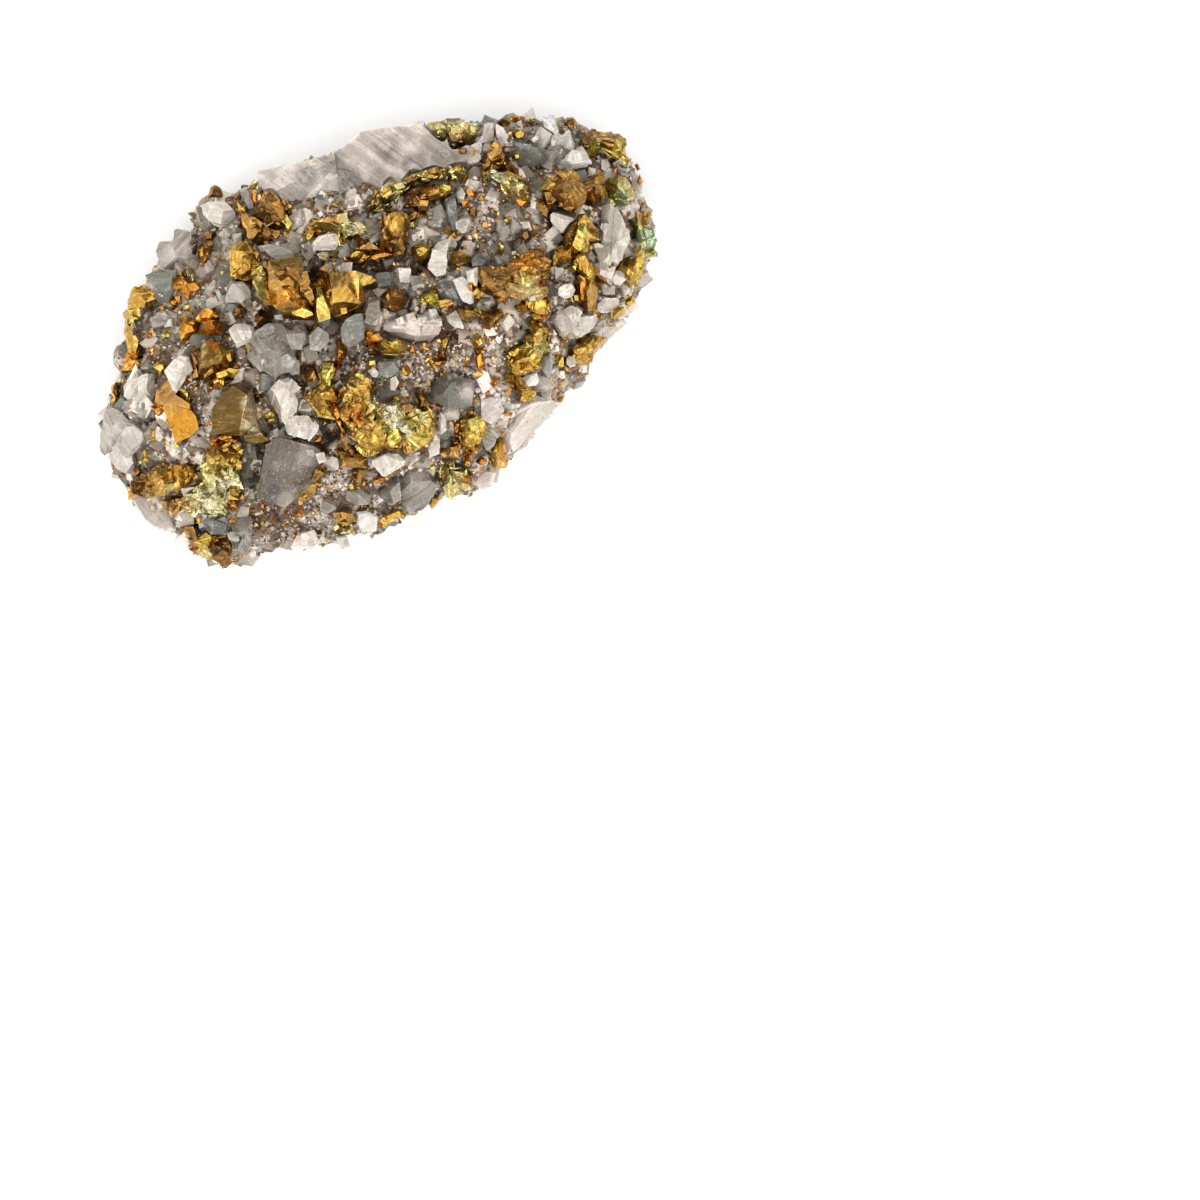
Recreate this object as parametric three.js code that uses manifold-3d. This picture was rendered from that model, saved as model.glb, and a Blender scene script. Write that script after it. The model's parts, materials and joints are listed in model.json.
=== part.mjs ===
// A hand specimen of chalcopyrite on calcite: a block of calcite rock that carries brass-yellow
// chalcopyrite crystals and grey and white calcite crystals. Millimetres, +Z up, length along +X.
//
// Every crystal is laid out on a plan sheet: x runs right, y runs down, in millimetres from the
// sheet's corner, as seen from straight above. The sheet is then turned so that the length of the
// block lies along +X, and moved so that the middle of its base is the origin.

import * as THREE from "three";
import { ConvexGeometry } from "three/addons/geometries/ConvexGeometry.js";
import { mergeVertices } from "three/addons/utils/BufferGeometryUtils.js";
import Module from "manifold-3d";

const wasm = await Module();
wasm.setup();

// Driving dimensions.
const SHEET_CENTRE = [37.79, 32.09];
const SHEET_TURN = THREE.MathUtils.degToRad(-31);
const ROCK_MIDDLE = [37.5, 32.5];
const CROWN_HEIGHT = 17;
const MARGIN_HEIGHT = 10;
const DOME_POWER = 2.2;
const ROCK_INSET = 0.4;
const ROCK_SPOKES = 38;
const ROOT_DEPTH = 1.4;
const ROOT_TAPER = 0.1;
const ROOTS = 4;
const RIM_TAPER = 0.5;
const RIM_SHARE = 0.9;
const CLEARANCE = 0.3;
const SIDE_ROOM = 0.45;

// The widest outline of the block, clockwise on the plan sheet from its western tip.
const OUTLINE = [
  [9.3, 44.0], [9.7, 42.0], [10.6, 39.6], [11.2, 37.2], [11.6, 34.0], [12.1, 31.0], [12.8, 29.1],
  [13.9, 27.8], [15.1, 25.5], [16.1, 24.0], [17.3, 22.8], [19.6, 22.6], [19.0, 20.4], [20.7, 19.2],
  [22.4, 18.7], [23.8, 18.3], [25.8, 17.0], [29.6, 16.4], [33.4, 15.2], [35.2, 13.8], [37.0, 13.0],
  [40.4, 12.9], [42.0, 12.0], [44.6, 11.7], [48.0, 12.1], [50.0, 11.9], [51.6, 11.1], [53.5, 11.4],
  [55.1, 11.0], [57.4, 11.4], [58.4, 12.1], [59.0, 12.7], [61.2, 12.8], [62.5, 13.8], [63.1, 15.3],
  [63.9, 16.6], [64.5, 18.2], [65.2, 20.4], [65.7, 22.4], [66.0, 24.6], [65.4, 26.8], [64.2, 28.5],
  [63.4, 30.2], [62.0, 32.0], [60.8, 33.8], [59.6, 35.8], [58.2, 37.5], [56.8, 39.4], [54.8, 41.7],
  [53.0, 44.0], [51.2, 45.8], [50.4, 47.4], [49.2, 49.0], [47.4, 50.0], [45.0, 50.1], [43.2, 50.9],
  [41.0, 52.0], [38.4, 52.8], [35.8, 53.6], [34.0, 54.9], [32.2, 54.4], [30.8, 55.4], [28.2, 54.6],
  [25.8, 55.1], [24.1, 56.5], [23.0, 57.0], [21.6, 56.6], [20.6, 56.2], [18.8, 54.9], [17.2, 53.5],
  [14.8, 52.2], [13.2, 50.4], [12.4, 48.6], [10.8, 46.7],
];

// Swells and hollows of the rock between the crystals: place, reach and rise.
const RELIEF = [
  { at: [24, 41], reach: 4.5, rise: 1.2 },
  { at: [29, 28], reach: 5.0, rise: 1.6 },
  { at: [38.5, 42], reach: 5.5, rise: 1.8 },
  { at: [51.5, 28.5], reach: 5.0, rise: 1.6 },
  { at: [56, 19], reach: 4.5, rise: 1.0 },
  { at: [18, 47.5], reach: 4.0, rise: 0.8 },
  { at: [27, 51.5], reach: 2.6, rise: -2.4 },
  { at: [32.6, 43.4], reach: 1.6, rise: -1.8 },
  { at: [31.2, 28], reach: 1.4, rise: -1.2 },
  { at: [37.8, 27], reach: 1.8, rise: -1.2 },
  { at: [37.8, 39.6], reach: 1.4, rise: -1.4 },
  { at: [41.8, 26.8], reach: 1.5, rise: -1.3 },
  { at: [45.0, 33.2], reach: 1.8, rise: -1.2 },
  { at: [45.6, 46.2], reach: 1.4, rise: -1.4 },
  { at: [50.5, 22.5], reach: 3.0, rise: -1.2 },
  { at: [44.5, 22.0], reach: 2.2, rise: -1.0 },
  { at: [25.4, 47.0], reach: 1.6, rise: -1.4 },
];

// Sides of the block from its widest line down to the base: share of the outline, share of height.
const SIDE_RINGS = [
  { reach: 1.0, level: 0.7 },
  { reach: 0.955, level: 0.42 },
  { reach: 0.87, level: 0.17 },
  { reach: 0.79, level: 0 },
];
const TOP_RINGS = [0.3, 0.52, 0.72, 0.89];

const BRASS = { color: 0xc89a3c, roughness: 0.38, metalness: 1 };
const OLIVE_BRASS = { color: 0x8a6f2e, roughness: 0.42, metalness: 1 };
const PALE_BRASS = { color: 0xd9c788, roughness: 0.4, metalness: 1 };
const BROWN_BRASS = { color: 0x86592a, roughness: 0.48, metalness: 1 };
const GREEN_BRASS = { color: 0x8f9a68, roughness: 0.5, metalness: 1 };
const GREY_CALCITE = { color: 0x9b958c, roughness: 0.35, metalness: 0 };
const GREEN_CALCITE = { color: 0x6f746a, roughness: 0.38, metalness: 0 };
const WHITE_CALCITE = { color: 0xd8cdc2, roughness: 0.4, metalness: 0 };
const LILAC_CALCITE = { color: 0xb3a7a6, roughness: 0.36, metalness: 0 };
const ROCK = { color: 0x8b8074, roughness: 0.7, metalness: 0 };

// Crystals by node, in the order in which they keep their room from each other. Each crystal is
// a list of corners [x, y, rise above the rock at the crystal's middle].
const CRYSTALS = [
  {
    name: "chalcopyrite_crown_west",
    finish: OLIVE_BRASS,
    crystals: [
      [
        [25.3, 28.3, 1.2], [25.8, 27.2, 1.6], [26.2, 26.8, 2.6], [27.2, 26.8, 3.6], [27.4, 30.6, 3.6],
        [26.7, 30.6, 2.4], [25.8, 29.8, 1.2],
      ],
      [
        [27.0, 26.2, 3.2], [30.2, 25.8, 2.8], [30.5, 27.0, 3.4], [31.0, 29.0, 3.0], [31.5, 30.5, 2.2],
        [31.4, 32.1, 1.4], [29.2, 32.2, 1.6], [27.5, 30.8, 3.4], [27.0, 29.0, 3.8], [28.2, 28.4, 4.7],
        [29.4, 30.0, 4.2], [29.6, 27.4, 4.2],
      ],
      [
        [28.9, 30.6, 3.0], [30.2, 30.1, 3.4], [31.5, 31.4, 2.4], [31.2, 32.2, 1.6], [29.6, 32.1, 2.0],
      ],
    ],
  },
  {
    name: "chalcopyrite_crown_east",
    finish: OLIVE_BRASS,
    crystals: [
      [
        [31.7, 29.2, 2.0], [32.0, 27.0, 2.4], [32.8, 26.5, 2.8], [33.2, 27.5, 4.2], [33.4, 30.0, 4.4],
        [33.4, 31.3, 3.0], [32.3, 32.3, 1.6], [31.8, 32.2, 1.4],
      ],
      [
        [33.0, 27.2, 4.0], [35.0, 27.3, 3.8], [35.2, 28.0, 3.8], [34.9, 28.8, 4.3], [33.3, 29.1, 4.7],
        [33.3, 30.5, 4.0], [34.5, 30.3, 3.8], [36.4, 30.6, 2.4], [34.5, 31.8, 2.0], [33.7, 31.9, 2.0],
      ],
      [
        [34.9, 27.2, 3.6], [35.7, 27.2, 3.6], [36.0, 27.7, 3.7], [37.2, 27.7, 3.0], [37.8, 28.2, 2.4],
        [36.5, 28.7, 2.8], [35.2, 28.7, 3.6],
      ],
      [
        [35.0, 28.0, 3.4], [36.0, 28.0, 3.6], [36.0, 30.0, 3.2], [37.1, 30.8, 1.5], [35.6, 31.2, 1.8],
        [34.8, 30.4, 2.8],
      ],
    ],
  },
  {
    name: "chalcopyrite_wedge",
    finish: OLIVE_BRASS,
    crystals: [
      [
        [24.5, 37.8, 3.0], [24.9, 39.8, 4.6], [24.4, 41.8, 4.6], [24.1, 43.0, 3.8], [21.3, 43.6, 1.2],
        [21.2, 41.0, 1.2], [22.2, 39.4, 1.4], [23.6, 38.3, 2.2], [25.5, 41.2, 2.6], [26.2, 43.3, 1.4],
        [25.3, 38.5, 2.0], [25.2, 43.6, 1.8],
      ],
      [
        [24.2, 42.8, 1.8], [26.0, 43.2, 1.7], [26.8, 43.8, 1.1], [26.6, 44.3, 0.9], [24.6, 44.2, 0.9],
      ],
    ],
  },
  {
    name: "chalcopyrite_shell",
    finish: PALE_BRASS,
    crystals: [
      [
        [33.9, 37.7, 1.4], [35.6, 37.3, 1.8], [36.8, 37.6, 2.0], [37.7, 38.5, 1.8], [37.3, 39.5, 2.0],
        [37.8, 41.0, 2.2], [36.5, 42.0, 3.0], [34.8, 42.4, 2.0], [33.9, 42.0, 1.4], [35.4, 39.0, 3.6],
        [36.0, 40.8, 4.0],
      ],
      [
        [34.6, 42.4, 1.6], [36.5, 41.6, 3.2], [38.2, 42.0, 3.0], [38.8, 43.5, 2.6], [38.6, 45.0, 1.6],
        [37.5, 45.8, 1.0], [36.5, 45.9, 0.8], [35.6, 45.2, 1.0], [35.0, 44.0, 1.4], [36.8, 43.2, 3.8],
      ],
      [
        [38.6, 40.4, 2.6], [39.3, 40.0, 2.6], [40.0, 40.4, 2.8], [40.6, 41.4, 2.8], [40.4, 42.2, 2.6],
        [40.0, 42.9, 2.2], [39.2, 43.0, 2.2], [38.4, 42.7, 2.6], [37.9, 41.6, 2.6], [39.4, 41.4, 4.2],
      ],
      [
        [38.8, 45.0, 1.2], [39.4, 43.2, 2.2], [40.5, 42.4, 2.6], [41.6, 41.4, 2.8], [42.2, 41.2, 2.4],
        [42.4, 42.2, 2.6], [41.2, 43.4, 2.6], [40.4, 44.8, 1.6], [39.8, 45.3, 0.9],
      ],
      [
        [40.3, 45.2, 0.8], [40.8, 43.8, 1.8], [42.0, 42.0, 2.8], [42.4, 41.2, 2.4], [43.0, 41.1, 2.0],
        [43.4, 41.6, 1.8], [43.8, 42.6, 1.3], [43.5, 43.6, 1.0], [43.0, 44.2, 0.8], [42.2, 44.9, 0.8],
        [41.2, 45.6, 0.6], [40.7, 45.7, 0.6], [42.3, 43.1, 3.2],
      ],
      [
        [40.0, 40.6, 2.2], [41.0, 40.3, 2.2], [41.8, 40.8, 2.2], [42.2, 41.4, 2.2], [41.0, 42.2, 2.8],
        [40.2, 41.6, 2.8],
      ],
    ],
  },
  {
    name: "chalcopyrite_east_group",
    finish: OLIVE_BRASS,
    crystals: [
      [
        [47.9, 26.8, 1.6], [49.0, 26.6, 2.2], [50.8, 26.8, 3.0], [51.1, 28.2, 3.6], [50.6, 30.7, 1.4],
        [49.7, 30.5, 1.2], [48.6, 29.6, 1.2], [48.0, 29.0, 1.2], [47.8, 27.6, 1.4], [49.5, 27.8, 3.6],
      ],
      [
        [50.6, 26.8, 2.8], [51.2, 26.0, 2.2], [52.0, 25.6, 2.4], [53.0, 25.1, 2.4], [54.0, 25.0, 2.2],
        [54.7, 25.6, 2.4], [55.0, 26.2, 2.0], [54.2, 27.0, 2.8], [52.6, 26.8, 3.9], [51.0, 27.6, 3.5],
      ],
      [
        [54.0, 26.3, 2.6], [55.0, 26.2, 2.0], [55.3, 27.0, 1.8], [55.1, 28.2, 1.8], [54.4, 28.2, 2.6],
        [53.1, 27.9, 3.1], [53.4, 26.8, 3.3],
      ],
      [
        [50.9, 27.6, 3.6], [52.6, 27.0, 3.5], [53.4, 27.6, 3.1], [54.4, 28.0, 2.6], [54.9, 29.0, 2.0],
        [54.8, 29.7, 1.8], [53.8, 30.4, 1.6], [52.8, 30.2, 2.0], [51.3, 30.1, 2.0], [50.8, 29.2, 2.8],
        [52.2, 28.4, 4.2],
      ],
      [
        [50.4, 30.0, 1.1], [53.8, 30.0, 1.6], [54.8, 29.6, 1.8], [55.5, 30.5, 1.2], [55.4, 31.5, 0.8],
        [55.0, 31.7, 0.6], [53.5, 31.6, 0.6], [51.5, 31.1, 0.6], [50.4, 30.7, 0.8],
      ],
    ],
  },
  {
    name: "chalcopyrite_olive_crystal",
    finish: OLIVE_BRASS,
    crystals: [
      [
        [54.0, 19.0, 1.0], [54.8, 18.2, 1.6], [55.6, 17.7, 2.0], [56.0, 17.1, 2.0], [56.8, 17.0, 2.2],
        [57.7, 17.2, 2.2], [58.2, 18.0, 2.4], [58.6, 18.8, 2.2], [58.7, 19.6, 1.8], [58.5, 20.2, 1.4],
        [58.0, 20.8, 1.0], [57.2, 21.4, 0.8], [56.5, 21.0, 1.2], [56.0, 20.5, 1.4], [55.2, 20.3, 1.2],
        [56.2, 19.0, 3.8], [57.2, 18.3, 3.6],
      ],
      [
        [58.0, 18.8, 2.0], [59.0, 17.8, 2.0], [60.0, 17.0, 1.6], [60.6, 17.6, 1.6], [60.5, 18.5, 1.6],
        [60.3, 19.2, 1.4], [60.0, 20.1, 1.0], [59.0, 20.3, 0.8], [58.3, 19.6, 1.4], [59.5, 18.6, 3.1],
      ],
    ],
  },
  {
    name: "chalcopyrite_pale_crystal",
    finish: PALE_BRASS,
    crystals: [
      [
        [48.9, 17.0, 1.2], [50.0, 16.9, 1.8], [50.4, 17.2, 2.3], [50.3, 18.1, 2.2], [49.4, 18.2, 1.2],
        [48.9, 17.8, 1.0],
      ],
      [
        [50.0, 17.0, 1.8], [51.5, 17.1, 2.0], [52.4, 17.5, 1.8], [52.3, 18.0, 2.2], [51.0, 18.0, 2.9],
        [50.0, 18.1, 2.4],
      ],
      [
        [50.0, 18.2, 1.8], [50.9, 17.5, 2.8], [51.7, 18.2, 3.3], [52.5, 18.5, 2.9], [53.0, 19.0, 2.0],
        [53.2, 20.0, 1.6], [53.1, 20.7, 1.0], [52.0, 20.7, 1.0], [51.3, 21.1, 0.6], [51.1, 20.0, 1.4],
        [50.5, 19.8, 1.4], [50.1, 19.0, 1.6], [51.8, 19.7, 2.9],
      ],
    ],
  },
  {
    name: "chalcopyrite_bright_wedge",
    finish: BRASS,
    crystals: [
      [
        [56.5, 24.8, 1.2], [57.1, 23.5, 2.0], [57.8, 22.4, 2.8], [58.7, 23.0, 2.2], [58.9, 23.8, 1.6],
        [58.6, 24.5, 1.4], [58.8, 25.2, 1.0], [58.0, 25.4, 1.2], [57.3, 25.5, 1.2], [56.9, 25.0, 1.2],
        [57.9, 23.5, 3.2],
      ],
      [
        [56.0, 24.4, 0.6], [56.9, 22.8, 1.6], [57.7, 22.2, 2.6], [57.3, 23.5, 2.2], [56.6, 24.8, 1.2],
      ],
      [
        [58.0, 21.4, 1.6], [58.5, 21.4, 1.8], [59.0, 22.2, 1.6], [59.3, 23.0, 1.4], [59.9, 23.1, 1.0],
        [60.0, 24.0, 0.8], [59.2, 24.2, 0.8], [58.7, 23.8, 1.5], [57.8, 22.4, 2.5],
      ],
      [
        [55.4, 25.2, 1.0], [55.6, 24.8, 1.4], [56.3, 24.6, 1.6], [57.1, 24.9, 1.6], [57.1, 25.8, 1.2],
        [56.7, 26.4, 0.8], [56.1, 26.6, 0.8], [55.5, 26.3, 0.8], [56.2, 25.6, 2.5],
      ],
    ],
  },
  {
    name: "chalcopyrite_column",
    finish: OLIVE_BRASS,
    crystals: [
      [
        [38.6, 22.2, 2.0], [38.9, 21.5, 2.2], [39.6, 21.2, 2.6], [40.4, 21.2, 2.6], [41.0, 21.8, 2.2],
        [41.2, 22.4, 1.6], [40.6, 23.2, 1.8], [40.7, 24.0, 1.6], [40.6, 25.0, 1.2], [40.3, 25.6, 0.8],
        [39.5, 25.7, 0.8], [38.5, 25.6, 0.8], [37.8, 25.2, 0.8], [38.3, 22.8, 1.6], [39.6, 22.2, 3.6],
        [39.4, 23.4, 2.7],
      ],
      [
        [35.5, 25.0, 1.2], [36.2, 23.9, 1.0], [37.0, 24.3, 1.6], [38.2, 25.0, 1.8], [39.6, 25.6, 0.8],
        [37.6, 25.8, 0.8], [35.5, 26.4, 0.6],
      ],
    ],
  },
  {
    name: "chalcopyrite_ball",
    finish: BRASS,
    crystals: [
      [
        [45.4, 43.2, 1.2], [45.6, 42.5, 1.6], [46.3, 42.0, 2.0], [46.7, 41.5, 2.0], [47.2, 41.1, 2.0],
        [47.9, 41.2, 1.8], [48.3, 41.7, 1.6], [48.5, 42.4, 1.4], [48.9, 43.0, 1.0], [48.7, 43.6, 1.0],
        [48.3, 44.2, 1.0], [47.2, 44.8, 1.4], [46.1, 44.7, 1.0], [45.7, 44.0, 1.0], [47.2, 42.9, 3.8],
      ],
      [
        [46.1, 44.4, 1.2], [47.2, 43.8, 2.2], [48.2, 44.2, 1.2], [48.0, 45.0, 0.8], [47.5, 45.8, 0.6],
        [47.0, 46.6, 0.3], [46.4, 46.8, 0.2], [46.0, 46.3, 0.4], [46.2, 45.5, 0.9],
      ],
    ],
  },
  {
    name: "chalcopyrite_pale_south",
    finish: PALE_BRASS,
    crystals: [
      [
        [43.3, 45.8, 0.8], [43.6, 45.4, 1.0], [44.1, 45.4, 1.2], [44.7, 45.8, 1.4], [45.0, 46.5, 1.8],
        [45.5, 46.8, 1.8], [46.7, 46.9, 1.4], [46.5, 48.0, 1.8], [45.8, 49.4, 0.8], [45.5, 50.0, 0.2],
        [45.0, 50.1, -0.2], [44.4, 49.7, 0.0], [44.0, 49.0, 0.4], [43.6, 47.5, 0.8], [45.2, 47.6, 2.9],
      ],
      [
        [46.4, 46.9, 1.6], [47.1, 47.0, 0.9], [47.5, 47.5, 0.4], [47.4, 48.6, -0.1], [47.0, 48.9, -0.3],
        [46.4, 49.2, -0.3], [45.8, 49.2, 0.5], [46.0, 47.8, 2.0],
      ],
    ],
  },
  {
    name: "chalcopyrite_dome_wedge",
    finish: OLIVE_BRASS,
    crystals: [
      [
        [19.8, 35.8, 1.6], [20.3, 34.3, 1.4], [20.6, 34.1, 1.4], [21.8, 34.3, 1.6], [23.0, 35.2, 1.8],
        [23.4, 36.4, 1.8], [22.0, 37.7, 1.6], [20.3, 38.2, 1.2], [19.9, 37.4, 1.6], [20.1, 36.2, 3.2],
        [22.4, 36.1, 3.6],
      ],
      [
        [19.0, 35.3, 0.8], [20.0, 35.2, 1.8], [20.2, 38.0, 1.4], [19.3, 37.8, 0.6],
      ],
    ],
  },
  {
    name: "chalcopyrite_southwest_lump",
    finish: BROWN_BRASS,
    crystals: [
      [
        [14.2, 47.2, 1.4], [15.0, 46.6, 1.6], [15.8, 46.1, 1.6], [17.6, 46.3, 2.2], [17.7, 49.7, 1.2],
        [16.0, 50.0, 0.4], [14.9, 49.8, 0.4], [16.2, 48.0, 3.0], [17.0, 48.6, 2.8],
      ],
      [
        [12.4, 48.7, -0.6], [12.6, 48.2, 0.4], [13.4, 47.6, 1.0], [14.4, 47.2, 1.8], [15.1, 47.2, 2.0],
        [15.2, 49.8, 1.0], [13.2, 49.7, -0.4],
      ],
      [
        [17.4, 46.3, 1.8], [18.7, 46.6, 1.8], [19.6, 46.5, 1.4], [19.6, 48.1, 1.2], [19.0, 48.7, 1.4],
        [17.5, 49.7, 0.8], [17.4, 48.0, 2.6], [18.6, 47.6, 2.4],
      ],
    ],
  },
  {
    name: "chalcopyrite_southwest_mass",
    finish: PALE_BRASS,
    crystals: [
      [
        [20.1, 46.2, 1.4], [20.3, 45.0, 1.6], [21.5, 44.1, 1.4], [23.0, 44.0, 1.6], [24.0, 44.0, 1.4],
        [24.4, 44.9, 1.6], [24.3, 47.0, 2.0], [22.0, 45.6, 3.0], [23.2, 46.6, 3.2], [20.0, 46.8, 1.6],
      ],
      [
        [19.9, 46.7, 1.8], [21.2, 46.3, 2.4], [23.0, 46.6, 2.8], [24.1, 47.3, 2.2], [24.5, 49.0, 1.8],
        [24.0, 50.3, 1.0], [23.2, 51.0, 0.4], [20.6, 49.6, 2.0], [22.3, 48.2, 3.4],
      ],
      [
        [19.9, 48.2, 2.2], [22.5, 48.3, 3.2], [23.2, 51.0, 1.2], [22.8, 51.6, 0.4], [21.5, 52.0, 0.2],
        [20.0, 51.4, 0.4], [18.6, 51.6, -0.2], [16.9, 50.0, 0.2], [18.5, 49.5, 1.6], [19.0, 48.9, 2.0],
        [21.0, 50.0, 2.6],
      ],
      [
        [15.7, 50.2, -0.4], [16.9, 49.9, 0.8], [18.4, 50.4, 1.2], [18.7, 51.7, 0.4], [17.2, 51.8, -0.6],
      ],
    ],
  },
  {
    name: "chalcopyrite_northeast",
    finish: BRASS,
    crystals: [
      [
        [58.1, 12.9, 0.6], [59.0, 12.7, 1.0], [59.9, 12.8, 1.4], [60.4, 13.6, 2.6], [60.6, 14.2, 2.8],
        [60.3, 15.1, 2.0], [60.2, 15.7, 1.2], [59.6, 15.7, 1.0], [59.1, 15.0, 1.4], [58.6, 14.6, 1.2],
        [58.2, 13.8, 0.8], [59.4, 13.8, 3.2],
      ],
      [
        [59.7, 12.7, 1.2], [61.1, 12.8, 1.0], [62.0, 13.1, 0.8], [62.6, 13.7, 0.6], [62.9, 14.5, 0.4],
        [63.0, 15.4, 0.4], [62.0, 15.8, 0.8], [61.5, 16.0, 0.8], [61.0, 15.7, 1.2], [60.3, 15.2, 1.9],
        [60.4, 13.8, 2.8], [61.7, 14.2, 3.1],
      ],
    ],
  },
  {
    name: "chalcopyrite_green_tarnished",
    finish: GREEN_BRASS,
    crystals: [
      [
        [60.8, 18.2, 1.2], [61.0, 17.6, 1.4], [61.8, 17.4, 1.4], [62.6, 17.7, 1.4], [63.2, 18.4, 1.2],
        [63.5, 19.3, 0.8], [63.4, 20.2, 0.4], [62.5, 20.6, 0.4], [61.5, 20.3, 0.8], [60.9, 19.8, 1.0],
        [61.8, 18.8, 3.4], [62.4, 19.4, 3.0],
      ],
    ],
  },
  {
    name: "chalcopyrite_east_edge",
    finish: GREEN_BRASS,
    crystals: [
      [
        [63.5, 21.2, 1.0], [64.2, 20.8, 0.8], [65.0, 20.7, 0.4], [65.3, 21.3, 0.0], [65.0, 22.2, 0.8],
        [64.2, 22.9, 1.6], [63.6, 22.9, 1.6], [64.1, 21.8, 2.0],
      ],
      [
        [63.5, 22.6, 1.2], [64.5, 22.5, 1.4], [65.5, 22.8, 0.0], [65.8, 24.0, -0.4], [66.0, 24.6, -0.6],
        [65.8, 25.6, -0.6], [65.0, 25.6, 0.6], [64.0, 25.2, 1.6], [63.6, 24.2, 1.6], [64.4, 23.8, 2.2],
      ],
      [
        [62.2, 27.0, 1.2], [62.8, 25.2, 1.6], [63.5, 24.4, 1.8], [64.3, 25.0, 2.0], [64.9, 25.4, 1.4],
        [65.0, 26.2, 0.6], [64.6, 27.2, 0.2], [64.2, 28.2, -0.2], [63.7, 29.0, -0.2], [63.0, 28.8, 0.4],
        [62.5, 28.0, 0.8], [63.6, 26.4, 2.5],
      ],
    ],
  },
  {
    name: "chalcopyrite_long_crystal",
    finish: OLIVE_BRASS,
    crystals: [
      [
        [57.5, 25.9, 1.2], [58.2, 25.7, 1.4], [59.0, 26.2, 1.8], [60.0, 27.3, 1.6], [61.2, 28.1, 1.2],
        [61.5, 28.4, 0.8], [60.6, 28.7, 0.6], [59.7, 28.4, 0.6], [59.0, 27.9, 0.9], [58.2, 27.9, 0.9],
        [57.4, 27.2, 0.8], [58.3, 26.3, 3.0], [60.4, 27.9, 2.1],
      ],
      [
        [57.5, 28.2, 0.8], [58.2, 27.7, 1.2], [59.2, 27.8, 1.4], [60.0, 28.8, 0.8], [59.8, 30.0, 0.6],
        [59.5, 31.0, 0.4], [58.8, 31.2, 0.4], [58.0, 30.6, 0.6], [57.6, 29.8, 0.8], [58.7, 29.4, 2.4],
      ],
    ],
  },
  {
    name: "chalcopyrite_east_ridge",
    finish: BRASS,
    crystals: [
      [
        [52.9, 33.0, 1.4], [53.2, 32.2, 1.6], [54.0, 32.1, 1.8], [54.8, 32.8, 1.6], [55.1, 33.5, 1.2],
        [54.5, 33.9, 1.6], [53.3, 33.9, 1.8], [53.9, 32.9, 3.2],
      ],
      [
        [52.2, 34.5, 1.2], [52.3, 33.8, 1.6], [53.0, 33.5, 2.2], [54.0, 33.6, 2.2], [55.0, 34.2, 1.4],
        [55.5, 35.2, 0.8], [54.8, 35.5, 0.8], [53.0, 35.4, 1.2], [53.4, 34.4, 2.8],
      ],
      [
        [50.3, 35.2, 0.8], [51.2, 35.0, 1.4], [52.3, 34.5, 1.8], [54.0, 35.0, 1.6], [54.8, 35.2, 1.0],
        [54.0, 36.0, 1.2], [54.0, 37.0, 0.9], [53.3, 37.1, 0.9], [52.2, 37.3, 1.0], [51.2, 37.9, 0.8],
        [50.5, 37.7, 0.6], [52.4, 35.8, 3.0], [51.2, 36.4, 2.4],
      ],
      [
        [50.4, 37.6, 0.8], [51.3, 37.5, 1.4], [51.8, 38.5, 1.6], [52.0, 38.8, 1.7], [52.8, 39.0, 1.5],
        [53.7, 38.8, 1.0], [53.7, 39.5, 0.6], [53.0, 40.2, 0.5], [52.4, 40.4, 0.5], [51.6, 40.0, 0.6],
        [50.8, 39.0, 0.7], [50.4, 38.5, 0.6],
      ],
    ],
  },
  {
    name: "chalcopyrite_southeast_edge",
    finish: BRASS,
    crystals: [
      [
        [57.7, 34.5, 1.0], [58.5, 34.0, 1.2], [59.5, 33.8, 1.1], [60.0, 33.3, 0.8], [61.0, 33.5, -0.4],
        [60.2, 34.9, -0.3], [59.0, 36.2, -0.3], [58.5, 37.0, -0.5], [58.2, 37.4, -0.7], [57.6, 37.0, 0.2],
        [57.7, 35.8, 1.0], [58.9, 35.0, 2.4],
      ],
    ],
  },
  {
    name: "chalcopyrite_southeast_triangle",
    finish: BRASS,
    crystals: [
      [
        [48.4, 45.8, 0.2], [48.8, 45.6, 0.6], [49.5, 44.8, 1.2], [50.2, 43.7, 1.2], [50.5, 43.6, 1.1],
        [50.7, 44.8, 0.7], [50.8, 45.5, 0.2], [50.9, 46.4, -0.8], [50.6, 46.8, -1.0], [49.5, 46.9, -1.0],
        [49.0, 46.5, -0.6], [50.0, 45.4, 2.0],
      ],
    ],
  },
  {
    name: "chalcopyrite_nugget",
    finish: BROWN_BRASS,
    crystals: [
      [
        [30.3, 39.8, 1.4], [31.5, 38.6, 1.8], [32.5, 38.1, 2.0], [33.3, 38.4, 2.0], [33.6, 39.3, 1.6],
        [33.8, 40.5, 1.4], [33.7, 42.0, 1.2], [33.0, 42.2, 1.2], [32.4, 42.7, 1.0], [31.5, 41.5, 1.4],
        [30.8, 40.5, 1.4], [32.4, 39.8, 3.6],
      ],
      [
        [31.7, 37.4, 1.2], [32.3, 36.3, 1.4], [33.4, 36.4, 1.6], [33.5, 37.2, 1.6], [33.2, 38.6, 2.0],
        [32.4, 38.4, 2.2],
      ],
    ],
  },
  {
    name: "chalcopyrite_west_plate",
    finish: BRASS,
    crystals: [
      [
        [16.2, 40.3, 0.9], [19.2, 41.1, 1.8], [19.7, 41.8, 1.8], [19.9, 42.9, 1.3], [19.0, 43.7, 0.9],
        [18.2, 43.8, 0.7], [17.6, 44.3, 0.5],
      ],
      [
        [15.6, 39.3, 0.8], [16.5, 38.8, 1.0], [17.6, 39.5, 1.6], [19.0, 40.4, 2.2], [19.1, 41.3, 2.0],
        [16.4, 40.6, 1.4], [15.5, 40.2, 0.8],
      ],
    ],
  },
  {
    name: "chalcopyrite_west_sphenoid",
    finish: BRASS,
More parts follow.
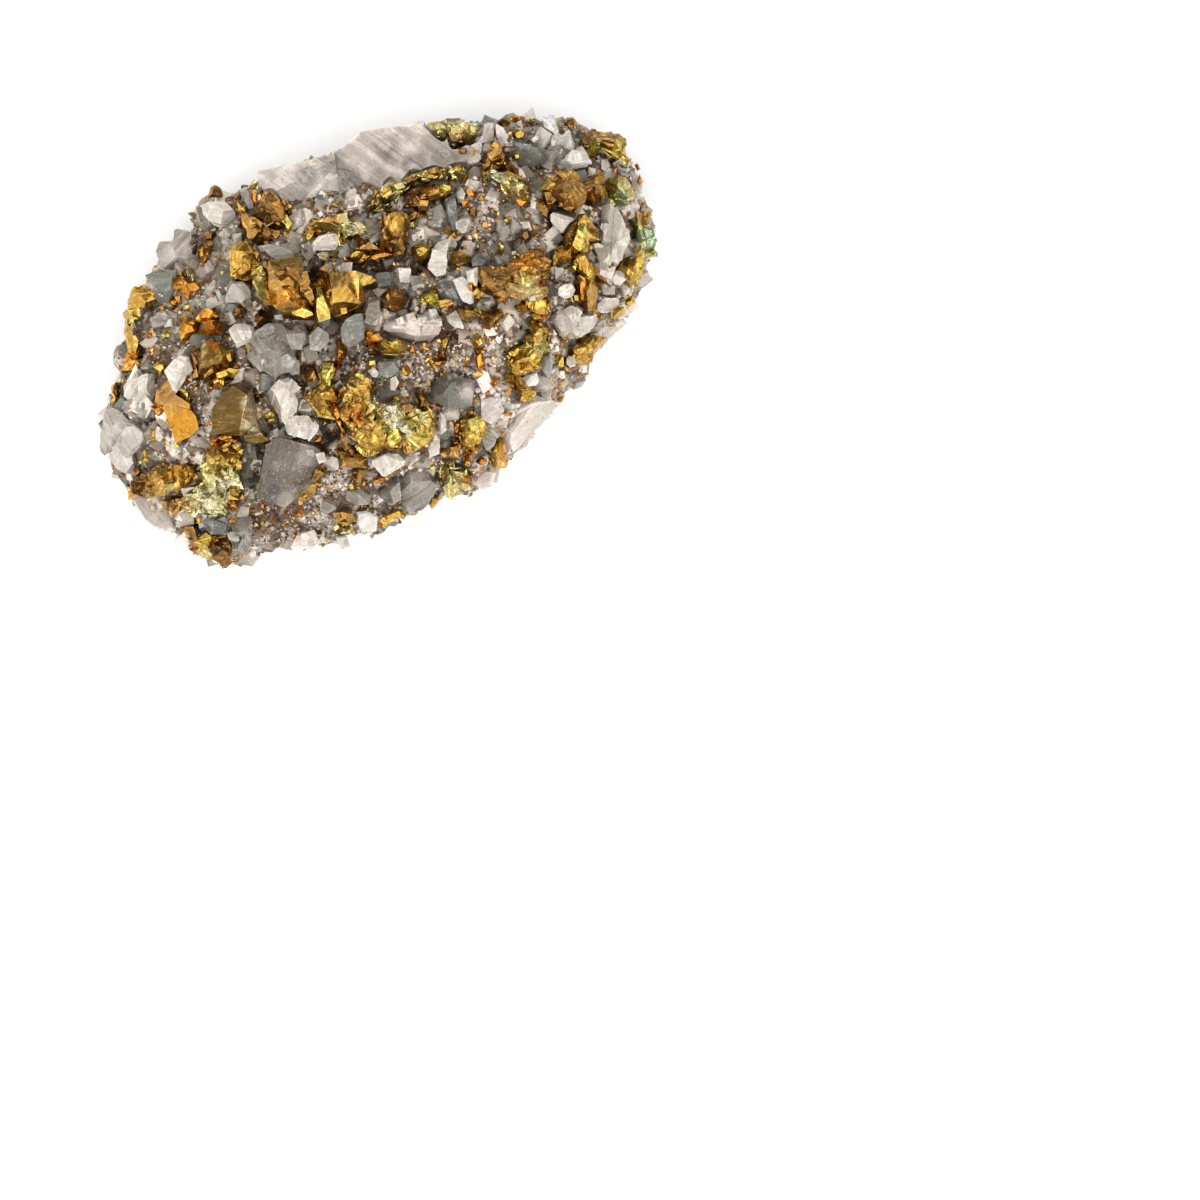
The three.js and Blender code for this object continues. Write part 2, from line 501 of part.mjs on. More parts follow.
    crystals: [
      [
        [19.6, 33.5, 0.8], [20.3, 32.4, 1.8], [20.9, 31.9, 3.0], [22.1, 33.6, 1.6], [22.2, 32.3, 1.8],
        [23.1, 32.7, 1.0],
      ],
    ],
  },
  {
    name: "chalcopyrite_west_edge",
    finish: BRASS,
    crystals: [
      [
        [12.6, 30.0, -0.4], [13.2, 28.5, 1.0], [15.0, 28.6, 1.6], [15.2, 29.3, 1.4], [14.5, 30.2, 1.6],
        [14.3, 31.0, 1.0], [12.8, 31.0, 0.0],
      ],
      [
        [12.1, 31.2, -0.4], [12.8, 30.8, 0.8], [13.9, 30.6, 1.2], [14.0, 31.6, 1.0], [13.1, 32.5, 0.6],
        [12.4, 32.7, -0.2],
      ],
      [
        [12.1, 33.1, -0.4], [12.4, 32.2, 0.4], [13.0, 32.6, 1.0], [13.8, 34.0, 1.0], [13.5, 35.7, 0.8],
        [12.8, 35.4, 0.2],
      ],
      [
        [12.0, 37.0, -0.5], [12.3, 35.6, 0.2], [12.7, 34.9, 0.8], [13.7, 35.2, 1.2], [14.3, 36.6, 0.9],
        [13.0, 37.0, 0.7],
      ],
    ],
  },
  {
    name: "chalcopyrite_foot",
    finish: BROWN_BRASS,
    crystals: [
      [
        [17.8, 53.0, -0.8], [18.2, 52.6, 0.2], [19.6, 52.6, 1.0], [19.8, 53.8, 1.0], [19.0, 54.2, 0.2],
        [17.9, 54.0, -1.0],
      ],
      [
        [17.9, 53.9, -1.0], [19.3, 53.8, 0.6], [20.1, 55.2, -0.2], [19.6, 55.7, -0.8], [18.7, 54.9, -1.2],
      ],
      [
        [19.1, 53.6, 0.8], [20.7, 53.2, 1.2], [21.5, 54.3, 0.8], [20.9, 55.2, 0.2], [19.9, 55.0, 0.2],
      ],
      [
        [19.9, 54.8, 0.0], [21.1, 54.4, 0.6], [21.1, 56.0, -0.8], [20.7, 56.2, -1.2], [20.0, 55.8, -1.0],
      ],
      [
        [21.2, 53.8, 1.4], [21.9, 53.4, 1.8], [22.9, 53.8, 1.6], [22.8, 54.7, 1.2], [22.3, 55.0, 0.8],
        [21.0, 54.8, 0.8],
      ],
      [
        [21.7, 54.6, 0.6], [22.8, 54.4, 0.9], [23.0, 55.6, -0.2], [23.0, 57.0, -1.6], [22.1, 56.9, -1.6],
        [21.4, 56.0, -1.0],
      ],
    ],
  },
  {
    name: "chalcopyrite_northwest",
    finish: OLIVE_BRASS,
    crystals: [
      [
        [25.9, 20.0, 0.8], [26.2, 19.3, 1.0], [27.1, 19.1, 1.4], [28.1, 20.0, 1.8], [28.8, 21.4, 1.8],
        [29.4, 22.9, 1.2], [29.0, 23.2, 0.8], [27.5, 23.0, 1.0], [26.2, 22.6, 1.0], [27.0, 20.4, 2.6],
        [28.2, 22.0, 2.4],
      ],
      [
        [24.0, 21.3, 0.4], [25.2, 21.6, 1.4], [26.4, 22.3, 2.0], [27.1, 23.2, 1.8], [26.8, 24.6, 1.2],
        [26.2, 24.7, 1.0], [25.2, 24.2, 0.8], [24.5, 23.5, 0.6],
      ],
    ],
  },
  {
    name: "chalcopyrite_west_peak",
    finish: BROWN_BRASS,
    crystals: [
      [
        [22.9, 27.7, 0.8], [23.6, 26.2, 1.6], [24.0, 25.4, 1.8], [24.6, 25.2, 2.4], [25.1, 25.3, 2.6],
        [25.2, 26.0, 2.9], [25.0, 28.0, 2.2], [24.4, 28.1, 2.0], [24.0, 27.2, 2.8],
      ],
    ],
  },
  {
    name: "chalcopyrite_pale_plate",
    finish: PALE_BRASS,
    crystals: [
      [
        [34.2, 22.5, 2.2], [35.7, 22.1, 2.6], [36.3, 22.3, 2.4], [36.9, 23.1, 1.8], [36.0, 23.7, 1.5],
        [34.9, 23.7, 1.8], [34.2, 23.4, 1.6],
      ],
      [
        [34.0, 23.2, 1.4], [34.9, 23.3, 1.8], [34.6, 24.2, 1.2], [34.4, 25.0, 0.9], [34.0, 25.0, 0.7],
      ],
      [
        [31.7, 22.2, 1.6], [32.5, 21.4, 1.8], [33.3, 21.2, 2.2], [34.4, 21.2, 2.4], [34.8, 21.2, 2.2],
        [34.7, 22.4, 2.4], [33.5, 22.4, 2.4], [32.0, 22.7, 1.2],
      ],
      [
        [30.9, 22.7, 0.6], [31.8, 22.3, 1.2], [34.0, 22.2, 1.8], [34.2, 23.6, 1.2], [31.2, 23.8, 0.5],
      ],
    ],
  },
  {
    name: "chalcopyrite_yellow_block",
    finish: BRASS,
    crystals: [
      [
        [44.9, 25.3, 1.4], [45.5, 25.0, 1.8], [46.6, 25.3, 1.8], [47.2, 25.8, 1.4], [47.2, 26.4, 0.9],
        [46.2, 26.6, 0.9], [45.2, 26.5, 1.0], [45.8, 25.6, 2.8], [46.6, 26.0, 2.3],
      ],
    ],
  },
  {
    name: "chalcopyrite_cube",
    finish: BROWN_BRASS,
    crystals: [
      [
        [41.3, 24.8, 1.6], [41.8, 24.4, 1.8], [42.6, 24.2, 1.8], [43.1, 24.5, 1.6], [43.0, 25.0, 2.0],
        [42.7, 25.9, 1.6], [42.1, 26.4, 1.0], [41.5, 26.2, 1.0], [42.2, 25.0, 2.8],
      ],
    ],
  },
  {
    name: "chalcopyrite_slab_pair",
    finish: PALE_BRASS,
    crystals: [
      [
        [42.6, 12.1, 3.0], [43.0, 11.9, 3.2], [44.6, 11.7, 3.2], [45.6, 11.9, 3.0], [45.4, 12.6, 3.8],
        [44.9, 13.2, 3.8], [44.3, 13.8, 3.0], [44.0, 13.8, 3.0], [43.4, 13.2, 3.2], [42.7, 12.6, 3.2],
        [44.0, 12.6, 4.3],
      ],
      [
        [44.6, 12.8, 3.0], [45.2, 12.2, 3.2], [45.8, 12.0, 3.2], [46.6, 12.1, 3.0], [47.3, 12.2, 2.8],
        [47.8, 12.4, 2.8], [48.0, 13.0, 2.6], [47.9, 13.4, 2.6], [47.4, 13.7, 3.0], [46.2, 14.4, 2.8],
        [45.5, 14.6, 2.6], [45.2, 14.3, 2.8], [46.6, 13.0, 4.3], [46.0, 13.8, 3.8],
      ],
    ],
  },
  {
    name: "chalcopyrite_edge_cluster",
    finish: PALE_BRASS,
    crystals: [
      [
        [38.0, 19.2, 2.4], [38.3, 18.6, 2.6], [39.0, 18.0, 2.6], [39.5, 18.2, 2.6], [39.8, 18.8, 2.4],
        [40.2, 19.2, 2.2], [39.9, 19.9, 2.0], [39.4, 20.4, 1.8], [38.5, 20.3, 2.0], [39.0, 19.2, 3.6],
      ],
      [
        [37.3, 20.4, 1.6], [37.8, 20.1, 2.0], [38.6, 20.1, 2.2], [38.1, 21.1, 1.4], [37.5, 21.1, 1.2],
      ],
      [
        [36.3, 21.2, 1.2], [36.7, 20.8, 1.6], [37.5, 20.5, 1.9], [37.7, 21.0, 1.7], [37.2, 21.8, 1.0],
        [36.6, 21.6, 1.0],
      ],
      [
        [39.9, 18.9, 2.2], [40.8, 17.5, 2.4], [41.3, 17.2, 2.6], [42.1, 17.3, 2.6], [42.3, 17.9, 2.4],
        [41.5, 18.6, 2.2], [40.1, 19.3, 2.0], [41.0, 18.0, 3.3],
      ],
      [
        [42.0, 17.3, 2.4], [42.5, 17.0, 2.6], [43.4, 16.9, 2.6], [44.6, 17.0, 2.6], [45.0, 17.3, 2.4],
        [44.3, 17.8, 2.0], [43.5, 18.0, 2.0], [42.1, 17.9, 2.2], [43.4, 17.4, 3.3],
      ],
      [
        [44.8, 17.0, 2.4], [45.5, 16.6, 2.6], [46.3, 16.6, 2.6], [46.9, 17.0, 2.4], [46.8, 17.6, 2.2],
        [46.5, 18.1, 1.8], [45.9, 18.0, 1.8], [44.9, 17.6, 2.2], [46.0, 17.2, 3.4],
      ],
    ],
  },
  {
    name: "chalcopyrite_fan",
    finish: OLIVE_BRASS,
    crystals: [
      [
        [40.2, 20.7, 1.2], [41.7, 19.1, 2.2], [42.0, 20.0, 2.8], [42.0, 21.0, 1.5], [41.1, 20.9, 1.1],
      ],
      [
        [41.9, 19.0, 2.0], [42.9, 18.4, 1.9], [42.9, 21.3, 1.0], [41.9, 21.3, 1.1], [42.3, 19.5, 2.7],
      ],
      [
        [42.7, 18.4, 1.6], [44.1, 18.4, 1.6], [44.1, 19.9, 1.1], [42.7, 19.9, 1.1], [43.4, 18.8, 2.5],
      ],
      [
        [43.8, 19.5, 1.9], [44.2, 19.3, 2.1], [44.2, 18.7, 2.4], [44.7, 18.3, 2.6], [45.0, 18.4, 2.5],
        [45.1, 19.0, 2.1], [44.6, 19.7, 1.5], [44.0, 19.8, 1.5],
      ],
    ],
  },
  {
    name: "chalcopyrite_north_olive",
    finish: OLIVE_BRASS,
    crystals: [
      [
        [48.5, 16.0, 1.6], [48.6, 15.0, 1.8], [48.9, 14.6, 2.0], [49.5, 14.0, 2.2], [50.0, 14.1, 2.4],
        [50.3, 15.2, 2.0], [50.5, 16.0, 1.6], [50.4, 16.5, 1.2], [49.7, 16.6, 1.0], [48.9, 16.6, 1.0],
        [49.4, 15.4, 3.5],
      ],
      [
        [48.0, 16.5, 1.2], [48.7, 15.6, 2.2], [49.3, 16.4, 1.6], [48.9, 18.0, 1.2], [48.7, 19.0, 0.8],
        [48.3, 18.9, 0.7],
      ],
    ],
  },
  {
    name: "chalcopyrite_orange_group",
    finish: BROWN_BRASS,
    crystals: [
      [
        [36.3, 33.2, 0.8], [37.1, 33.0, 1.2], [38.0, 33.4, 1.4], [38.1, 33.7, 1.4], [37.7, 34.2, 1.8],
        [37.0, 34.7, 1.8], [36.6, 34.6, 0.9],
      ],
      [
        [36.6, 34.4, 0.9], [37.0, 33.8, 1.6], [37.5, 34.1, 2.1], [37.8, 35.7, 1.0], [36.8, 35.3, 0.7],
      ],
      [
        [37.4, 34.8, 1.4], [37.9, 34.0, 1.9], [38.5, 33.9, 1.9], [38.7, 34.2, 1.9], [39.4, 34.7, 1.8],
        [38.8, 35.2, 1.6], [37.7, 35.4, 1.2], [38.2, 34.5, 3.0],
      ],
      [
        [37.7, 35.7, 0.8], [38.3, 35.0, 1.6], [39.2, 34.7, 1.9], [39.6, 34.4, 1.9], [40.3, 34.5, 1.9],
        [40.8, 34.6, 1.4], [40.7, 35.2, 1.2], [40.2, 35.8, 0.8], [39.0, 35.9, 0.6], [38.0, 35.9, 0.6],
        [39.4, 35.2, 2.8],
      ],
    ],
  },
  {
    name: "chalcopyrite_angular",
    finish: BROWN_BRASS,
    crystals: [
      [
        [38.0, 29.8, 1.0], [38.5, 29.2, 1.6], [39.1, 28.7, 2.2], [39.7, 28.9, 2.4], [40.5, 29.3, 2.0],
        [40.9, 29.8, 1.6], [40.5, 30.5, 1.2], [40.2, 31.0, 0.8], [39.2, 31.6, 0.6], [38.8, 31.4, 0.6],
        [38.2, 30.8, 0.8], [39.2, 29.8, 3.6], [40.2, 29.8, 2.8],
      ],
    ],
  },
  {
    name: "chalcopyrite_yellow_crumble",
    finish: BRASS,
    crystals: [
      [
        [42.0, 28.8, 1.0], [43.2, 28.6, 1.6], [43.5, 28.7, 1.6], [44.1, 29.8, 1.2], [44.2, 30.6, 0.8],
        [43.9, 30.8, 0.8], [42.0, 30.8, 0.8], [43.0, 29.4, 3.0], [42.6, 30.2, 2.6],
      ],
      [
        [43.8, 30.0, 1.6], [45.2, 30.0, 1.5], [45.5, 30.6, 0.9], [44.8, 31.0, 0.7], [43.9, 30.9, 1.0],
      ],
    ],
  },
  {
    name: "chalcopyrite_lens_pair",
    finish: BRASS,
    crystals: [
      [
        [45.7, 30.8, 0.8], [46.6, 30.7, 1.2], [48.0, 31.0, 1.4], [48.3, 31.4, 1.2], [47.7, 31.8, 0.9],
        [46.8, 32.2, 0.6], [46.1, 32.0, 0.6], [46.9, 31.3, 2.4],
      ],
      [
        [47.9, 31.6, 1.0], [48.7, 31.5, 1.4], [49.2, 31.0, 1.2], [50.0, 31.0, 1.0], [50.4, 31.3, 0.8],
        [49.8, 32.2, 0.8], [49.0, 33.0, 0.6], [48.5, 32.9, 0.5], [49.3, 31.8, 2.4],
      ],
    ],
  },
  {
    name: "calcite_slab",
    finish: LILAC_CALCITE,
    crystals: [
      [
        [25.7, 17.1, 0.2], [25.7, 18.5, 0.7], [27.0, 19.4, 1.0], [29.0, 21.5, 1.6], [31.2, 22.2, 1.8],
        [34.5, 20.9, 2.0], [35.0, 15.0, 0.9], [33.5, 15.2, 0.7], [29.7, 16.4, 0.4],
      ],
      [
        [33.4, 15.2, 0.2], [36.0, 13.2, 0.0], [42.0, 12.1, 0.4], [45.0, 12.0, 0.6], [47.9, 12.1, 0.6],
        [48.4, 14.0, 1.2], [48.0, 16.0, 1.7], [45.0, 16.7, 1.9], [39.0, 18.6, 1.9], [36.5, 20.5, 1.7],
        [34.0, 21.0, 1.5],
      ],
    ],
  },
  {
    name: "calcite_translucent_block",
    finish: GREY_CALCITE,
    crystals: [
      [
        [26.6, 44.2, 2.2], [27.3, 43.8, 2.5], [29.0, 44.1, 2.5], [30.0, 44.7, 2.5], [32.0, 45.0, 2.2],
        [32.2, 45.8, 2.1], [31.8, 48.0, 1.8], [30.0, 49.5, 1.4], [28.5, 50.8, 0.8], [25.7, 49.8, 1.0],
        [27.6, 45.6, 3.0],
      ],
    ],
  },
  {
    name: "calcite_white_knob",
    finish: WHITE_CALCITE,
    crystals: [
      [
        [26.6, 39.4, 1.4], [28.0, 38.0, 1.6], [28.9, 37.6, 1.6], [30.3, 38.8, 1.4], [30.0, 40.0, 1.6],
        [29.9, 41.3, 1.4], [29.0, 42.2, 1.2], [28.3, 42.4, 1.2], [27.5, 41.5, 1.2], [26.8, 40.5, 1.2],
        [28.4, 39.6, 3.0],
      ],
      [
        [28.3, 42.2, 1.4], [29.3, 41.7, 1.8], [30.8, 41.4, 1.6], [32.0, 42.5, 1.2], [31.8, 43.2, 1.0],
        [30.5, 44.6, 0.8], [29.5, 44.6, 0.8], [28.8, 43.7, 1.0], [30.0, 42.6, 2.2],
      ],
    ],
  },
  {
    name: "calcite_middle_west",
    finish: GREY_CALCITE,
    crystals: [
      [
        [25.6, 33.0, 1.2], [27.0, 32.4, 1.6], [28.5, 32.5, 1.6], [29.3, 33.2, 1.6], [29.2, 35.5, 1.6],
        [30.0, 36.4, 1.4], [30.0, 37.4, 1.0], [28.8, 37.4, 1.2], [27.6, 38.0, 1.0], [26.2, 37.2, 1.0],
        [25.0, 36.0, 1.0], [24.7, 34.6, 1.0], [27.2, 35.0, 2.9],
      ],
      [
        [28.6, 33.6, 1.4], [29.3, 32.8, 1.6], [30.0, 32.3, 1.6], [30.8, 32.7, 1.6], [31.2, 33.6, 1.8],
        [30.8, 34.5, 1.4], [30.0, 35.0, 1.2], [28.9, 34.8, 1.4], [29.9, 33.7, 3.0],
      ],
      [
        [30.7, 33.8, 1.4], [31.3, 33.2, 1.6], [32.2, 32.6, 1.6], [32.8, 32.8, 1.6], [33.6, 34.0, 1.2],
        [33.1, 34.6, 1.2], [32.2, 35.4, 1.0], [31.2, 35.2, 1.2], [31.9, 33.9, 3.0],
      ],
    ],
  },
  {
    name: "calcite_white_drift",
    finish: WHITE_CALCITE,
    crystals: [
      [
        [38.2, 33.0, 0.8], [38.3, 32.6, 1.0], [39.5, 32.3, 1.4], [40.7, 31.6, 1.4], [41.3, 31.6, 1.6],
        [42.0, 32.0, 1.8], [42.1, 33.5, 1.4], [41.0, 34.5, 0.8], [39.6, 33.7, 0.8], [40.6, 32.8, 2.3],
      ],
      [
        [41.8, 32.0, 1.8], [42.5, 31.6, 1.6], [42.8, 31.1, 1.4], [43.6, 31.0, 1.4], [44.5, 31.2, 1.2],
        [44.6, 31.8, 1.2], [44.0, 33.0, 1.0], [43.9, 33.6, 0.8], [42.8, 33.9, 0.8], [41.5, 34.3, 0.8],
        [43.0, 32.3, 2.5],
      ],
    ],
  },
  {
    name: "calcite_white_tooth",
    finish: WHITE_CALCITE,
    crystals: [
      [
        [43.2, 25.4, 1.6], [43.5, 24.6, 2.0], [43.9, 24.2, 2.2], [44.6, 24.2, 2.4], [45.2, 23.8, 2.2],
        [45.7, 23.8, 2.0], [46.0, 24.4, 1.8], [45.6, 25.0, 2.0], [44.9, 25.8, 2.0], [44.3, 25.0, 3.2],
      ],
      [
        [42.8, 25.9, 1.2], [43.3, 25.0, 2.0], [44.9, 25.4, 2.2], [44.8, 26.5, 1.4], [44.6, 27.5, 1.0],
        [43.5, 27.7, 1.0], [42.8, 27.0, 1.0],
      ],
    ],
  },
  {
    name: "calcite_green_block",
    finish: GREEN_CALCITE,
    crystals: [
      [
        [43.3, 40.0, 1.0], [43.0, 39.3, 1.0], [43.6, 38.5, 1.4], [43.7, 37.5, 1.4], [44.5, 37.1, 1.6],
        [45.5, 37.1, 1.8], [46.0, 37.5, 2.0], [46.5, 39.0, 2.4], [46.5, 40.9, 1.2], [44.8, 41.0, 1.0],
        [44.0, 40.4, 1.0], [44.9, 38.6, 2.8],
      ],
      [
        [45.8, 37.5, 1.8], [47.0, 38.0, 1.4], [48.0, 38.2, 1.0], [48.0, 39.0, 1.0], [47.8, 39.8, 0.9],
        [47.5, 40.5, 0.8], [46.6, 41.0, 0.8], [45.8, 41.0, 1.2], [46.3, 39.0, 2.4],
      ],
    ],
  },
  {
    name: "calcite_south_plate",
    finish: GREY_CALCITE,
    crystals: [
      [
        [39.8, 47.8, 1.2], [40.5, 46.4, 1.4], [41.5, 46.0, 1.6], [42.8, 46.8, 1.2], [43.3, 48.0, 0.8],
        [43.6, 49.0, 0.4], [43.2, 49.9, 0.0], [42.6, 50.8, -0.4], [41.2, 51.8, -0.8], [40.6, 50.8, 0.0],
        [39.8, 49.5, 0.8], [41.2, 48.2, 2.1],
      ],
      [
        [37.5, 47.8, 0.9], [38.5, 47.3, 1.2], [40.0, 47.5, 1.6], [40.2, 50.0, 0.9], [39.0, 51.0, 0.2],
        [37.8, 50.3, 0.4], [38.9, 48.8, 1.9],
      ],
    ],
  },
  {
    name: "calcite_southwest",
    finish: GREY_CALCITE,
    crystals: [
      [
        [22.5, 52.4, 0.6], [23.2, 51.6, 1.2], [25.0, 51.5, 1.4], [25.6, 52.4, 1.2], [25.2, 53.6, 1.0],
        [23.4, 53.6, 0.4], [24.0, 52.6, 2.2],
      ],
      [
        [23.4, 54.0, 0.4], [24.3, 53.2, 1.2], [25.1, 53.3, 1.3], [25.2, 54.8, 0.4], [24.5, 55.3, 0.0],
        [23.4, 55.6, -0.4],
      ],
    ],
  },
  {
    name: "calcite_west_tip",
    finish: GREY_CALCITE,
    crystals: [
      [
        [9.3, 43.7, -1.0], [9.7, 42.0, -0.6], [10.4, 40.9, 0.0], [11.2, 40.7, 0.6], [12.2, 41.1, 1.2],
        [12.9, 42.0, 1.4], [12.7, 43.2, 1.2], [11.0, 45.0, 0.0], [10.3, 45.7, -0.8], [9.8, 45.2, -1.0],
        [11.2, 42.6, 1.6],
      ],
      [
        [12.5, 42.2, 1.3], [13.3, 42.2, 1.4], [14.4, 43.2, 1.4], [14.5, 44.1, 1.2], [13.8, 44.9, 0.9],
        [12.8, 46.0, 0.4], [11.6, 45.4, 0.0], [11.0, 44.9, 0.0], [12.3, 43.2, 1.4], [13.0, 43.9, 2.0],
      ],
      [
        [10.6, 45.6, -0.4], [11.6, 44.6, 0.8], [13.2, 45.2, 1.2], [13.4, 46.8, 1.0], [12.9, 47.8, 0.2],
        [11.4, 46.9, -0.4],
      ],
    ],
  },
  {
    name: "calcite_west_pair",
    finish: WHITE_CALCITE,
    crystals: [
      [
        [12.1, 38.5, -0.4], [12.8, 37.6, 0.6], [13.8, 37.5, 1.2], [13.8, 40.3, 0.8], [12.8, 40.5, 0.2],
        [12.2, 39.7, -0.4],
      ],
      [
        [13.6, 37.6, 1.2], [15.0, 37.1, 1.4], [15.3, 38.0, 1.4], [15.2, 40.0, 0.8], [14.0, 40.6, 0.6],
        [13.6, 40.2, 0.8], [14.4, 38.6, 2.0],
      ],
    ],
  },
  {
    name: "calcite_west_block",
    finish: GREY_CALCITE,
    crystals: [
      [
        [15.2, 25.1, 0.2], [15.8, 24.1, 0.6], [17.2, 23.9, 1.4], [19.4, 24.3, 1.8], [19.6, 26.1, 1.6],
        [18.5, 26.7, 1.0], [16.1, 27.0, 0.2], [17.6, 25.2, 2.2],
      ],
      [
        [17.1, 24.3, 1.6], [17.3, 22.9, 0.9], [17.7, 22.7, 1.1], [19.1, 23.1, 1.6], [19.2, 24.8, 2.2],
        [18.2, 23.5, 2.3],
      ],
    ],
  },
  {
    name: "calcite_northwest_ridge",
    finish: WHITE_CALCITE,
    crystals: [
      [
        [19.0, 20.4, 0.2], [19.4, 20.1, 0.6], [20.8, 20.0, 2.4], [23.3, 20.3, 1.2], [23.3, 22.4, 0.9],
        [22.0, 22.6, 2.3], [20.5, 22.7, 0.8], [19.7, 22.1, 0.2],
      ],
    ],
  },
  {
    name: "calcite_white_round",
    finish: WHITE_CALCITE,
    crystals: [
      [
        [55.7, 16.2, 1.2], [56.2, 15.0, 1.4], [56.8, 14.7, 1.4], [57.7, 14.7, 1.4], [58.5, 15.0, 1.2],
        [59.2, 15.9, 0.9], [59.3, 16.4, 0.8], [58.8, 16.9, 0.8], [57.6, 17.1, 1.0], [56.2, 17.0, 1.2],
        [57.2, 15.6, 3.1], [58.0, 16.2, 2.7],
      ],
    ],
  },
  {
    name: "calcite_north_dark",
    finish: GREEN_CALCITE,
    crystals: [
      [
        [51.5, 14.2, 1.0], [53.0, 13.8, 1.4], [54.5, 14.1, 1.4], [55.0, 14.8, 1.2], [54.9, 16.0, 1.0],
        [54.5, 16.5, 0.8], [53.0, 16.8, 0.8], [51.4, 16.4, 0.8], [51.2, 15.2, 0.8], [53.0, 15.2, 2.6],
      ],
    ],
  },
  {
    name: "calcite_north_top",
    finish: LILAC_CALCITE,
    crystals: [
      [
        [53.8, 11.4, 0.2], [54.8, 11.1, 0.2], [55.6, 11.2, 0.4], [55.9, 12.2, 1.2], [55.9, 13.0, 1.6],
        [55.0, 13.2, 1.8], [54.2, 12.7, 1.4], [54.9, 12.3, 2.3],
      ],
      [
        [55.0, 13.2, 1.8], [55.9, 12.7, 1.8], [56.7, 13.3, 1.8], [56.5, 14.4, 1.2], [55.7, 14.9, 0.9],
        [55.3, 14.2, 1.2],
      ],
      [
        [56.4, 12.9, 1.6], [57.5, 12.6, 1.4], [58.0, 13.0, 1.0], [58.0, 14.2, 0.9], [57.2, 14.6, 0.9],
        [56.3, 14.4, 1.2], [57.0, 13.5, 2.4],
      ],
    ],
  },
  {
    name: "calcite_striped_rhomb",
    finish: WHITE_CALCITE,
    crystals: [
      [
        [54.7, 21.8, 1.2], [56.0, 20.6, 2.0], [57.3, 21.5, 1.8], [57.4, 22.0, 1.4], [56.8, 23.0, 1.2],
        [56.2, 23.4, 1.0], [55.6, 22.8, 1.0],
      ],
    ],
  },
  {
    name: "calcite_east_white",
    finish: WHITE_CALCITE,
    crystals: [
      [
        [60.1, 20.6, 0.9], [61.0, 20.3, 1.4], [62.0, 20.8, 1.4], [63.0, 21.3, 1.2], [63.4, 22.0, 1.0],
        [63.3, 23.2, 1.0], [62.8, 24.5, 1.0], [62.3, 25.5, 0.8], [61.9, 26.6, 0.6], [61.2, 26.2, 1.0],
        [61.5, 24.6, 2.2], [61.4, 22.6, 2.6],
      ],
      [
        [60.1, 22.2, 1.0], [61.4, 22.4, 2.0], [61.6, 24.6, 1.9], [61.3, 26.4, 1.0], [60.8, 27.2, 0.6],
        [59.9, 26.8, 0.8], [59.2, 26.0, 0.8], [59.2, 24.8, 1.0], [60.1, 24.3, 1.4],
      ],
    ],
  },
  {
    name: "calcite_east_face",
    finish: LILAC_CALCITE,
    crystals: [
      [
        [55.6, 32.2, 1.2], [55.7, 30.6, 1.2], [56.3, 30.3, 1.2], [57.5, 30.5, 1.2], [58.3, 31.2, 1.2],
        [57.1, 32.2, 1.9], [57.0, 34.3, 1.0], [55.7, 34.0, 0.8], [55.2, 33.0, 0.9],
      ],
      [
        [56.9, 32.1, 1.9], [58.4, 31.2, 1.2], [59.6, 31.3, 1.0], [60.5, 32.0, 0.0], [60.1, 33.0, -0.1],
        [59.0, 33.7, 0.4], [57.7, 34.3, 0.8], [56.8, 34.3, 1.0],
      ],
    ],
  },
  {
    name: "calcite_southeast_face",
    finish: LILAC_CALCITE,
    crystals: [
      [
        [49.2, 40.2, 1.4], [51.2, 40.3, 1.4], [53.5, 40.3, 0.8], [55.2, 40.0, 0.2], [55.8, 40.3, -0.4],
        [54.6, 41.9, -1.0], [53.0, 43.8, -1.2], [51.6, 45.2, -1.4], [50.9, 45.7, -1.4], [50.7, 44.0, 0.2],
        [49.3, 43.3, 1.0], [48.9, 42.0, 1.4],
      ],
    ],
  },
];

// Small calcite and chalcopyrite crystals fused to the rock: place, size, rise and turn.
const FUSED_RHOMBS = [
  { at: [14.2, 36.0], size: 1.1, rise: 1.2, turn: 20 },
  { at: [17.0, 37.8], size: 1.3, rise: 1.5, turn: 35 },
  { at: [16.0, 28.5], size: 1.2, rise: 1.3, turn: 10 },
  { at: [24.0, 29.6], size: 1.2, rise: 1.4, turn: 40 },
  { at: [35.4, 33.2], size: 1.3, rise: 1.9, turn: 15 },
  { at: [38.9, 46.4], size: 1.4, rise: 1.6, turn: 30 },
  { at: [36.6, 52.0], size: 1.1, rise: 1.0, turn: 25 },
  { at: [30.2, 53.8], size: 1.1, rise: 0.9, turn: 5 },
  { at: [46.0, 35.0], size: 1.2, rise: 1.3, turn: 15 },
  { at: [50.2, 13.3], size: 1.0, rise: 1.3, turn: 40 },
  { at: [62.2, 16.4], size: 1.1, rise: 1.4, turn: 55 },
  { at: [56.4, 29.0], size: 1.1, rise: 1.2, turn: 10 },
  { at: [57.0, 36.0], size: 1.1, rise: 1.1, turn: 50 },
];
const FUSED_SPHENOIDS = [
  { at: [21.2, 18.9], size: 0.9, rise: 1.4, turn: 0 },
  { at: [51.5, 11.9], size: 0.9, rise: 1.3, turn: 20 },
  { at: [34.6, 52.4], size: 1.0, rise: 1.4, turn: 5 },
  { at: [39.2, 51.8], size: 1.1, rise: 1.1, turn: 30 },
  { at: [47.5, 34.0], size: 1.0, rise: 1.2, turn: 20 },
  { at: [46.9, 20.6], size: 0.7, rise: 1.1, turn: 0 },
  { at: [61.6, 31.2], size: 0.9, rise: 1.0, turn: 25 },
  { at: [18.8, 28.9], size: 1.0, rise: 1.2, turn: 15 },
];
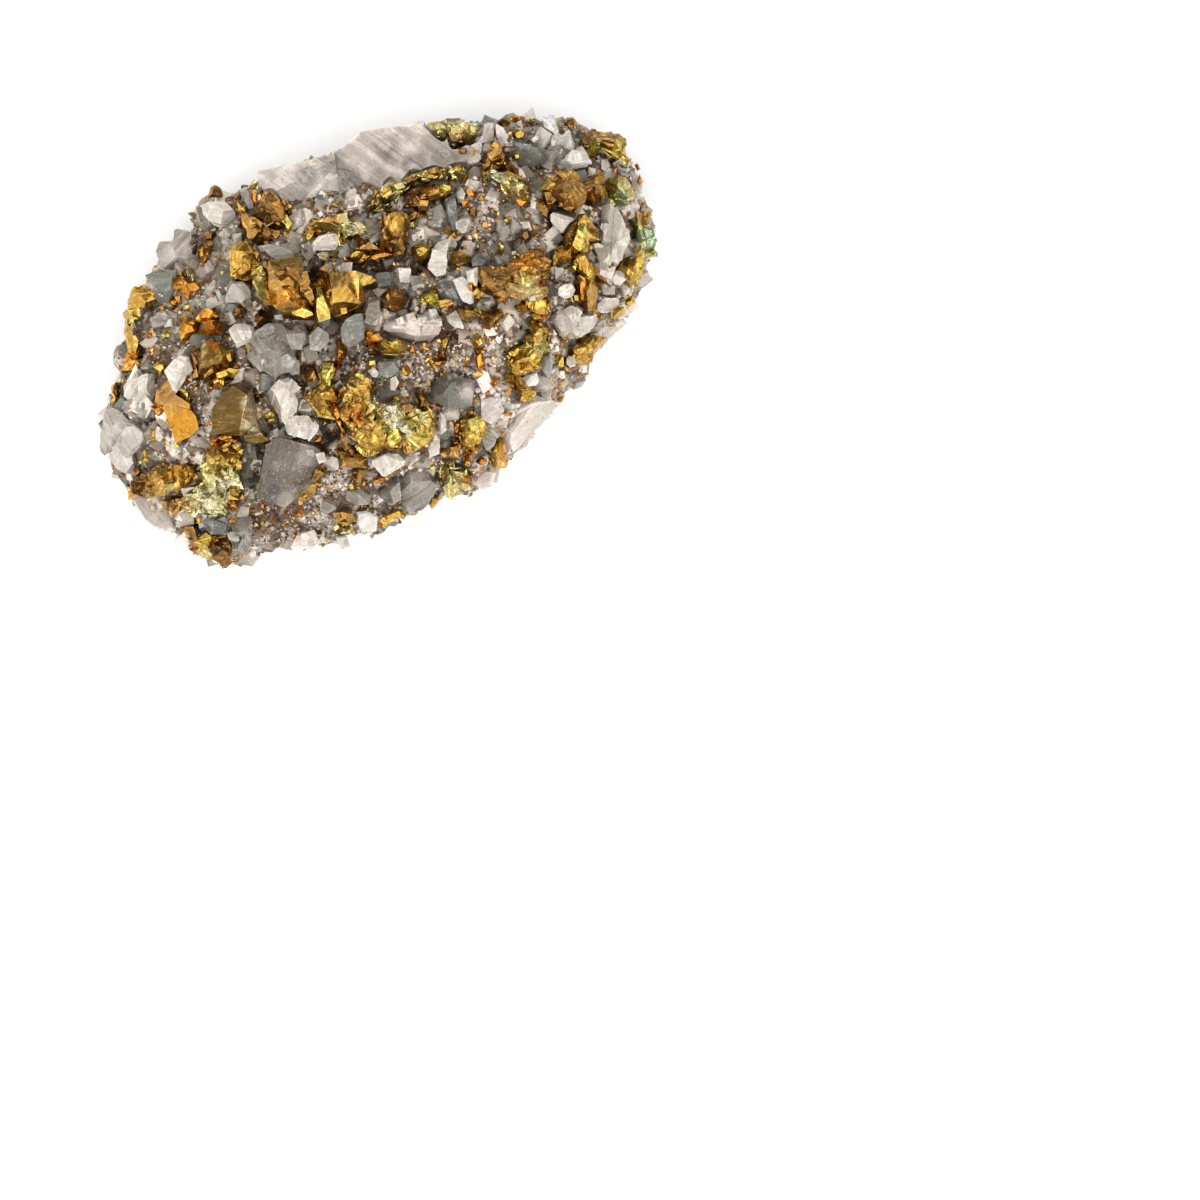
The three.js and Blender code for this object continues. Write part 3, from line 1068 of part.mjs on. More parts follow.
// Crystals on the flanks, in rows at shares of the height: how many, their size and first bearing.
const FLANK_ROWS = [
  { level: 0.62, count: 9, size: 1.9, start: 12 },
  { level: 0.4, count: 8, size: 2.4, start: 34 },
  { level: 0.24, count: 6, size: 1.7, start: 20 },
];

// The plan sheet's axes carried to the part's own: y turned over, heights kept.
function onPart(x, y, z) {
  return new THREE.Vector3(x - SHEET_CENTRE[0], SHEET_CENTRE[1] - y, z);
}

// How far the outline reaches from the rock's middle at a bearing, in radians on the plan sheet.
function outlineReach(bearing) {
  const along = [Math.cos(bearing), Math.sin(bearing)];
  let reach = 0;
  OUTLINE.forEach((start, index) => {
    const end = OUTLINE[(index + 1) % OUTLINE.length];
    const from = [start[0] - ROCK_MIDDLE[0], start[1] - ROCK_MIDDLE[1]];
    const edge = [end[0] - start[0], end[1] - start[1]];
    const across = along[0] * edge[1] - along[1] * edge[0];
    const distance = (from[0] * edge[1] - from[1] * edge[0]) / across;
    const share = (from[0] * along[1] - from[1] * along[0]) / across;
    if (distance > 0 && share >= 0 && share <= 1) reach = Math.max(reach, distance);
  });
  return reach;
}

// Share of the way from the rock's middle to its outline at a place on the plan sheet.
function shareOut(x, y) {
  const dx = x - ROCK_MIDDLE[0];
  const dy = y - ROCK_MIDDLE[1];
  return Math.hypot(dx, dy) / outlineReach(Math.atan2(dy, dx));
}

// Height of the rock's top at a place on the plan sheet.
function ground(x, y) {
  const share = Math.min(shareOut(x, y), 1);
  let height = MARGIN_HEIGHT + (CROWN_HEIGHT - MARGIN_HEIGHT) * (1 - share ** DOME_POWER);
  for (const { at, reach, rise } of RELIEF) {
    const distance = Math.hypot(x - at[0], y - at[1]) / reach;
    height += rise * Math.exp(-distance * distance);
  }
  return height;
}

function solidOf(geometry) {
  geometry.deleteAttribute("normal");
  geometry.deleteAttribute("uv");
  const merged = mergeVertices(geometry, 1e-4);
  return new wasm.Manifold(
    new wasm.Mesh({
      numProp: 3,
      vertProperties: new Float32Array(merged.attributes.position.array),
      triVerts: new Uint32Array(merged.index.array),
    }),
  );
}

function meshOf(solid, name, finish) {
  const mesh = solid.getMesh();
  const geometry = new THREE.BufferGeometry();
  geometry.setAttribute("position", new THREE.BufferAttribute(mesh.vertProperties, 3));
  geometry.setIndex(new THREE.BufferAttribute(mesh.triVerts, 1));
  geometry.computeVertexNormals();
  const made = new THREE.Mesh(geometry, new THREE.MeshStandardMaterial(finish));
  made.name = name;
  return made;
}

// The largest single body of a solid, which drops slivers that a cut has parted from it.
function largestBody(solid) {
  const bodies = solid.decompose();
  return bodies.reduce((best, body) => (body.volume() > best.volume() ? body : best));
}

// One ring of the rock: a share of the outline at each bearing, and a height at each place.
function ring(share, margin, height) {
  const points = [];
  for (let spoke = 0; spoke < ROCK_SPOKES; spoke++) {
    const bearing = (spoke / ROCK_SPOKES) * 2 * Math.PI;
    const reach = (outlineReach(bearing) - ROCK_INSET) * share(bearing) + margin;
    const x = ROCK_MIDDLE[0] + reach * Math.cos(bearing);
    const y = ROCK_MIDDLE[1] + reach * Math.sin(bearing);
    points.push(onPart(x, y, height(x, y)));
  }
  return points;
}

// Broken flanks pull in unevenly as they go down.
function flankShare(reach, level) {
  return (bearing) => {
    const waves = 0.6 * Math.sin(3 * bearing + 1) + 0.4 * Math.sin(7 * bearing + 2.2);
    return reach + 0.05 * (1 - level) * waves;
  };
}

// The rock's closed body, swelled outwards and upwards by a margin.
function rockBody(margin) {
  const rings = [];
  for (const share of TOP_RINGS) {
    rings.push(ring(() => share, margin * share, (x, y) => ground(x, y) + margin));
  }
  for (const { reach, level } of SIDE_RINGS) {
    const lift = level > 0 ? 0 : -margin;
    rings.push(ring(flankShare(reach, level), margin, (x, y) => ground(x, y) * level + lift));
  }
  const top = onPart(...ROCK_MIDDLE, ground(...ROCK_MIDDLE) + margin);
  const bottom = onPart(...ROCK_MIDDLE, -margin);
  const vertices = [top, ...rings.flat(), bottom];
  const last = vertices.length - 1;
  const faces = [];
  for (let spoke = 0; spoke < ROCK_SPOKES; spoke++) {
    const next = (spoke + 1) % ROCK_SPOKES;
    faces.push([0, 1 + next, 1 + spoke]);
    for (let row = 0; row < rings.length - 1; row++) {
      const upper = 1 + row * ROCK_SPOKES;
      const lower = upper + ROCK_SPOKES;
      faces.push([upper + spoke, upper + next, lower + next]);
      faces.push([upper + spoke, lower + next, lower + spoke]);
    }
    const lowest = 1 + (rings.length - 1) * ROCK_SPOKES;
    faces.push([last, lowest + spoke, lowest + next]);
  }
  const geometry = new THREE.BufferGeometry().setFromPoints(vertices);
  geometry.setIndex(faces.flat());
  return solidOf(geometry.toNonIndexed());
}

// The corners of a crystal: its crown above the rock, and below a few of its corners a root that
// narrows a little, or a lot at the rim, where the crystal leans out over the flank. With room,
// every corner moves out.
function crystalPoints(corners, sideRoom = 0, room = 0) {
  const middleX = corners.reduce((sum, corner) => sum + corner[0], 0) / corners.length;
  const middleY = corners.reduce((sum, corner) => sum + corner[1], 0) / corners.length;
  const level = ground(middleX, middleY);
  const points = [];
  const rootStep = Math.max(2, Math.floor(corners.length / ROOTS));
  corners.forEach(([x, y, rise], index) => {
    const distance = Math.hypot(x - middleX, y - middleY);
    const outX = ((x - middleX) / distance) * sideRoom;
    const outY = ((y - middleY) / distance) * sideRoom;
    points.push(onPart(x + outX, y + outY, level + rise + room));
    if (index % rootStep > 0) return;
    const taper = shareOut(x, y) > RIM_SHARE ? RIM_TAPER : ROOT_TAPER;
    const rootX = x + (middleX - x) * taper + outX;
    const rootY = y + (middleY - y) * taper + outY;
    const rootZ = Math.min(ground(x, y), level + rise) - ROOT_DEPTH;
    points.push(onPart(rootX, rootY, rootZ - room));
  });
  return points;
}

function hullOf(points) {
  return solidOf(new ConvexGeometry(points));
}

// A small calcite rhomb: a leaning block with a square plan.
function rhombPoints({ at, size, rise, turn }) {
  const points = [];
  const level = ground(...at);
  const lean = 0.25 * size;
  for (let corner = 0; corner < 4; corner++) {
    const bearing = THREE.MathUtils.degToRad(turn + 90 * corner);
    const x = at[0] + size * Math.cos(bearing);
    const y = at[1] + size * Math.sin(bearing);
    const cornerRise = rise * (corner < 2 ? 1 : 0.7);
    points.push(onPart(x + lean, y + lean, level + cornerRise));
    points.push(onPart(x, y, level - ROOT_DEPTH));
  }
  return points;
}

// A small chalcopyrite sphenoid: a wedge whose ridge runs between two low corners.
function sphenoidPoints({ at, size, rise, turn }) {
  const points = [];
  const level = ground(...at);
  for (let corner = 0; corner < 4; corner++) {
    const bearing = THREE.MathUtils.degToRad(turn + 90 * corner);
    const long = corner % 2 === 0;
    const x = at[0] + size * (long ? 1.1 : 0.8) * Math.cos(bearing);
    const y = at[1] + size * (long ? 1.1 : 0.8) * Math.sin(bearing);
    const ridge = long ? 0.45 : 0;
    const ridgeX = at[0] + (x - at[0]) * ridge;
    const ridgeY = at[1] + (y - at[1]) * ridge;
    points.push(onPart(x, y, level - 0.5 * ROOT_DEPTH));
    points.push(long ? onPart(ridgeX, ridgeY, level + rise) : onPart(x, y, level + 0.4 * rise));
  }
  return points;
}

// A crystal on the flank: a blunt octahedron half sunk in the side of the rock.
function flankPoints(bearing, level, size) {
  const reach = (outlineReach(bearing) - ROCK_INSET) * (0.88 + 0.14 * level) - 0.25 * size;
  const x = ROCK_MIDDLE[0] + reach * Math.cos(bearing);
  const y = ROCK_MIDDLE[1] + reach * Math.sin(bearing);
  const middle = onPart(x, y, ground(x, y) * level);
  const outwards = onPart(x + Math.cos(bearing), y + Math.sin(bearing), middle.z).sub(middle);
  const sideways = new THREE.Vector3(-outwards.y, outwards.x, 0);
  const points = [];
  for (const side of [-1, 1]) {
    points.push(middle.clone().addScaledVector(sideways, side * size));
    points.push(middle.clone().addScaledVector(outwards, side * size * 0.8));
    points.push(middle.clone().add(new THREE.Vector3(0, 0, side * size * 0.9)));
    const shoulder = middle.clone().addScaledVector(sideways, side * size * 0.6);
    points.push(shoulder.addScaledVector(outwards, 0.55 * size));
  }
  return points;
}

function flankRow({ level, count, size, start }) {
  const crystals = [];
  for (let index = 0; index < count; index++) {
    const bearing = THREE.MathUtils.degToRad(start + (index * 360) / count);
    const uneven = Math.sin(5 * bearing + start);
    crystals.push(flankPoints(bearing, level + 0.06 * uneven, size * (1 + 0.25 * uneven)));
  }
  return crystals;
}

const part = new THREE.Group();
part.rotation.z = SHEET_TURN;

// Crystals first: each keeps clear of the rock below it and of the crystals placed before it.
const rockRoom = rockBody(CLEARANCE);
const rooms = [];
for (const { name, finish, crystals } of CRYSTALS) {
  const hulls = crystals.map((corners) => hullOf(crystalPoints(corners)));
  let solid = wasm.Manifold.union(hulls).subtract(rockRoom);
  for (const room of rooms) solid = solid.subtract(room);
  part.add(meshOf(largestBody(solid), name, finish));
  const roomy = crystals.map((corners) => hullOf(crystalPoints(corners, SIDE_ROOM, CLEARANCE)));
  rooms.push(...roomy);
}

// Then the rock, with what is fused to it kept clear of every crystal.
const fused = [
  ...FUSED_RHOMBS.map(rhombPoints),
  ...FUSED_SPHENOIDS.map(sphenoidPoints),
  ...FLANK_ROWS.flatMap(flankRow),
];
const grown = wasm.Manifold.union(fused.map(hullOf)).subtract(wasm.Manifold.union(rooms));
part.add(meshOf(largestBody(rockBody(0).add(grown)), "matrix", ROCK));

export default part;
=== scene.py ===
"""Looks of a chalcopyrite and calcite hand specimen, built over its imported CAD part.

Lengths are millimetres in the part's frame until a mesh is written, which is in metres. Places on
the top of the specimen are given on its plan sheet, as in the CAD: x runs right and y runs down.
"""

import itertools
import json
import math

import bmesh
import bpy
import numpy as np
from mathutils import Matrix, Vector
from mathutils.bvhtree import BVHTree


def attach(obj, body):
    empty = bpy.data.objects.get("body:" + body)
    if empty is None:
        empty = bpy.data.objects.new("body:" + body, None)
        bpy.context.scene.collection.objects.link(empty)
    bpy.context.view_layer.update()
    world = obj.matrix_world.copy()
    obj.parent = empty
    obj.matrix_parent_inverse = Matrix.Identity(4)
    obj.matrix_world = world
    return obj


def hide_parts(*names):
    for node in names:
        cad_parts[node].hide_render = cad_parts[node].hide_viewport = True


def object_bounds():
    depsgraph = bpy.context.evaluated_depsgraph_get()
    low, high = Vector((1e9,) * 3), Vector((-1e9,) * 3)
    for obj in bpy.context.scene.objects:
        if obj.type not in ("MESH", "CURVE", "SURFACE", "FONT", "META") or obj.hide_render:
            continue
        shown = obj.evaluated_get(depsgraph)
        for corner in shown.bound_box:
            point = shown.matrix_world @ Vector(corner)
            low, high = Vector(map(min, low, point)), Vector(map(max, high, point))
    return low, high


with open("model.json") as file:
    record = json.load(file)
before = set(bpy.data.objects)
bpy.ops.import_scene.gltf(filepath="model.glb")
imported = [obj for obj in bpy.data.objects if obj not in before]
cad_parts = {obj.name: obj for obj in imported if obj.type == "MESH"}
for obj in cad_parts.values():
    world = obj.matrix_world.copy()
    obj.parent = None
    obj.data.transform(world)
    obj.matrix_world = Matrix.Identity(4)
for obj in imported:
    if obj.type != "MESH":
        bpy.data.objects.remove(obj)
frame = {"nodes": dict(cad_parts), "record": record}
cad_low, cad_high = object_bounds()

MM = 0.001

# The plan sheet: its place over the part, its turn, its side, and the box that the specimen takes.
SHEET_CENTRE = np.array([37.79, 32.09])
SHEET_TURN = math.radians(-31)
SHEET_MATRIX = np.array([
    [math.cos(SHEET_TURN), -math.sin(SHEET_TURN)], [math.sin(SHEET_TURN), math.cos(SHEET_TURN)],
])
SHEET_SIZE = 120.0
SHEET_LOW, SHEET_HIGH = np.array([9.0, 11.0]), np.array([66.3, 57.3])

# A height over everything, from which rays look down.
SKY = 60
DOWN = Vector((0, 0, -1))

# Fineness of the meshes: the rock's spacing, and how often an edge may be halved.
ROCK_VOXEL = 0.28
MOST_REFINEMENTS = 8

# From which angle between two faces, in degrees, their edge is sharp.
CREASES = {"calcite": 14, "chalcopyrite": 22}
ROCK_CREASE = 30
GRAIN_CREASE = 20

# How near a crystal's underside has to be to the rock to be let down into it, and how deep.
SEAT_REACH = 0.5
SEAT_DEPTH = 1.4

# Faces of a crystal: which share of the cuts goes across corners, how far a cut may reach, how much
# a cut top leans, and the width of the riser between two growth bands.
CORNER_CUTS = 0.4
CUT_REACH = 2.2
TOP_LEAN = 0.12
RISER = 0.05

# How much brighter a sharp edge is, partly for wear and white cleavage edges and partly as a
# painted highlight, and the brightest tone.
EDGE_WEAR_AND_HIGHLIGHT = 0.3
BRIGHTEST = 0.92

# Small crystals: how much they lean, the width and depth of their root under the outline, and how
# high they stand where there is no ground under their middle.
SMALL_LEAN = 0.22
ROOT_SHARE = 0.6
ROOT_DEPTH = 1.2
EDGE_SEAT = 9.0

# Corners of a plain block, and how far they lean in a cleavage piece.
BOX_CORNERS = np.array(list(itertools.product((-1, 1), repeat=3)))
RHOMB_LEAN = 0.28

# The rock: sizes of its blocks, its crevice round each crystal, how far it may rise, and the height
# over which its relief fades in from the flat base.
COARSE_BLOCK = 2.3
FINE_BLOCK = 0.95
FLANK_BLOCK = 4.2
CREVICE_WIDTH = 0.55
CREVICE_DEPTH = 0.7
HIGHEST_LIFT = 0.3
BASE_FADE = 1.5

# Where crystals and grains stand on the broken sides: between which heights, and how steep it has
# to be, as the upward part of the face's direction.
FLANK_FOOT, FLANK_TOP = 2.0, 8.0
FLANK_SLOPE = 0.55

# Crystals and grains on the sides stay within this box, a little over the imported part's own.
BOX_LOW = np.array(cad_low) / MM - (0.3, 0.3, 0.0)
BOX_HIGH = np.array(cad_high) / MM + 0.3

# Grains: how many shapes there are of a kind, how crowded a patch has to be to keep others out, and
# the lowest place on the top and the lowest height of their points.
GRAIN_SEED = 77
GRAIN_SHAPES = 14
FULL_CROWD = 11
LOWEST_TOP = 5
GRAIN_FLOOR = 0.05

CALCITE_IOR = 1.56

# The stage and the camera, in metres. The sheet's scale holds at a height a little under the top.
FLOOR_SIZE = 3.0
FLOOR_DROP = 0.0001
LIGHT_TARGET = Vector((0.0, 0.0, 0.012))
LIGHT_DISTANCE = 0.7
WORLD_STRENGTH = 0.28
CAMERA_HEIGHT = 1.5
SCALE_LEVEL = 0.014
SENSOR_WIDTH = 36.0

# Softboxes: name, bearing and elevation, width and height, and radiance.
LIGHTS = [
    ("south_box", 160, 42, (1.10, 0.95), 1.7),
    ("west_box", 262, 36, (0.95, 0.88), 2.0),
    ("east_box", 62, 38, (0.66, 0.64), 1.7),
    ("top_box", 0, 86, (0.72, 0.64), 1.5),
]

# Colours of the minerals, as they look on a screen, 0 to 255. On the chalcopyrite the lighter
# tones (highlight, bright, pale) stand partly for painted highlights, and the darker ones (olive,
# brown, bronze) partly for painted shade. The stain, dark rock and dark calcite tones serve both
# as real colours and as painted shade.
TONES = {
    "highlight": (255, 235, 192),
    "bright": (255, 210, 114),
    "gold": (236, 188, 92),
    "orange": (232, 160, 70),
    "olive": (190, 148, 82),
    "brown": (160, 122, 70),
    "ochre": (178, 128, 48),
    "bronze": (126, 99, 52),
    "pale": (246, 218, 150),
    "copper": (186, 134, 100),
    "green": (224, 212, 138),
    "teal": (192, 226, 186),
    "grey_calcite": (160, 152, 138),
    "green_calcite": (122, 121, 108),
    "white_calcite": (220, 209, 194),
    "lilac_calcite": (236, 221, 210),
    "dark_calcite": (84, 81, 73),
    "rock": (126, 113, 96),
    "pale_rock": (212, 200, 188),
    "dark_rock_and_shade": (62, 54, 46),
    "smoky": (84, 71, 49),
    "snow": (242, 234, 222),
    "stain": (112, 78, 46),
    "crumb": (96, 70, 46),
    "veil": (112, 103, 94),
    "sugar": (224, 208, 196),
}
SLOT_TONES = {
    "brass_yellow": "gold",
    "olive_brass": "olive",
    "pale_brass": "pale",
    "brown_brass": "brown",
    "green_tarnish": "green",
    "grey_calcite": "grey_calcite",
    "green_calcite": "green_calcite",
    "white_calcite": "white_calcite",
    "lilac_calcite": "lilac_calcite",
    "rock": "rock",
}

# Chalcopyrite of each kind: roughness, how tarnished it is, and how deep its wrinkles are.
CHALCOPYRITES = {
    "brass_yellow": (0.22, 0.35, 0.030),
    "olive_brass": (0.25, 0.30, 0.016),
    "pale_brass": (0.22, 0.30, 0.034),
    "brown_brass": (0.26, 0.40, 0.030),
    "green_tarnish": (0.34, 0.40, 0.035),
}
# Calcite of each kind: how much light goes through it, roughness, how thick its veils are, how long
# its streaks are, and how much it mirrors.
CALCITES = {
    "grey_calcite": (0.45, 0.14, 0.70, 2.5, 0.5),
    "green_calcite": (0.50, 0.14, 0.50, 2.5, 0.5),
    "smoky_calcite": (0.10, 0.26, 0.50, 2.5, 0.15),
    "white_calcite": (0.20, 0.22, 0.70, 2.5, 0.5),
    "lilac_calcite": (0.22, 0.22, 0.60, 7.0, 0.5),
}
# Rock and grains: roughness, the tint of their darker mottles, and 1 for metal.
GROUNDS = {
    "rock": (0.62, (0.50, 0.47, 0.44), 0.0),
    "calcite_grain": (0.34, (0.62, 0.61, 0.60), 0.0),
    "chalcopyrite_grain": (0.32, (0.45, 0.33, 0.22), 1.0),
    "crumb": (0.6, (0.45, 0.40, 0.38), 0.0),
    "sugar": (0.48, (0.70, 0.64, 0.60), 0.0),
}

# Tarnish and fresh faces on the chalcopyrite, with painted highlights on facets that catch the
# light and painted shade on those that face away from it: x, y, reach and tone.
CHALCOPYRITE_SPOTS = [
    (20.8, 32.4, 1.6, "orange"), (22.4, 32.6, 0.9, "olive"), (22.8, 35.8, 1.2, "gold"),
    (17.5, 46.6, 1.2, "orange"), (19.0, 48.0, 0.9, "gold"), (42.0, 25.2, 1.1, "gold"),
    (38.6, 29.2, 0.7, "gold"), (39.2, 30.8, 0.8, "gold"), (57.9, 27.0, 1.6, "gold"),
    (58.8, 28.3, 1.0, "gold"), (39.5, 35.1, 0.9, "bright"), (24.0, 26.7, 1.6, "gold"),
    (26.0, 29.2, 1.3, "bright"), (28.5, 29.9, 0.9, "orange"), (30.5, 31.2, 0.8, "orange"),
    (32.4, 30.2, 1.1, "bright"), (34.8, 29.9, 1.3, "gold"), (36.3, 28.1, 1.2, "bright"),
    (25.2, 40.4, 1.0, "highlight"), (25.6, 42.4, 1.1, "highlight"), (39.2, 41.5, 1.0, "highlight"),
    (36.3, 39.5, 2.0, "gold"), (37.2, 43.8, 2.2, "gold"), (34.4, 43.6, 1.0, "brown"),
    (40.9, 41.0, 0.9, "olive"), (42.6, 43.6, 1.4, "gold"), (39.6, 44.6, 1.2, "orange"),
    (35.6, 41.5, 1.3, "orange"), (38.4, 38.2, 1.0, "gold"), (16.5, 48.3, 1.6, "gold"),
    (17.1, 48.8, 0.6, "pale"), (22.0, 45.2, 1.6, "gold"), (23.6, 46.0, 1.2, "gold"),
    (17.6, 50.8, 1.2, "olive"), (18.0, 42.3, 1.7, "ochre"), (17.0, 39.6, 1.9, "brown"),
    (20.2, 34.7, 0.8, "pale"), (20.4, 33.0, 0.9, "orange"), (22.0, 33.3, 0.9, "olive"),
    (18.9, 54.8, 0.7, "copper"), (20.3, 54.2, 0.8, "gold"), (20.6, 55.3, 0.6, "pale"),
    (59.2, 13.8, 1.1, "brown"), (61.2, 13.3, 0.7, "brown"), (59.4, 14.6, 0.8, "bright"),
    (61.9, 15.0, 0.9, "bright"), (60.6, 14.4, 0.4, "brown"), (62.3, 19.6, 0.7, "teal"),
    (63.3, 19.2, 0.4, "gold"), (64.4, 21.5, 0.8, "olive"), (64.7, 23.8, 1.1, "teal"),
    (63.6, 26.8, 1.6, "gold"), (49.2, 28.6, 1.5, "brown"), (52.5, 26.1, 1.4, "orange"),
    (53.0, 28.9, 1.5, "pale"), (54.8, 27.0, 0.6, "gold"), (53.3, 31.0, 1.2, "gold"),
    (58.3, 24.0, 1.2, "bright"), (56.9, 23.3, 0.7, "brown"), (56.2, 25.7, 0.8, "gold"),
    (59.5, 22.9, 0.7, "olive"), (59.3, 19.8, 0.5, "orange"), (51.2, 18.8, 1.1, "pale"),
    (51.3, 17.4, 0.8, "gold"), (52.6, 20.3, 0.8, "olive"), (49.5, 17.5, 0.8, "highlight"),
    (39.5, 22.0, 0.9, "gold"), (37.0, 25.3, 1.2, "brown"), (39.0, 19.5, 0.5, "highlight"),
    (43.4, 17.4, 0.8, "gold"), (41.0, 20.0, 0.8, "brown"), (44.6, 19.0, 0.7, "bright"),
    (47.0, 47.9, 0.8, "orange"), (50.3, 45.1, 0.9, "orange"), (37.2, 33.8, 0.8, "orange"),
    (38.5, 34.5, 0.6, "gold"), (43.2, 29.5, 0.9, "bright"),
    (46.1, 14.0, 0.8, "olive"), (32.4, 40.3, 1.7, "gold"), (12.8, 32.0, 0.6, "pale"),
    (28.8, 21.7, 0.7, "bright"), (28.3, 20.5, 0.7, "orange"), (35.3, 23.0, 0.8, "highlight"),
    (33.2, 21.8, 0.9, "olive"), (39.6, 30.0, 0.7, "orange"),
    (13.0, 36.0, 1.2, "orange"), (48.9, 31.9, 0.8, "brown"), (47.4, 42.8, 1.0, "bright"),
    (22.6, 48.6, 1.3, "highlight"), (20.6, 50.2, 1.2, "highlight"), (23.2, 50.4, 1.0, "pale"),
    (39.9, 43.0, 1.0, "highlight"), (37.6, 40.2, 0.7, "highlight"), (41.6, 42.2, 0.9, "pale"),
    (46.4, 45.6, 0.9, "orange"), (51.6, 38.8, 1.0, "olive"), (53.8, 34.6, 1.0, "pale"),
]
# Veils and darker bands in the calcite. The two dark calcite spots west of the translucent
# block are painted shade on the wall of the recess beside it.
CALCITE_SPOTS = [
    (26.8, 18.2, 1.6, "sugar"), (29.0, 20.4, 1.7, "sugar"), (44.0, 12.6, 1.4, "white_calcite"),
    (31.4, 21.4, 1.3, "white_calcite"), (30.4, 17.6, 1.2, "veil"), (33.4, 16.0, 1.5, "veil"),
    (38.8, 15.0, 1.3, "veil"), (41.6, 16.4, 1.4, "veil"), (44.2, 15.6, 1.3, "veil"),
    (34.9, 17.8, 1.4, "veil"), (36.4, 19.4, 1.2, "veil"), (32.6, 19.6, 1.0, "grey_calcite"),
    (38.4, 14.6, 0.6, "white_calcite"), (39.8, 15.7, 0.6, "white_calcite"),
    (41.2, 16.8, 0.6, "white_calcite"), (37.6, 17.6, 0.9, "grey_calcite"),
    (43.5, 14.2, 1.4, "grey_calcite"), (46.0, 15.6, 1.2, "grey_calcite"),
    (28.2, 39.5, 1.6, "white_calcite"), (26.2, 37.6, 1.3, "lilac_calcite"),
    (30.6, 43.4, 1.0, "lilac_calcite"), (27.2, 36.5, 1.4, "grey_calcite"),
    (61.0, 24.3, 0.9, "grey_calcite"), (46.6, 39.2, 0.9, "lilac_calcite"),
    (44.8, 39.0, 1.0, "green_calcite"), (36.2, 33.0, 1.2, "green_calcite"),
    (53.5, 42.0, 2.4, "pale_rock"), (55.0, 40.8, 1.4, "white_calcite"),
    (41.5, 48.0, 1.2, "white_calcite"), (10.8, 42.4, 2.2, "white_calcite"),
    (12.9, 43.8, 1.8, "white_calcite"), (12.0, 46.2, 1.6, "lilac_calcite"),
    (17.5, 25.2, 1.4, "lilac_calcite"), (21.2, 21.4, 1.6, "white_calcite"),
    # Painted shade: the dark calcite spots here darken the recess beside the translucent block.
    (27.4, 48.6, 1.3, "dark_calcite"), (29.0, 46.2, 1.4, "veil"), (30.8, 45.6, 1.2, "grey_calcite"),
    (28.4, 50.0, 0.9, "grey_calcite"), (26.6, 45.6, 0.9, "dark_calcite"),
]
# Tones of the bare rock and of the grains that lie on it. Most of the dark rock spots lie in the
# hollows and cavities between the crystals, where they are painted shade.
ROCK_SPOTS = [
    (54.0, 41.0, 4.0, "pale_rock"), (49.5, 37.0, 1.6, "pale_rock"), (14.5, 51.0, 2.4, "pale_rock"),
    (61.5, 33.5, 2.2, "pale_rock"), (49.0, 42.0, 2.0, "pale_rock"), (64.0, 18.5, 1.8, "pale_rock"),
    (65.5, 27.0, 1.6, "pale_rock"), (49.0, 48.8, 1.8, "pale_rock"),
    (53.5, 15.0, 2.2, "dark_calcite"), (50.5, 22.5, 2.6, "dark_calcite"),
    (44.8, 21.5, 1.8, "dark_calcite"), (49.0, 27.0, 3.0, "green_calcite"),
    (38.0, 26.8, 2.0, "dark_calcite"), (27.0, 52.0, 2.6, "stain"), (25.0, 47.0, 1.6, "dark_rock_and_shade"),
    (31.0, 42.9, 1.5, "dark_rock_and_shade"), (33.0, 43.8, 1.2, "dark_rock_and_shade"), (45.2, 33.2, 1.4, "stain"),
    (43.0, 35.5, 2.4, "stain"), (31.2, 28.0, 1.2, "dark_rock_and_shade"), (37.8, 39.6, 1.2, "dark_rock_and_shade"),
    (16.5, 35.0, 1.6, "stain"), (19.2, 39.0, 1.4, "stain"), (45.5, 46.3, 1.0, "dark_rock_and_shade"),
    (24.5, 37.3, 1.4, "stain"), (56.0, 22.0, 1.6, "dark_rock_and_shade"), (41.8, 26.8, 1.4, "dark_rock_and_shade"),
    (20.0, 29.5, 2.5, "green_calcite"), (24.0, 30.0, 2.0, "green_calcite"),
    (36.4, 47.6, 1.2, "stain"), (19.5, 27.5, 2.0, "stain"), (34.0, 50.5, 1.6, "stain"),
    (23.0, 43.5, 1.2, "dark_rock_and_shade"),
    (33.4, 47.4, 1.8, "pale_rock"), (20.4, 41.6, 1.5, "pale_rock"), (45.5, 37.0, 1.5, "pale_rock"),
    (27.6, 37.4, 0.9, "pale_rock"), (47.6, 21.8, 1.4, "pale_rock"), (31.6, 51.8, 1.4, "pale_rock"),
]

# Hollows between the crystals: x, y, reach and depth.
ROCK_HOLLOWS = [
    (27.8, 42.8, 0.9, 1.6), (32.9, 43.0, 1.0, 1.6), (31.3, 27.6, 0.7, 1.6), (33.3, 32.4, 0.9, 1.4),
    (26.2, 45.4, 0.9, 1.4), (25.6, 48.2, 0.8, 1.2), (25.7, 39.6, 0.7, 1.2), (36.2, 26.9, 0.9, 1.2),
    (38.4, 26.4, 0.9, 1.2), (41.3, 26.8, 0.9, 1.2), (40.6, 30.6, 0.8, 1.2), (27.3, 31.3, 0.7, 1.2),
    (30.6, 26.2, 0.7, 1.0), (14.6, 42.2, 0.9, 1.2), (27.7, 51.1, 0.9, 1.0), (18.8, 53.1, 0.7, 1.0),
    (45.4, 33.4, 0.8, 1.0), (30.6, 38.3, 0.7, 1.0), (52.0, 24.1, 1.0, 1.2), (14.6, 46.6, 0.6, 0.9),
    (35.1, 36.0, 0.7, 1.0), (46.0, 24.0, 0.8, 1.0), (22.6, 29.2, 0.8, 0.9), (55.4, 21.6, 0.9, 1.0),
]

# Minerals of the rock's crowded blocks, and the share of the blocks each one ends at.
ROCK_BLOCKS = [
    ("grey_calcite", 0.28), ("green_calcite", 0.44), ("lilac_calcite", 0.53), ("stain", 0.72),
    ("rock", 0.86), ("dark_calcite", 0.94), ("white_calcite", 1.0),
]

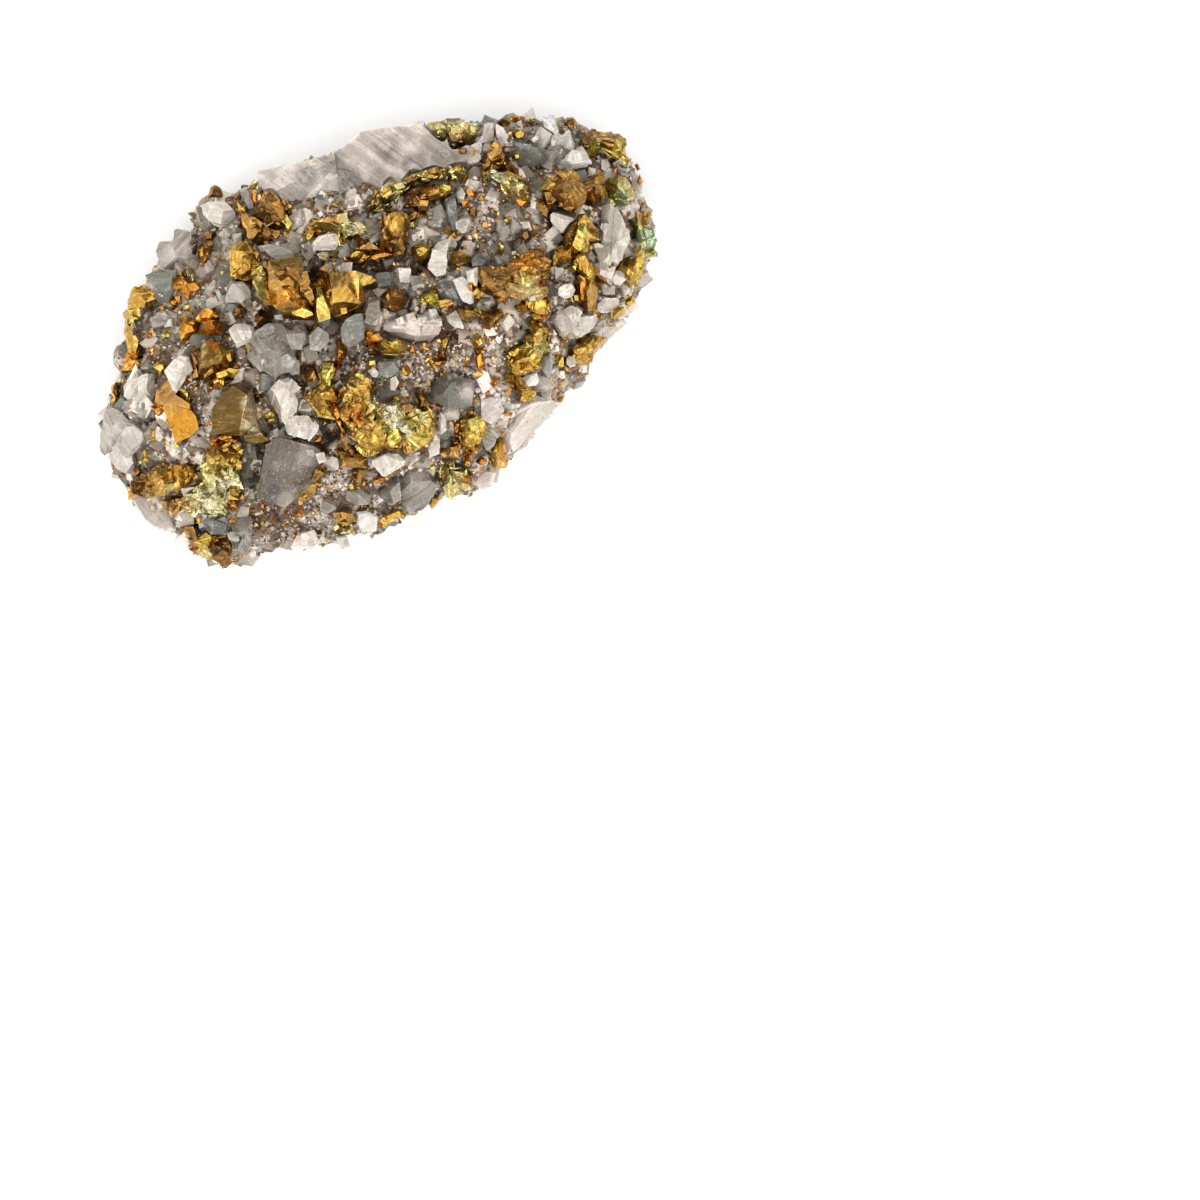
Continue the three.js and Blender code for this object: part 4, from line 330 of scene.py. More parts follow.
# Where grains of a kind crowd: x, y, reach and how many to the square millimetre there.
CRUMB_PATCHES = [
    (16.6, 35.0, 1.6, 9), (19.4, 38.8, 1.4, 9), (27.0, 52.2, 2.4, 10), (23.8, 56.0, 0.8, 8),
    (24.6, 37.3, 1.2, 9), (26.8, 37.3, 0.8, 7), (42.5, 36.0, 3.0, 9), (45.2, 34.6, 1.6, 9),
    (32.0, 53.2, 1.4, 7), (35.6, 47.8, 1.6, 9), (37.8, 48.2, 0.9, 7), (56.5, 11.9, 1.4, 8),
    (52.8, 22.9, 2.0, 7), (24.0, 31.2, 1.0, 8), (26.4, 31.8, 0.9, 8), (19.8, 23.4, 1.2, 6),
    (60.2, 29.6, 1.4, 8), (56.0, 14.2, 1.0, 7), (47.0, 29.0, 1.0, 6), (30.4, 50.8, 1.4, 8),
    (44.6, 47.6, 1.4, 6), (40.4, 37.2, 1.4, 8), (48.6, 36.4, 1.4, 6), (22.6, 44.0, 1.0, 5),
]
SUGAR_PATCHES = [
    (20.4, 41.8, 1.7, 13), (33.6, 47.4, 2.1, 14), (42.8, 31.8, 1.4, 9), (27.6, 37.4, 1.0, 10),
    (47.8, 22.2, 2.2, 9), (20.4, 46.0, 1.0, 7), (44.6, 36.0, 2.2, 7), (36.6, 50.4, 1.4, 8),
    (59.0, 21.2, 1.4, 10), (19.6, 37.9, 1.2, 9), (24.6, 36.9, 1.0, 8), (57.4, 12.4, 1.2, 8),
    (64.2, 17.4, 1.8, 9), (31.6, 51.8, 1.8, 8), (41.4, 36.6, 1.6, 8), (49.2, 34.6, 1.6, 8),
    (37.2, 37.0, 1.8, 7), (56.6, 28.8, 1.4, 8), (29.0, 53.6, 1.6, 6), (46.6, 38.0, 0.9, 6),
]
GOLD_PATCHES = [
    (18.0, 28.6, 1.8, 2.2), (12.9, 33.5, 1.6, 2.6), (31.5, 54.6, 1.6, 1.6), (43.6, 49.2, 1.8, 1.6),
    (47.6, 24.4, 2.0, 2.0), (46.8, 20.4, 1.8, 2.4), (61.5, 29.8, 2.2, 2.8), (57.2, 12.2, 1.8, 2.6),
    (44.0, 34.8, 2.6, 2.0), (15.8, 41.6, 1.4, 1.6), (13.2, 46.6, 1.2, 2.0), (39.8, 36.8, 1.6, 1.6),
    (23.9, 19.4, 1.2, 2.4), (64.2, 20.2, 1.4, 1.8), (36.2, 25.8, 1.2, 1.6), (56.2, 39.6, 0.9, 2.4),
    (40.6, 18.6, 1.2, 3.5), (42.6, 17.4, 1.2, 3.5), (44.6, 16.8, 1.0, 3.0), (38.6, 20.2, 1.0, 3.0),
    (30.2, 21.6, 1.4, 3.0), (33.4, 21.4, 1.0, 2.6), (18.2, 27.6, 1.2, 3.0), (25.6, 25.8, 1.0, 2.6),
    (28.2, 50.2, 1.8, 1.6), (24.0, 20.4, 1.4, 2.0), (16.0, 39.8, 1.2, 2.0), (19.2, 23.6, 1.0, 2.0),
]

# Small chalcopyrite crystals: tone, rise and outline on the plan sheet. Their lighter tones are
# partly painted highlights, and their darker ones partly painted shade.
SMALL_CHALCOPYRITE = [
    ("olive", 1.2, [(20.6, 19.7), (20.9, 18.6), (21.4, 18.2), (22.0, 18.5), (22.3, 19.7)]),
    ("brown", 1.0, [(19.7, 24.4), (20.5, 23.9), (21.2, 24.0), (21.0, 25.5), (20.5, 26.7), (19.9, 26.7)]),
    ("brown", 1.6, [(20.2, 23.3), (20.7, 23.0), (21.6, 23.0), (21.4, 23.9), (20.4, 23.9)]),
    ("orange", 1.4, [(17.2, 28.2), (18.0, 27.0), (19.0, 28.3), (19.2, 29.0), (18.9, 30.1), (17.1, 28.8)]),
    ("pale", 1.0, [(18.4, 26.8), (19.0, 26.8), (19.9, 27.8), (19.8, 28.5), (19.0, 28.1)]),
    ("bright", 1.4, [(17.8, 31.6), (18.3, 31.2), (18.8, 31.9), (18.4, 32.3), (17.9, 32.1)]),
    ("gold", 1.0, [(15.2, 36.6), (15.8, 36.1), (16.3, 36.2), (16.6, 36.9), (16.0, 37.5)]),
    ("brown", 1.2, [(20.9, 38.8), (22.2, 37.8), (23.4, 37.1), (23.5, 38.0), (22.5, 38.8), (21.2, 39.1)]),
    ("gold", 1.0, [(18.3, 39.2), (18.9, 39.0), (19.5, 41.0), (19.1, 41.2)]),
    ("orange", 1.0, [(15.0, 40.6), (15.9, 40.3), (16.5, 41.3), (15.6, 42.0)]),
    ("brown", 0.9, [(11.0, 38.8), (11.7, 38.2), (12.0, 39.2), (11.6, 40.0), (10.8, 40.5)]),
    ("gold", 1.0, [(13.9, 46.2), (14.4, 44.5), (14.7, 45.2), (14.9, 46.2)]),
    ("gold", 1.0, [(14.9, 42.9), (15.5, 42.8), (15.6, 44.2), (14.9, 44.0)]),
    ("olive", 1.4, [(25.7, 52.4), (26.2, 52.2), (26.4, 52.9), (25.9, 53.1)]),
    ("bright", 1.4, [(26.4, 41.4), (27.2, 41.0), (28.0, 41.6), (27.6, 42.6), (26.6, 42.7)]),
    ("olive", 1.8, [(30.0, 37.4), (30.6, 36.2), (31.6, 36.2), (31.9, 37.6), (31.6, 38.3), (30.4, 38.5)]),
    ("brown", 0.9, [(33.4, 45.0), (35.0, 44.2), (37.2, 45.6), (36.8, 46.8), (34.0, 46.8)]),
    ("orange", 1.0, [(31.0, 44.0), (31.8, 43.6), (32.4, 43.7), (32.2, 44.4), (31.4, 44.5)]),
    ("olive", 1.1, [(31.6, 47.2), (32.2, 46.3), (32.4, 46.8), (32.1, 47.9), (31.7, 48.0)]),
    ("brown", 1.2, [(35.2, 47.5), (35.8, 47.0), (36.6, 47.2), (36.2, 48.5), (35.5, 49.2)]),
    ("olive", 1.7, [(33.3, 51.3), (35.5, 51.2), (35.6, 52.0), (34.5, 52.7), (33.6, 52.2)]),
    ("pale", 1.0, [(33.7, 52.3), (35.6, 52.0), (35.3, 53.4), (34.0, 53.4)]),
    ("gold", 1.4, [(37.8, 52.0), (38.5, 51.4), (39.5, 50.7), (40.2, 51.0), (40.5, 51.6), (38.5, 52.6)]),
    ("bright", 1.0, [(30.5, 54.6), (31.0, 54.5), (31.0, 55.3), (30.6, 55.2)]),
    ("olive", 1.0, [(31.5, 53.2), (32.1, 53.1), (32.1, 53.6), (31.6, 53.5)]),
    ("pale", 1.3, [(24.3, 19.2), (24.7, 18.4), (25.3, 17.7), (25.8, 18.4), (25.7, 19.5), (25.0, 19.4)]),
    ("olive", 1.1, [(23.1, 19.4), (23.8, 19.0), (24.1, 19.8), (23.4, 20.1)]),
    ("orange", 1.0, [(23.7, 20.0), (24.0, 20.5), (24.8, 21.3), (25.0, 21.5), (23.8, 20.9)]),
    ("highlight", 1.5, [(30.1, 24.4), (30.6, 24.7), (30.9, 25.3), (30.5, 25.4)]),
    ("highlight", 1.7, [(31.7, 25.5), (32.2, 25.2), (32.9, 25.2), (33.3, 25.9), (32.8, 26.4),
                        (32.0, 26.4)]),
    ("bright", 1.5, [(33.2, 25.6), (34.0, 25.0), (34.1, 25.8), (33.6, 26.2)]),
    ("brown", 1.5, [(23.3, 31.0), (24.0, 30.2), (24.7, 30.8), (24.5, 31.8), (23.5, 32.0)]),
    ("brown", 1.6, [(25.5, 31.6), (26.2, 30.7), (27.2, 31.6), (27.0, 32.8), (25.8, 33.0)]),
    ("bright", 1.9, [(24.7, 34.4), (25.3, 34.0), (25.9, 34.3), (25.7, 35.2), (24.9, 35.3)]),
    ("orange", 2.0, [(33.7, 34.2), (34.3, 34.5), (34.9, 35.1), (34.5, 36.0), (34.0, 36.6), (33.6, 36.2)]),
    ("olive", 1.4, [(46.6, 15.6), (47.0, 15.2), (47.6, 14.8), (47.9, 15.2), (47.7, 15.8), (47.1, 16.0)]),
    ("orange", 1.2, [(46.4, 19.0), (47.0, 18.9), (47.8, 19.1), (48.0, 19.6), (47.3, 20.1), (46.7, 19.8)]),
    ("orange", 1.1, [(46.2, 20.3), (46.7, 20.0), (47.1, 20.3), (47.1, 20.7), (46.6, 21.0)]),
    ("brown", 1.3, [(46.8, 21.0), (47.3, 20.6), (47.7, 20.8), (47.8, 21.4), (47.4, 22.0), (46.9, 21.6)]),
    ("bright", 1.2, [(41.1, 22.1), (41.7, 22.0), (41.9, 22.4), (41.6, 22.8), (41.1, 22.6)]),
    ("bright", 1.3, [(37.5, 24.2), (38.0, 24.1), (38.2, 24.4), (37.8, 24.6)]),
    ("gold", 1.2, [(37.0, 27.0), (37.4, 26.8), (38.0, 27.0), (37.8, 27.3)]),
    ("orange", 1.2, [(44.8, 23.8), (45.5, 22.8), (45.9, 23.7), (45.0, 24.0)]),
    ("gold", 1.2, [(46.0, 24.7), (46.5, 24.6), (46.6, 25.0), (46.1, 25.1)]),
    ("pale", 1.1, [(47.4, 24.8), (47.8, 24.5), (48.0, 25.2), (47.5, 25.2)]),
    ("olive", 1.1, [(48.0, 23.9), (48.6, 23.8), (48.4, 24.4), (48.0, 24.3)]),
    ("orange", 1.6, [(49.5, 25.2), (50.4, 24.9), (50.4, 25.3), (49.9, 25.7)]),
    ("gold", 1.3, [(46.8, 28.5), (47.2, 28.5), (47.5, 29.0), (47.2, 29.4)]),
    ("orange", 1.3, [(47.4, 29.6), (47.9, 29.6), (48.0, 30.2), (47.7, 30.5), (47.4, 30.2)]),
    ("gold", 1.7, [(44.1, 34.0), (44.7, 33.5), (45.1, 33.8), (44.9, 34.5), (44.6, 35.2), (44.1, 35.2)]),
    ("orange", 1.4, [(43.8, 35.7), (44.3, 35.4), (44.6, 35.7), (44.0, 36.1)]),
    ("orange", 1.2, [(43.6, 36.2), (44.6, 36.0), (44.3, 36.6), (43.8, 36.5)]),
    ("gold", 1.3, [(39.2, 40.3), (39.3, 39.6), (40.0, 39.6), (40.1, 40.2)]),
    ("brown", 1.5, [(41.5, 39.5), (42.0, 39.0), (42.7, 39.6), (42.6, 40.2), (43.0, 40.8), (42.2, 40.9)]),
    ("copper", 1.6, [(42.5, 40.2), (44.0, 40.5), (44.3, 40.8), (44.0, 41.2), (43.3, 40.8)]),
    ("orange", 1.0, [(49.0, 38.4), (49.5, 37.6), (50.0, 38.0), (49.4, 38.8)]),
    ("olive", 1.2, [(43.5, 44.8), (45.9, 44.6), (46.0, 45.9), (44.6, 45.3), (43.6, 45.6)]),
    ("orange", 1.3, [(47.5, 46.2), (47.9, 45.4), (48.4, 45.7), (48.7, 46.1), (48.1, 46.6)]),
    ("olive", 1.3, [(42.7, 50.3), (43.2, 49.4), (43.9, 49.5), (44.0, 50.0), (43.4, 50.8), (43.1, 51.1)]),
    ("bright", 1.0, [(40.0, 51.3), (40.6, 51.5), (40.3, 52.0)]),
    ("olive", 1.2, [(49.7, 12.4), (50.3, 11.9), (50.8, 11.6), (51.0, 12.3), (50.7, 12.7), (50.2, 12.9)]),
    ("gold", 1.1, [(50.9, 11.6), (51.3, 11.2), (51.8, 11.2), (52.1, 11.8), (51.7, 12.2), (51.1, 12.1)]),
    ("orange", 1.2, [(51.9, 11.4), (52.6, 11.5), (52.4, 11.9), (51.8, 12.2)]),
    ("pale", 1.2, [(52.5, 11.9), (53.5, 11.6), (53.8, 11.8), (53.3, 12.2), (52.7, 12.3)]),
    ("bright", 1.4, [(51.1, 13.2), (51.4, 12.6), (51.9, 12.7), (52.4, 13.1), (52.2, 13.7), (51.6, 13.9)]),
    ("olive", 1.3, [(56.0, 12.2), (56.6, 11.6), (57.4, 11.5), (57.8, 12.2), (57.0, 12.7), (56.4, 12.8)]),
    ("orange", 1.2, [(63.4, 16.3), (63.8, 16.1), (64.1, 16.8), (63.7, 17.0)]),
    ("orange", 1.0, [(64.0, 17.2), (64.5, 18.0), (64.0, 18.4), (63.6, 18.2)]),
    ("olive", 1.3, [(50.4, 16.3), (50.8, 16.0), (51.2, 16.3), (50.8, 16.7)]),
    ("gold", 1.4, [(51.1, 15.7), (51.7, 15.5), (51.8, 16.0), (51.3, 16.2)]),
    ("brown", 1.2, [(53.0, 19.7), (54.5, 20.0), (55.0, 21.0), (54.8, 22.0), (54.0, 21.3), (53.3, 20.5)]),
    ("gold", 1.1, [(50.3, 22.0), (51.0, 21.6), (51.3, 22.0), (51.1, 22.4)]),
    ("brown", 1.4, [(52.1, 23.0), (52.9, 22.8), (53.0, 23.8), (52.5, 24.1), (52.0, 23.7)]),
    ("gold", 1.0, [(63.8, 20.4), (64.3, 20.3), (64.5, 20.6), (64.1, 20.8)]),
    ("bright", 1.2, [(60.8, 31.0), (61.8, 30.5), (62.5, 30.6), (62.6, 31.2), (62.0, 31.8), (61.2, 31.8)]),
    ("bright", 1.3, [(56.5, 26.6), (57.2, 26.5), (57.5, 27.2), (57.0, 27.5)]),
    ("highlight", 1.4, [(58.6, 28.9), (59.2, 28.8), (59.3, 29.3), (58.8, 29.5)]),
    ("orange", 1.2, [(56.5, 32.5), (57.2, 32.5), (57.1, 33.2), (56.8, 33.5)]),
    ("gold", 1.4, [(55.5, 35.5), (56.0, 35.2), (56.4, 35.5), (56.4, 36.7), (56.0, 36.8), (55.5, 36.6)]),
    ("orange", 0.9, [(55.6, 39.7), (56.3, 39.4), (56.5, 39.7), (56.1, 40.2), (55.7, 40.2)]),
    ("gold", 1.2, [(62.5, 29.8), (63.3, 29.4), (63.6, 30.0), (63.0, 30.6)]),
    ("olive", 1.2, [(43.5, 44.9), (44.6, 44.6), (45.2, 45.2), (44.4, 45.7)]),
    ("bright", 1.8, [(28.0, 21.6), (28.7, 21.4), (29.3, 22.4), (29.0, 23.3), (28.2, 23.2), (27.9, 22.5)]),
    ("orange", 1.3, [(25.0, 19.0), (25.5, 18.9), (25.7, 19.7), (25.5, 20.6), (25.2, 20.3)]),
    ("olive", 1.3, [(24.0, 20.6), (24.7, 20.5), (24.8, 21.0), (24.2, 21.2)]),
    ("orange", 1.4, [(20.0, 24.6), (20.5, 24.5), (20.7, 25.6), (20.4, 26.2), (20.0, 25.8)]),
    ("gold", 2.2, [(22.8, 24.8), (23.8, 24.2), (24.7, 24.0), (25.2, 25.2), (26.2, 26.0), (25.6, 27.0),
                   (24.0, 26.4), (23.0, 25.6)]),
    ("orange", 2.0, [(23.1, 26.6), (24.8, 27.2), (25.4, 27.4), (25.0, 28.3), (23.4, 28.0)]),
    ("gold", 1.3, [(30.3, 23.6), (30.9, 23.0), (31.5, 23.4), (31.1, 24.3), (30.5, 24.6)]),
    ("orange", 1.2, [(18.6, 28.4), (19.4, 28.2), (20.0, 28.8), (19.4, 29.2), (18.7, 29.0)]),
    ("orange", 1.1, [(16.8, 29.9), (17.6, 29.6), (18.2, 30.0), (17.6, 30.6), (16.9, 30.4)]),
    ("gold", 1.1, [(16.9, 30.1), (17.3, 30.1), (17.6, 30.8), (17.2, 30.9)]),
    ("orange", 1.5, [(17.8, 32.8), (18.5, 31.6), (19.2, 31.8), (20.0, 32.0), (20.0, 33.5), (19.0, 34.0),
                     (18.1, 34.1)]),
    ("bright", 1.2, [(16.0, 33.4), (16.6, 32.9), (17.2, 33.2), (17.0, 33.9), (16.3, 33.9)]),
    ("gold", 1.9, [(20.6, 38.6), (21.5, 38.0), (23.0, 36.6), (24.3, 36.3), (24.4, 37.0), (23.3, 38.0),
                   (21.5, 38.9)]),
    ("bright", 1.6, [(17.8, 38.8), (18.4, 38.8), (19.4, 40.2), (19.2, 41.2), (18.4, 40.3)]),
    ("orange", 1.4, [(12.4, 35.6), (13.2, 35.4), (13.8, 36.4), (13.4, 37.4), (12.2, 37.8), (11.9, 37.0)]),
    ("gold", 1.2, [(11.0, 38.4), (11.8, 37.6), (12.0, 38.6), (11.5, 40.2), (10.9, 40.4)]),
    ("orange", 2.4, [(20.7, 44.2), (21.5, 43.6), (24.0, 43.3), (24.2, 44.0), (23.8, 45.0), (22.5, 44.7),
                     (21.0, 44.9)]),
    ("orange", 1.4, [(22.9, 50.2), (23.6, 49.9), (23.8, 51.0), (23.1, 51.2)]),
    ("bright", 4.2, [(31.5, 29.0), (32.2, 28.4), (33.3, 31.2), (33.3, 31.9), (31.8, 32.4), (31.5, 31.0)]),
    ("olive", 4.2, [(31.8, 28.6), (32.4, 27.2), (33.6, 26.8), (33.6, 29.0), (33.0, 30.2), (32.2, 28.8)]),
    ("gold", 2.2, [(33.2, 30.6), (34.5, 30.3), (34.6, 31.3), (34.0, 31.9), (33.4, 31.3)]),
    ("orange", 2.2, [(34.6, 26.2), (35.2, 25.8), (37.5, 25.2), (39.8, 25.0), (39.6, 25.5), (37.5, 25.9),
                     (35.2, 26.5)]),
    ("bright", 2.4, [(33.8, 23.2), (34.5, 22.6), (34.6, 24.0), (34.1, 25.0), (33.8, 24.5)]),
    ("orange", 1.4, [(41.0, 19.0), (41.7, 18.8), (41.8, 19.8), (41.2, 20.0)]),
    ("orange", 1.3, [(42.5, 17.0), (43.7, 17.0), (43.6, 17.6), (42.6, 17.6)]),
    ("gold", 1.4, [(45.0, 25.8), (45.8, 25.4), (46.8, 25.8), (47.0, 26.4), (46.0, 26.8), (45.2, 26.6)]),
    ("gold", 1.6, [(48.4, 16.0), (49.2, 15.2), (50.3, 15.5), (50.6, 16.5), (49.5, 17.0), (48.6, 16.6)]),
    ("orange", 1.6, [(50.4, 16.6), (51.0, 16.4), (52.2, 17.4), (52.2, 18.1), (51.2, 17.4)]),
    ("orange", 1.4, [(51.5, 19.9), (53.0, 19.8), (52.9, 20.5), (51.8, 20.7)]),
    ("gold", 2.0, [(54.0, 19.0), (54.8, 17.8), (55.6, 17.5), (56.0, 18.8), (57.2, 20.8), (56.2, 20.6),
                   (55.0, 19.6)]),
    ("orange", 1.5, [(54.6, 20.0), (55.3, 20.2), (55.2, 21.0), (54.7, 20.9)]),
    ("gold", 1.6, [(59.8, 19.2), (60.3, 18.2), (60.8, 18.0), (60.7, 19.6), (60.2, 20.2)]),
    ("gold", 1.6, [(49.7, 24.6), (50.2, 24.0), (50.5, 24.8), (50.2, 25.8), (49.8, 25.4)]),
    ("bright", 2.2, [(56.9, 22.8), (57.5, 22.4), (57.6, 23.2), (57.1, 23.6)]),
    ("bright", 2.0, [(55.2, 25.8), (55.6, 25.0), (56.2, 25.2), (56.0, 26.3), (55.3, 26.8)]),
    ("gold", 2.3, [(56.8, 26.2), (57.5, 25.5), (58.5, 25.3), (59.0, 26.2), (59.4, 27.6), (58.8, 28.0),
                   (57.8, 27.4)]),
    ("orange", 1.8, [(57.8, 27.8), (58.6, 28.0), (59.0, 28.4), (58.3, 30.2), (57.9, 29.6)]),
    ("gold", 1.4, [(47.0, 29.0), (47.8, 28.6), (48.5, 29.4), (48.0, 30.1), (47.2, 30.0)]),
    ("orange", 1.5, [(52.8, 31.4), (53.6, 31.2), (54.8, 31.1), (54.7, 32.0), (53.8, 32.2)]),
    ("orange", 1.3, [(48.3, 31.2), (48.9, 31.0), (49.0, 32.4), (48.5, 32.5)]),
    ("gold", 1.5, [(47.0, 34.2), (47.6, 33.6), (48.4, 33.8), (48.3, 34.6), (47.6, 35.0)]),
    ("orange", 1.4, [(47.5, 35.8), (48.1, 35.2), (48.6, 36.2), (48.4, 37.4), (47.7, 37.2)]),
    ("bright", 2.0, [(37.9, 34.2), (38.6, 34.0), (38.7, 34.9), (38.1, 35.2)]),
    ("orange", 1.9, [(38.8, 35.2), (40.4, 34.3), (40.6, 35.2), (40.0, 35.8), (39.0, 35.7)]),
    ("orange", 1.3, [(40.1, 36.8), (40.8, 36.5), (41.3, 37.2), (40.8, 37.8), (40.2, 37.6)]),
    ("gold", 1.4, [(41.5, 39.8), (42.1, 39.4), (42.7, 40.2), (43.7, 41.8), (43.4, 42.4), (42.4, 41.0),
                   (41.7, 40.6)]),
    ("orange", 2.2, [(31.7, 36.4), (33.0, 36.1), (34.1, 36.3), (34.0, 37.0), (33.2, 38.2), (32.6, 37.8),
                     (32.0, 37.0)]),
    ("orange", 1.2, [(32.8, 38.5), (33.4, 38.4), (33.8, 40.0), (34.3, 42.5), (34.6, 43.4), (34.2, 43.4),
                     (33.4, 42.0), (33.0, 40.0)]),
    ("brown", 1.2, [(33.9, 43.0), (34.5, 42.8), (35.2, 44.8), (34.6, 45.2), (33.9, 44.4)]),
    ("orange", 1.1, [(45.0, 44.2), (45.6, 43.8), (46.2, 44.6), (46.0, 45.4), (45.3, 45.2)]),
    ("brown", 1.3, [(35.0, 47.0), (36.0, 46.6), (36.6, 47.2), (36.2, 48.2), (35.2, 48.0)]),
    ("orange", 1.2, [(37.3, 47.8), (38.4, 47.6), (38.5, 48.1), (37.5, 48.3)]),
    ("orange", 1.1, [(31.5, 46.4), (32.1, 46.2), (32.2, 47.2), (31.7, 47.3)]),
    ("gold", 1.2, [(46.4, 47.2), (47.1, 47.0), (47.2, 47.6), (46.6, 47.8)]),
    ("gold", 1.4, [(50.0, 37.5), (50.6, 37.2), (51.3, 37.6), (51.4, 38.8), (50.5, 38.4)]),
    ("brown", 1.5, [(26.0, 20.6), (28.0, 20.2), (29.2, 21.2), (28.6, 22.6), (27.0, 23.4), (25.4, 22.6),
                    (25.2, 21.4)]),
    ("brown", 1.4, [(25.2, 22.6), (27.2, 23.4), (28.6, 23.0), (27.8, 24.0), (26.0, 24.2), (24.8, 23.4)]),
    ("gold", 1.2, [(30.6, 22.6), (31.6, 22.0), (33.0, 21.6), (33.8, 22.2), (32.4, 23.0), (31.2, 23.2)]),
    ("brown", 1.5, [(38.4, 21.2), (39.4, 20.6), (40.4, 21.0), (40.4, 22.6), (39.2, 23.2), (38.4, 22.4)]),
    ("olive", 1.5, [(40.6, 21.4), (41.8, 20.6), (42.6, 21.2), (42.0, 22.0), (40.8, 22.2)]),
    ("brown", 1.5, [(19.2, 34.8), (20.0, 34.8), (20.1, 38.0), (19.3, 38.4)]),
    ("brown", 1.3, [(15.4, 38.8), (17.8, 38.9), (18.0, 40.2), (16.4, 40.6), (15.6, 40.0)]),
    ("pale", 1.6, [(44.8, 12.4), (45.6, 12.1), (46.0, 12.6), (45.4, 13.2), (44.8, 12.9)]),
    ("gold", 1.5, [(44.8, 17.0), (45.4, 16.9), (45.5, 18.2), (44.9, 18.3)]),
    ("gold", 1.5, [(51.9, 17.6), (52.6, 17.8), (52.6, 18.6), (52.0, 18.5)]),
    ("brown", 1.8, [(54.2, 19.2), (55.6, 19.0), (55.8, 20.2), (55.1, 20.9), (54.4, 20.4)]),
    ("gold", 1.5, [(31.2, 23.0), (32.0, 22.8), (32.0, 23.6), (31.4, 23.7)]),
    ("highlight", 1.9, [(33.0, 24.2), (33.8, 23.8), (34.5, 24.0), (34.6, 24.7), (33.6, 24.8)]),
    ("gold", 1.7, [(35.6, 23.8), (36.3, 23.8), (36.2, 24.4), (35.7, 24.4)]),
    ("gold", 2.3, [(35.2, 25.8), (36.5, 25.2), (38.0, 25.1), (38.0, 25.7), (36.5, 26.0), (35.4, 26.2)]),
    ("orange", 1.8, [(34.5, 25.7), (35.2, 25.7), (35.2, 26.5), (34.6, 26.5)]),
    ("gold", 2.8, [(23.0, 25.0), (24.8, 24.8), (26.0, 25.4), (26.6, 26.4), (25.6, 28.1), (23.0, 27.7)]),
    ("orange", 1.4, [(17.4, 29.6), (18.2, 29.5), (18.3, 30.4), (17.6, 30.5)]),
    ("orange", 1.9, [(19.5, 31.9), (20.3, 31.0), (21.0, 31.2), (22.1, 31.9), (21.0, 32.3), (20.0, 32.3)]),
    ("bright", 2.6, [(24.6, 34.6), (25.3, 34.1), (25.9, 34.6), (25.7, 35.2), (24.8, 35.2)]),
    ("gold", 2.4, [(22.0, 37.9), (23.4, 37.4), (23.6, 38.1), (22.2, 38.7)]),
    ("orange", 1.2, [(13.3, 36.0), (14.0, 36.0), (14.0, 36.8), (13.4, 36.8)]),
    ("gold", 1.4, [(12.5, 48.4), (13.3, 48.4), (13.3, 49.3), (12.6, 49.3)]),
    ("orange", 1.4, [(13.3, 46.8), (13.9, 46.8), (13.9, 47.6), (13.3, 47.6)]),
    ("gold", 1.4, [(19.0, 47.0), (19.7, 47.0), (19.8, 48.2), (19.1, 48.3)]),
    ("orange", 2.0, [(33.0, 39.0), (33.8, 39.0), (34.0, 40.2), (33.2, 40.3)]),
    ("gold", 2.2, [(32.0, 41.6), (33.0, 41.5), (33.2, 42.4), (32.3, 42.6)]),
    ("orange", 1.8, [(31.4, 46.3), (32.2, 46.2), (32.2, 47.3), (31.6, 47.4)]),
    ("gold", 2.0, [(44.7, 48.7), (46.3, 48.3), (46.2, 49.3), (45.0, 49.7)]),
    ("gold", 1.6, [(34.4, 52.8), (35.3, 52.6), (35.4, 53.4), (34.6, 53.5)]),
    ("orange", 1.8, [(46.9, 28.3), (47.5, 28.2), (47.6, 29.1), (47.0, 29.2)]),
    ("gold", 2.0, [(57.4, 27.6), (58.2, 27.6), (58.3, 28.6), (57.6, 28.6)]),
    ("gold", 1.8, [(57.5, 29.4), (58.2, 29.4), (58.3, 30.3), (57.7, 30.3)]),
    ("brown", 2.0, [(59.6, 27.6), (60.9, 28.2), (61.2, 28.7), (60.0, 28.3)]),
    ("gold", 2.4, [(51.6, 30.5), (52.6, 30.4), (52.7, 31.3), (51.8, 31.3)]),
    ("gold", 2.2, [(52.9, 31.5), (53.8, 31.6), (53.7, 32.4), (53.0, 32.3)]),
    ("brown", 1.4, [(43.8, 35.0), (44.6, 34.8), (44.8, 36.2), (44.2, 36.2)]),
    ("orange", 1.4, [(47.5, 35.0), (48.2, 35.0), (48.2, 35.7), (47.6, 35.7)]),
]
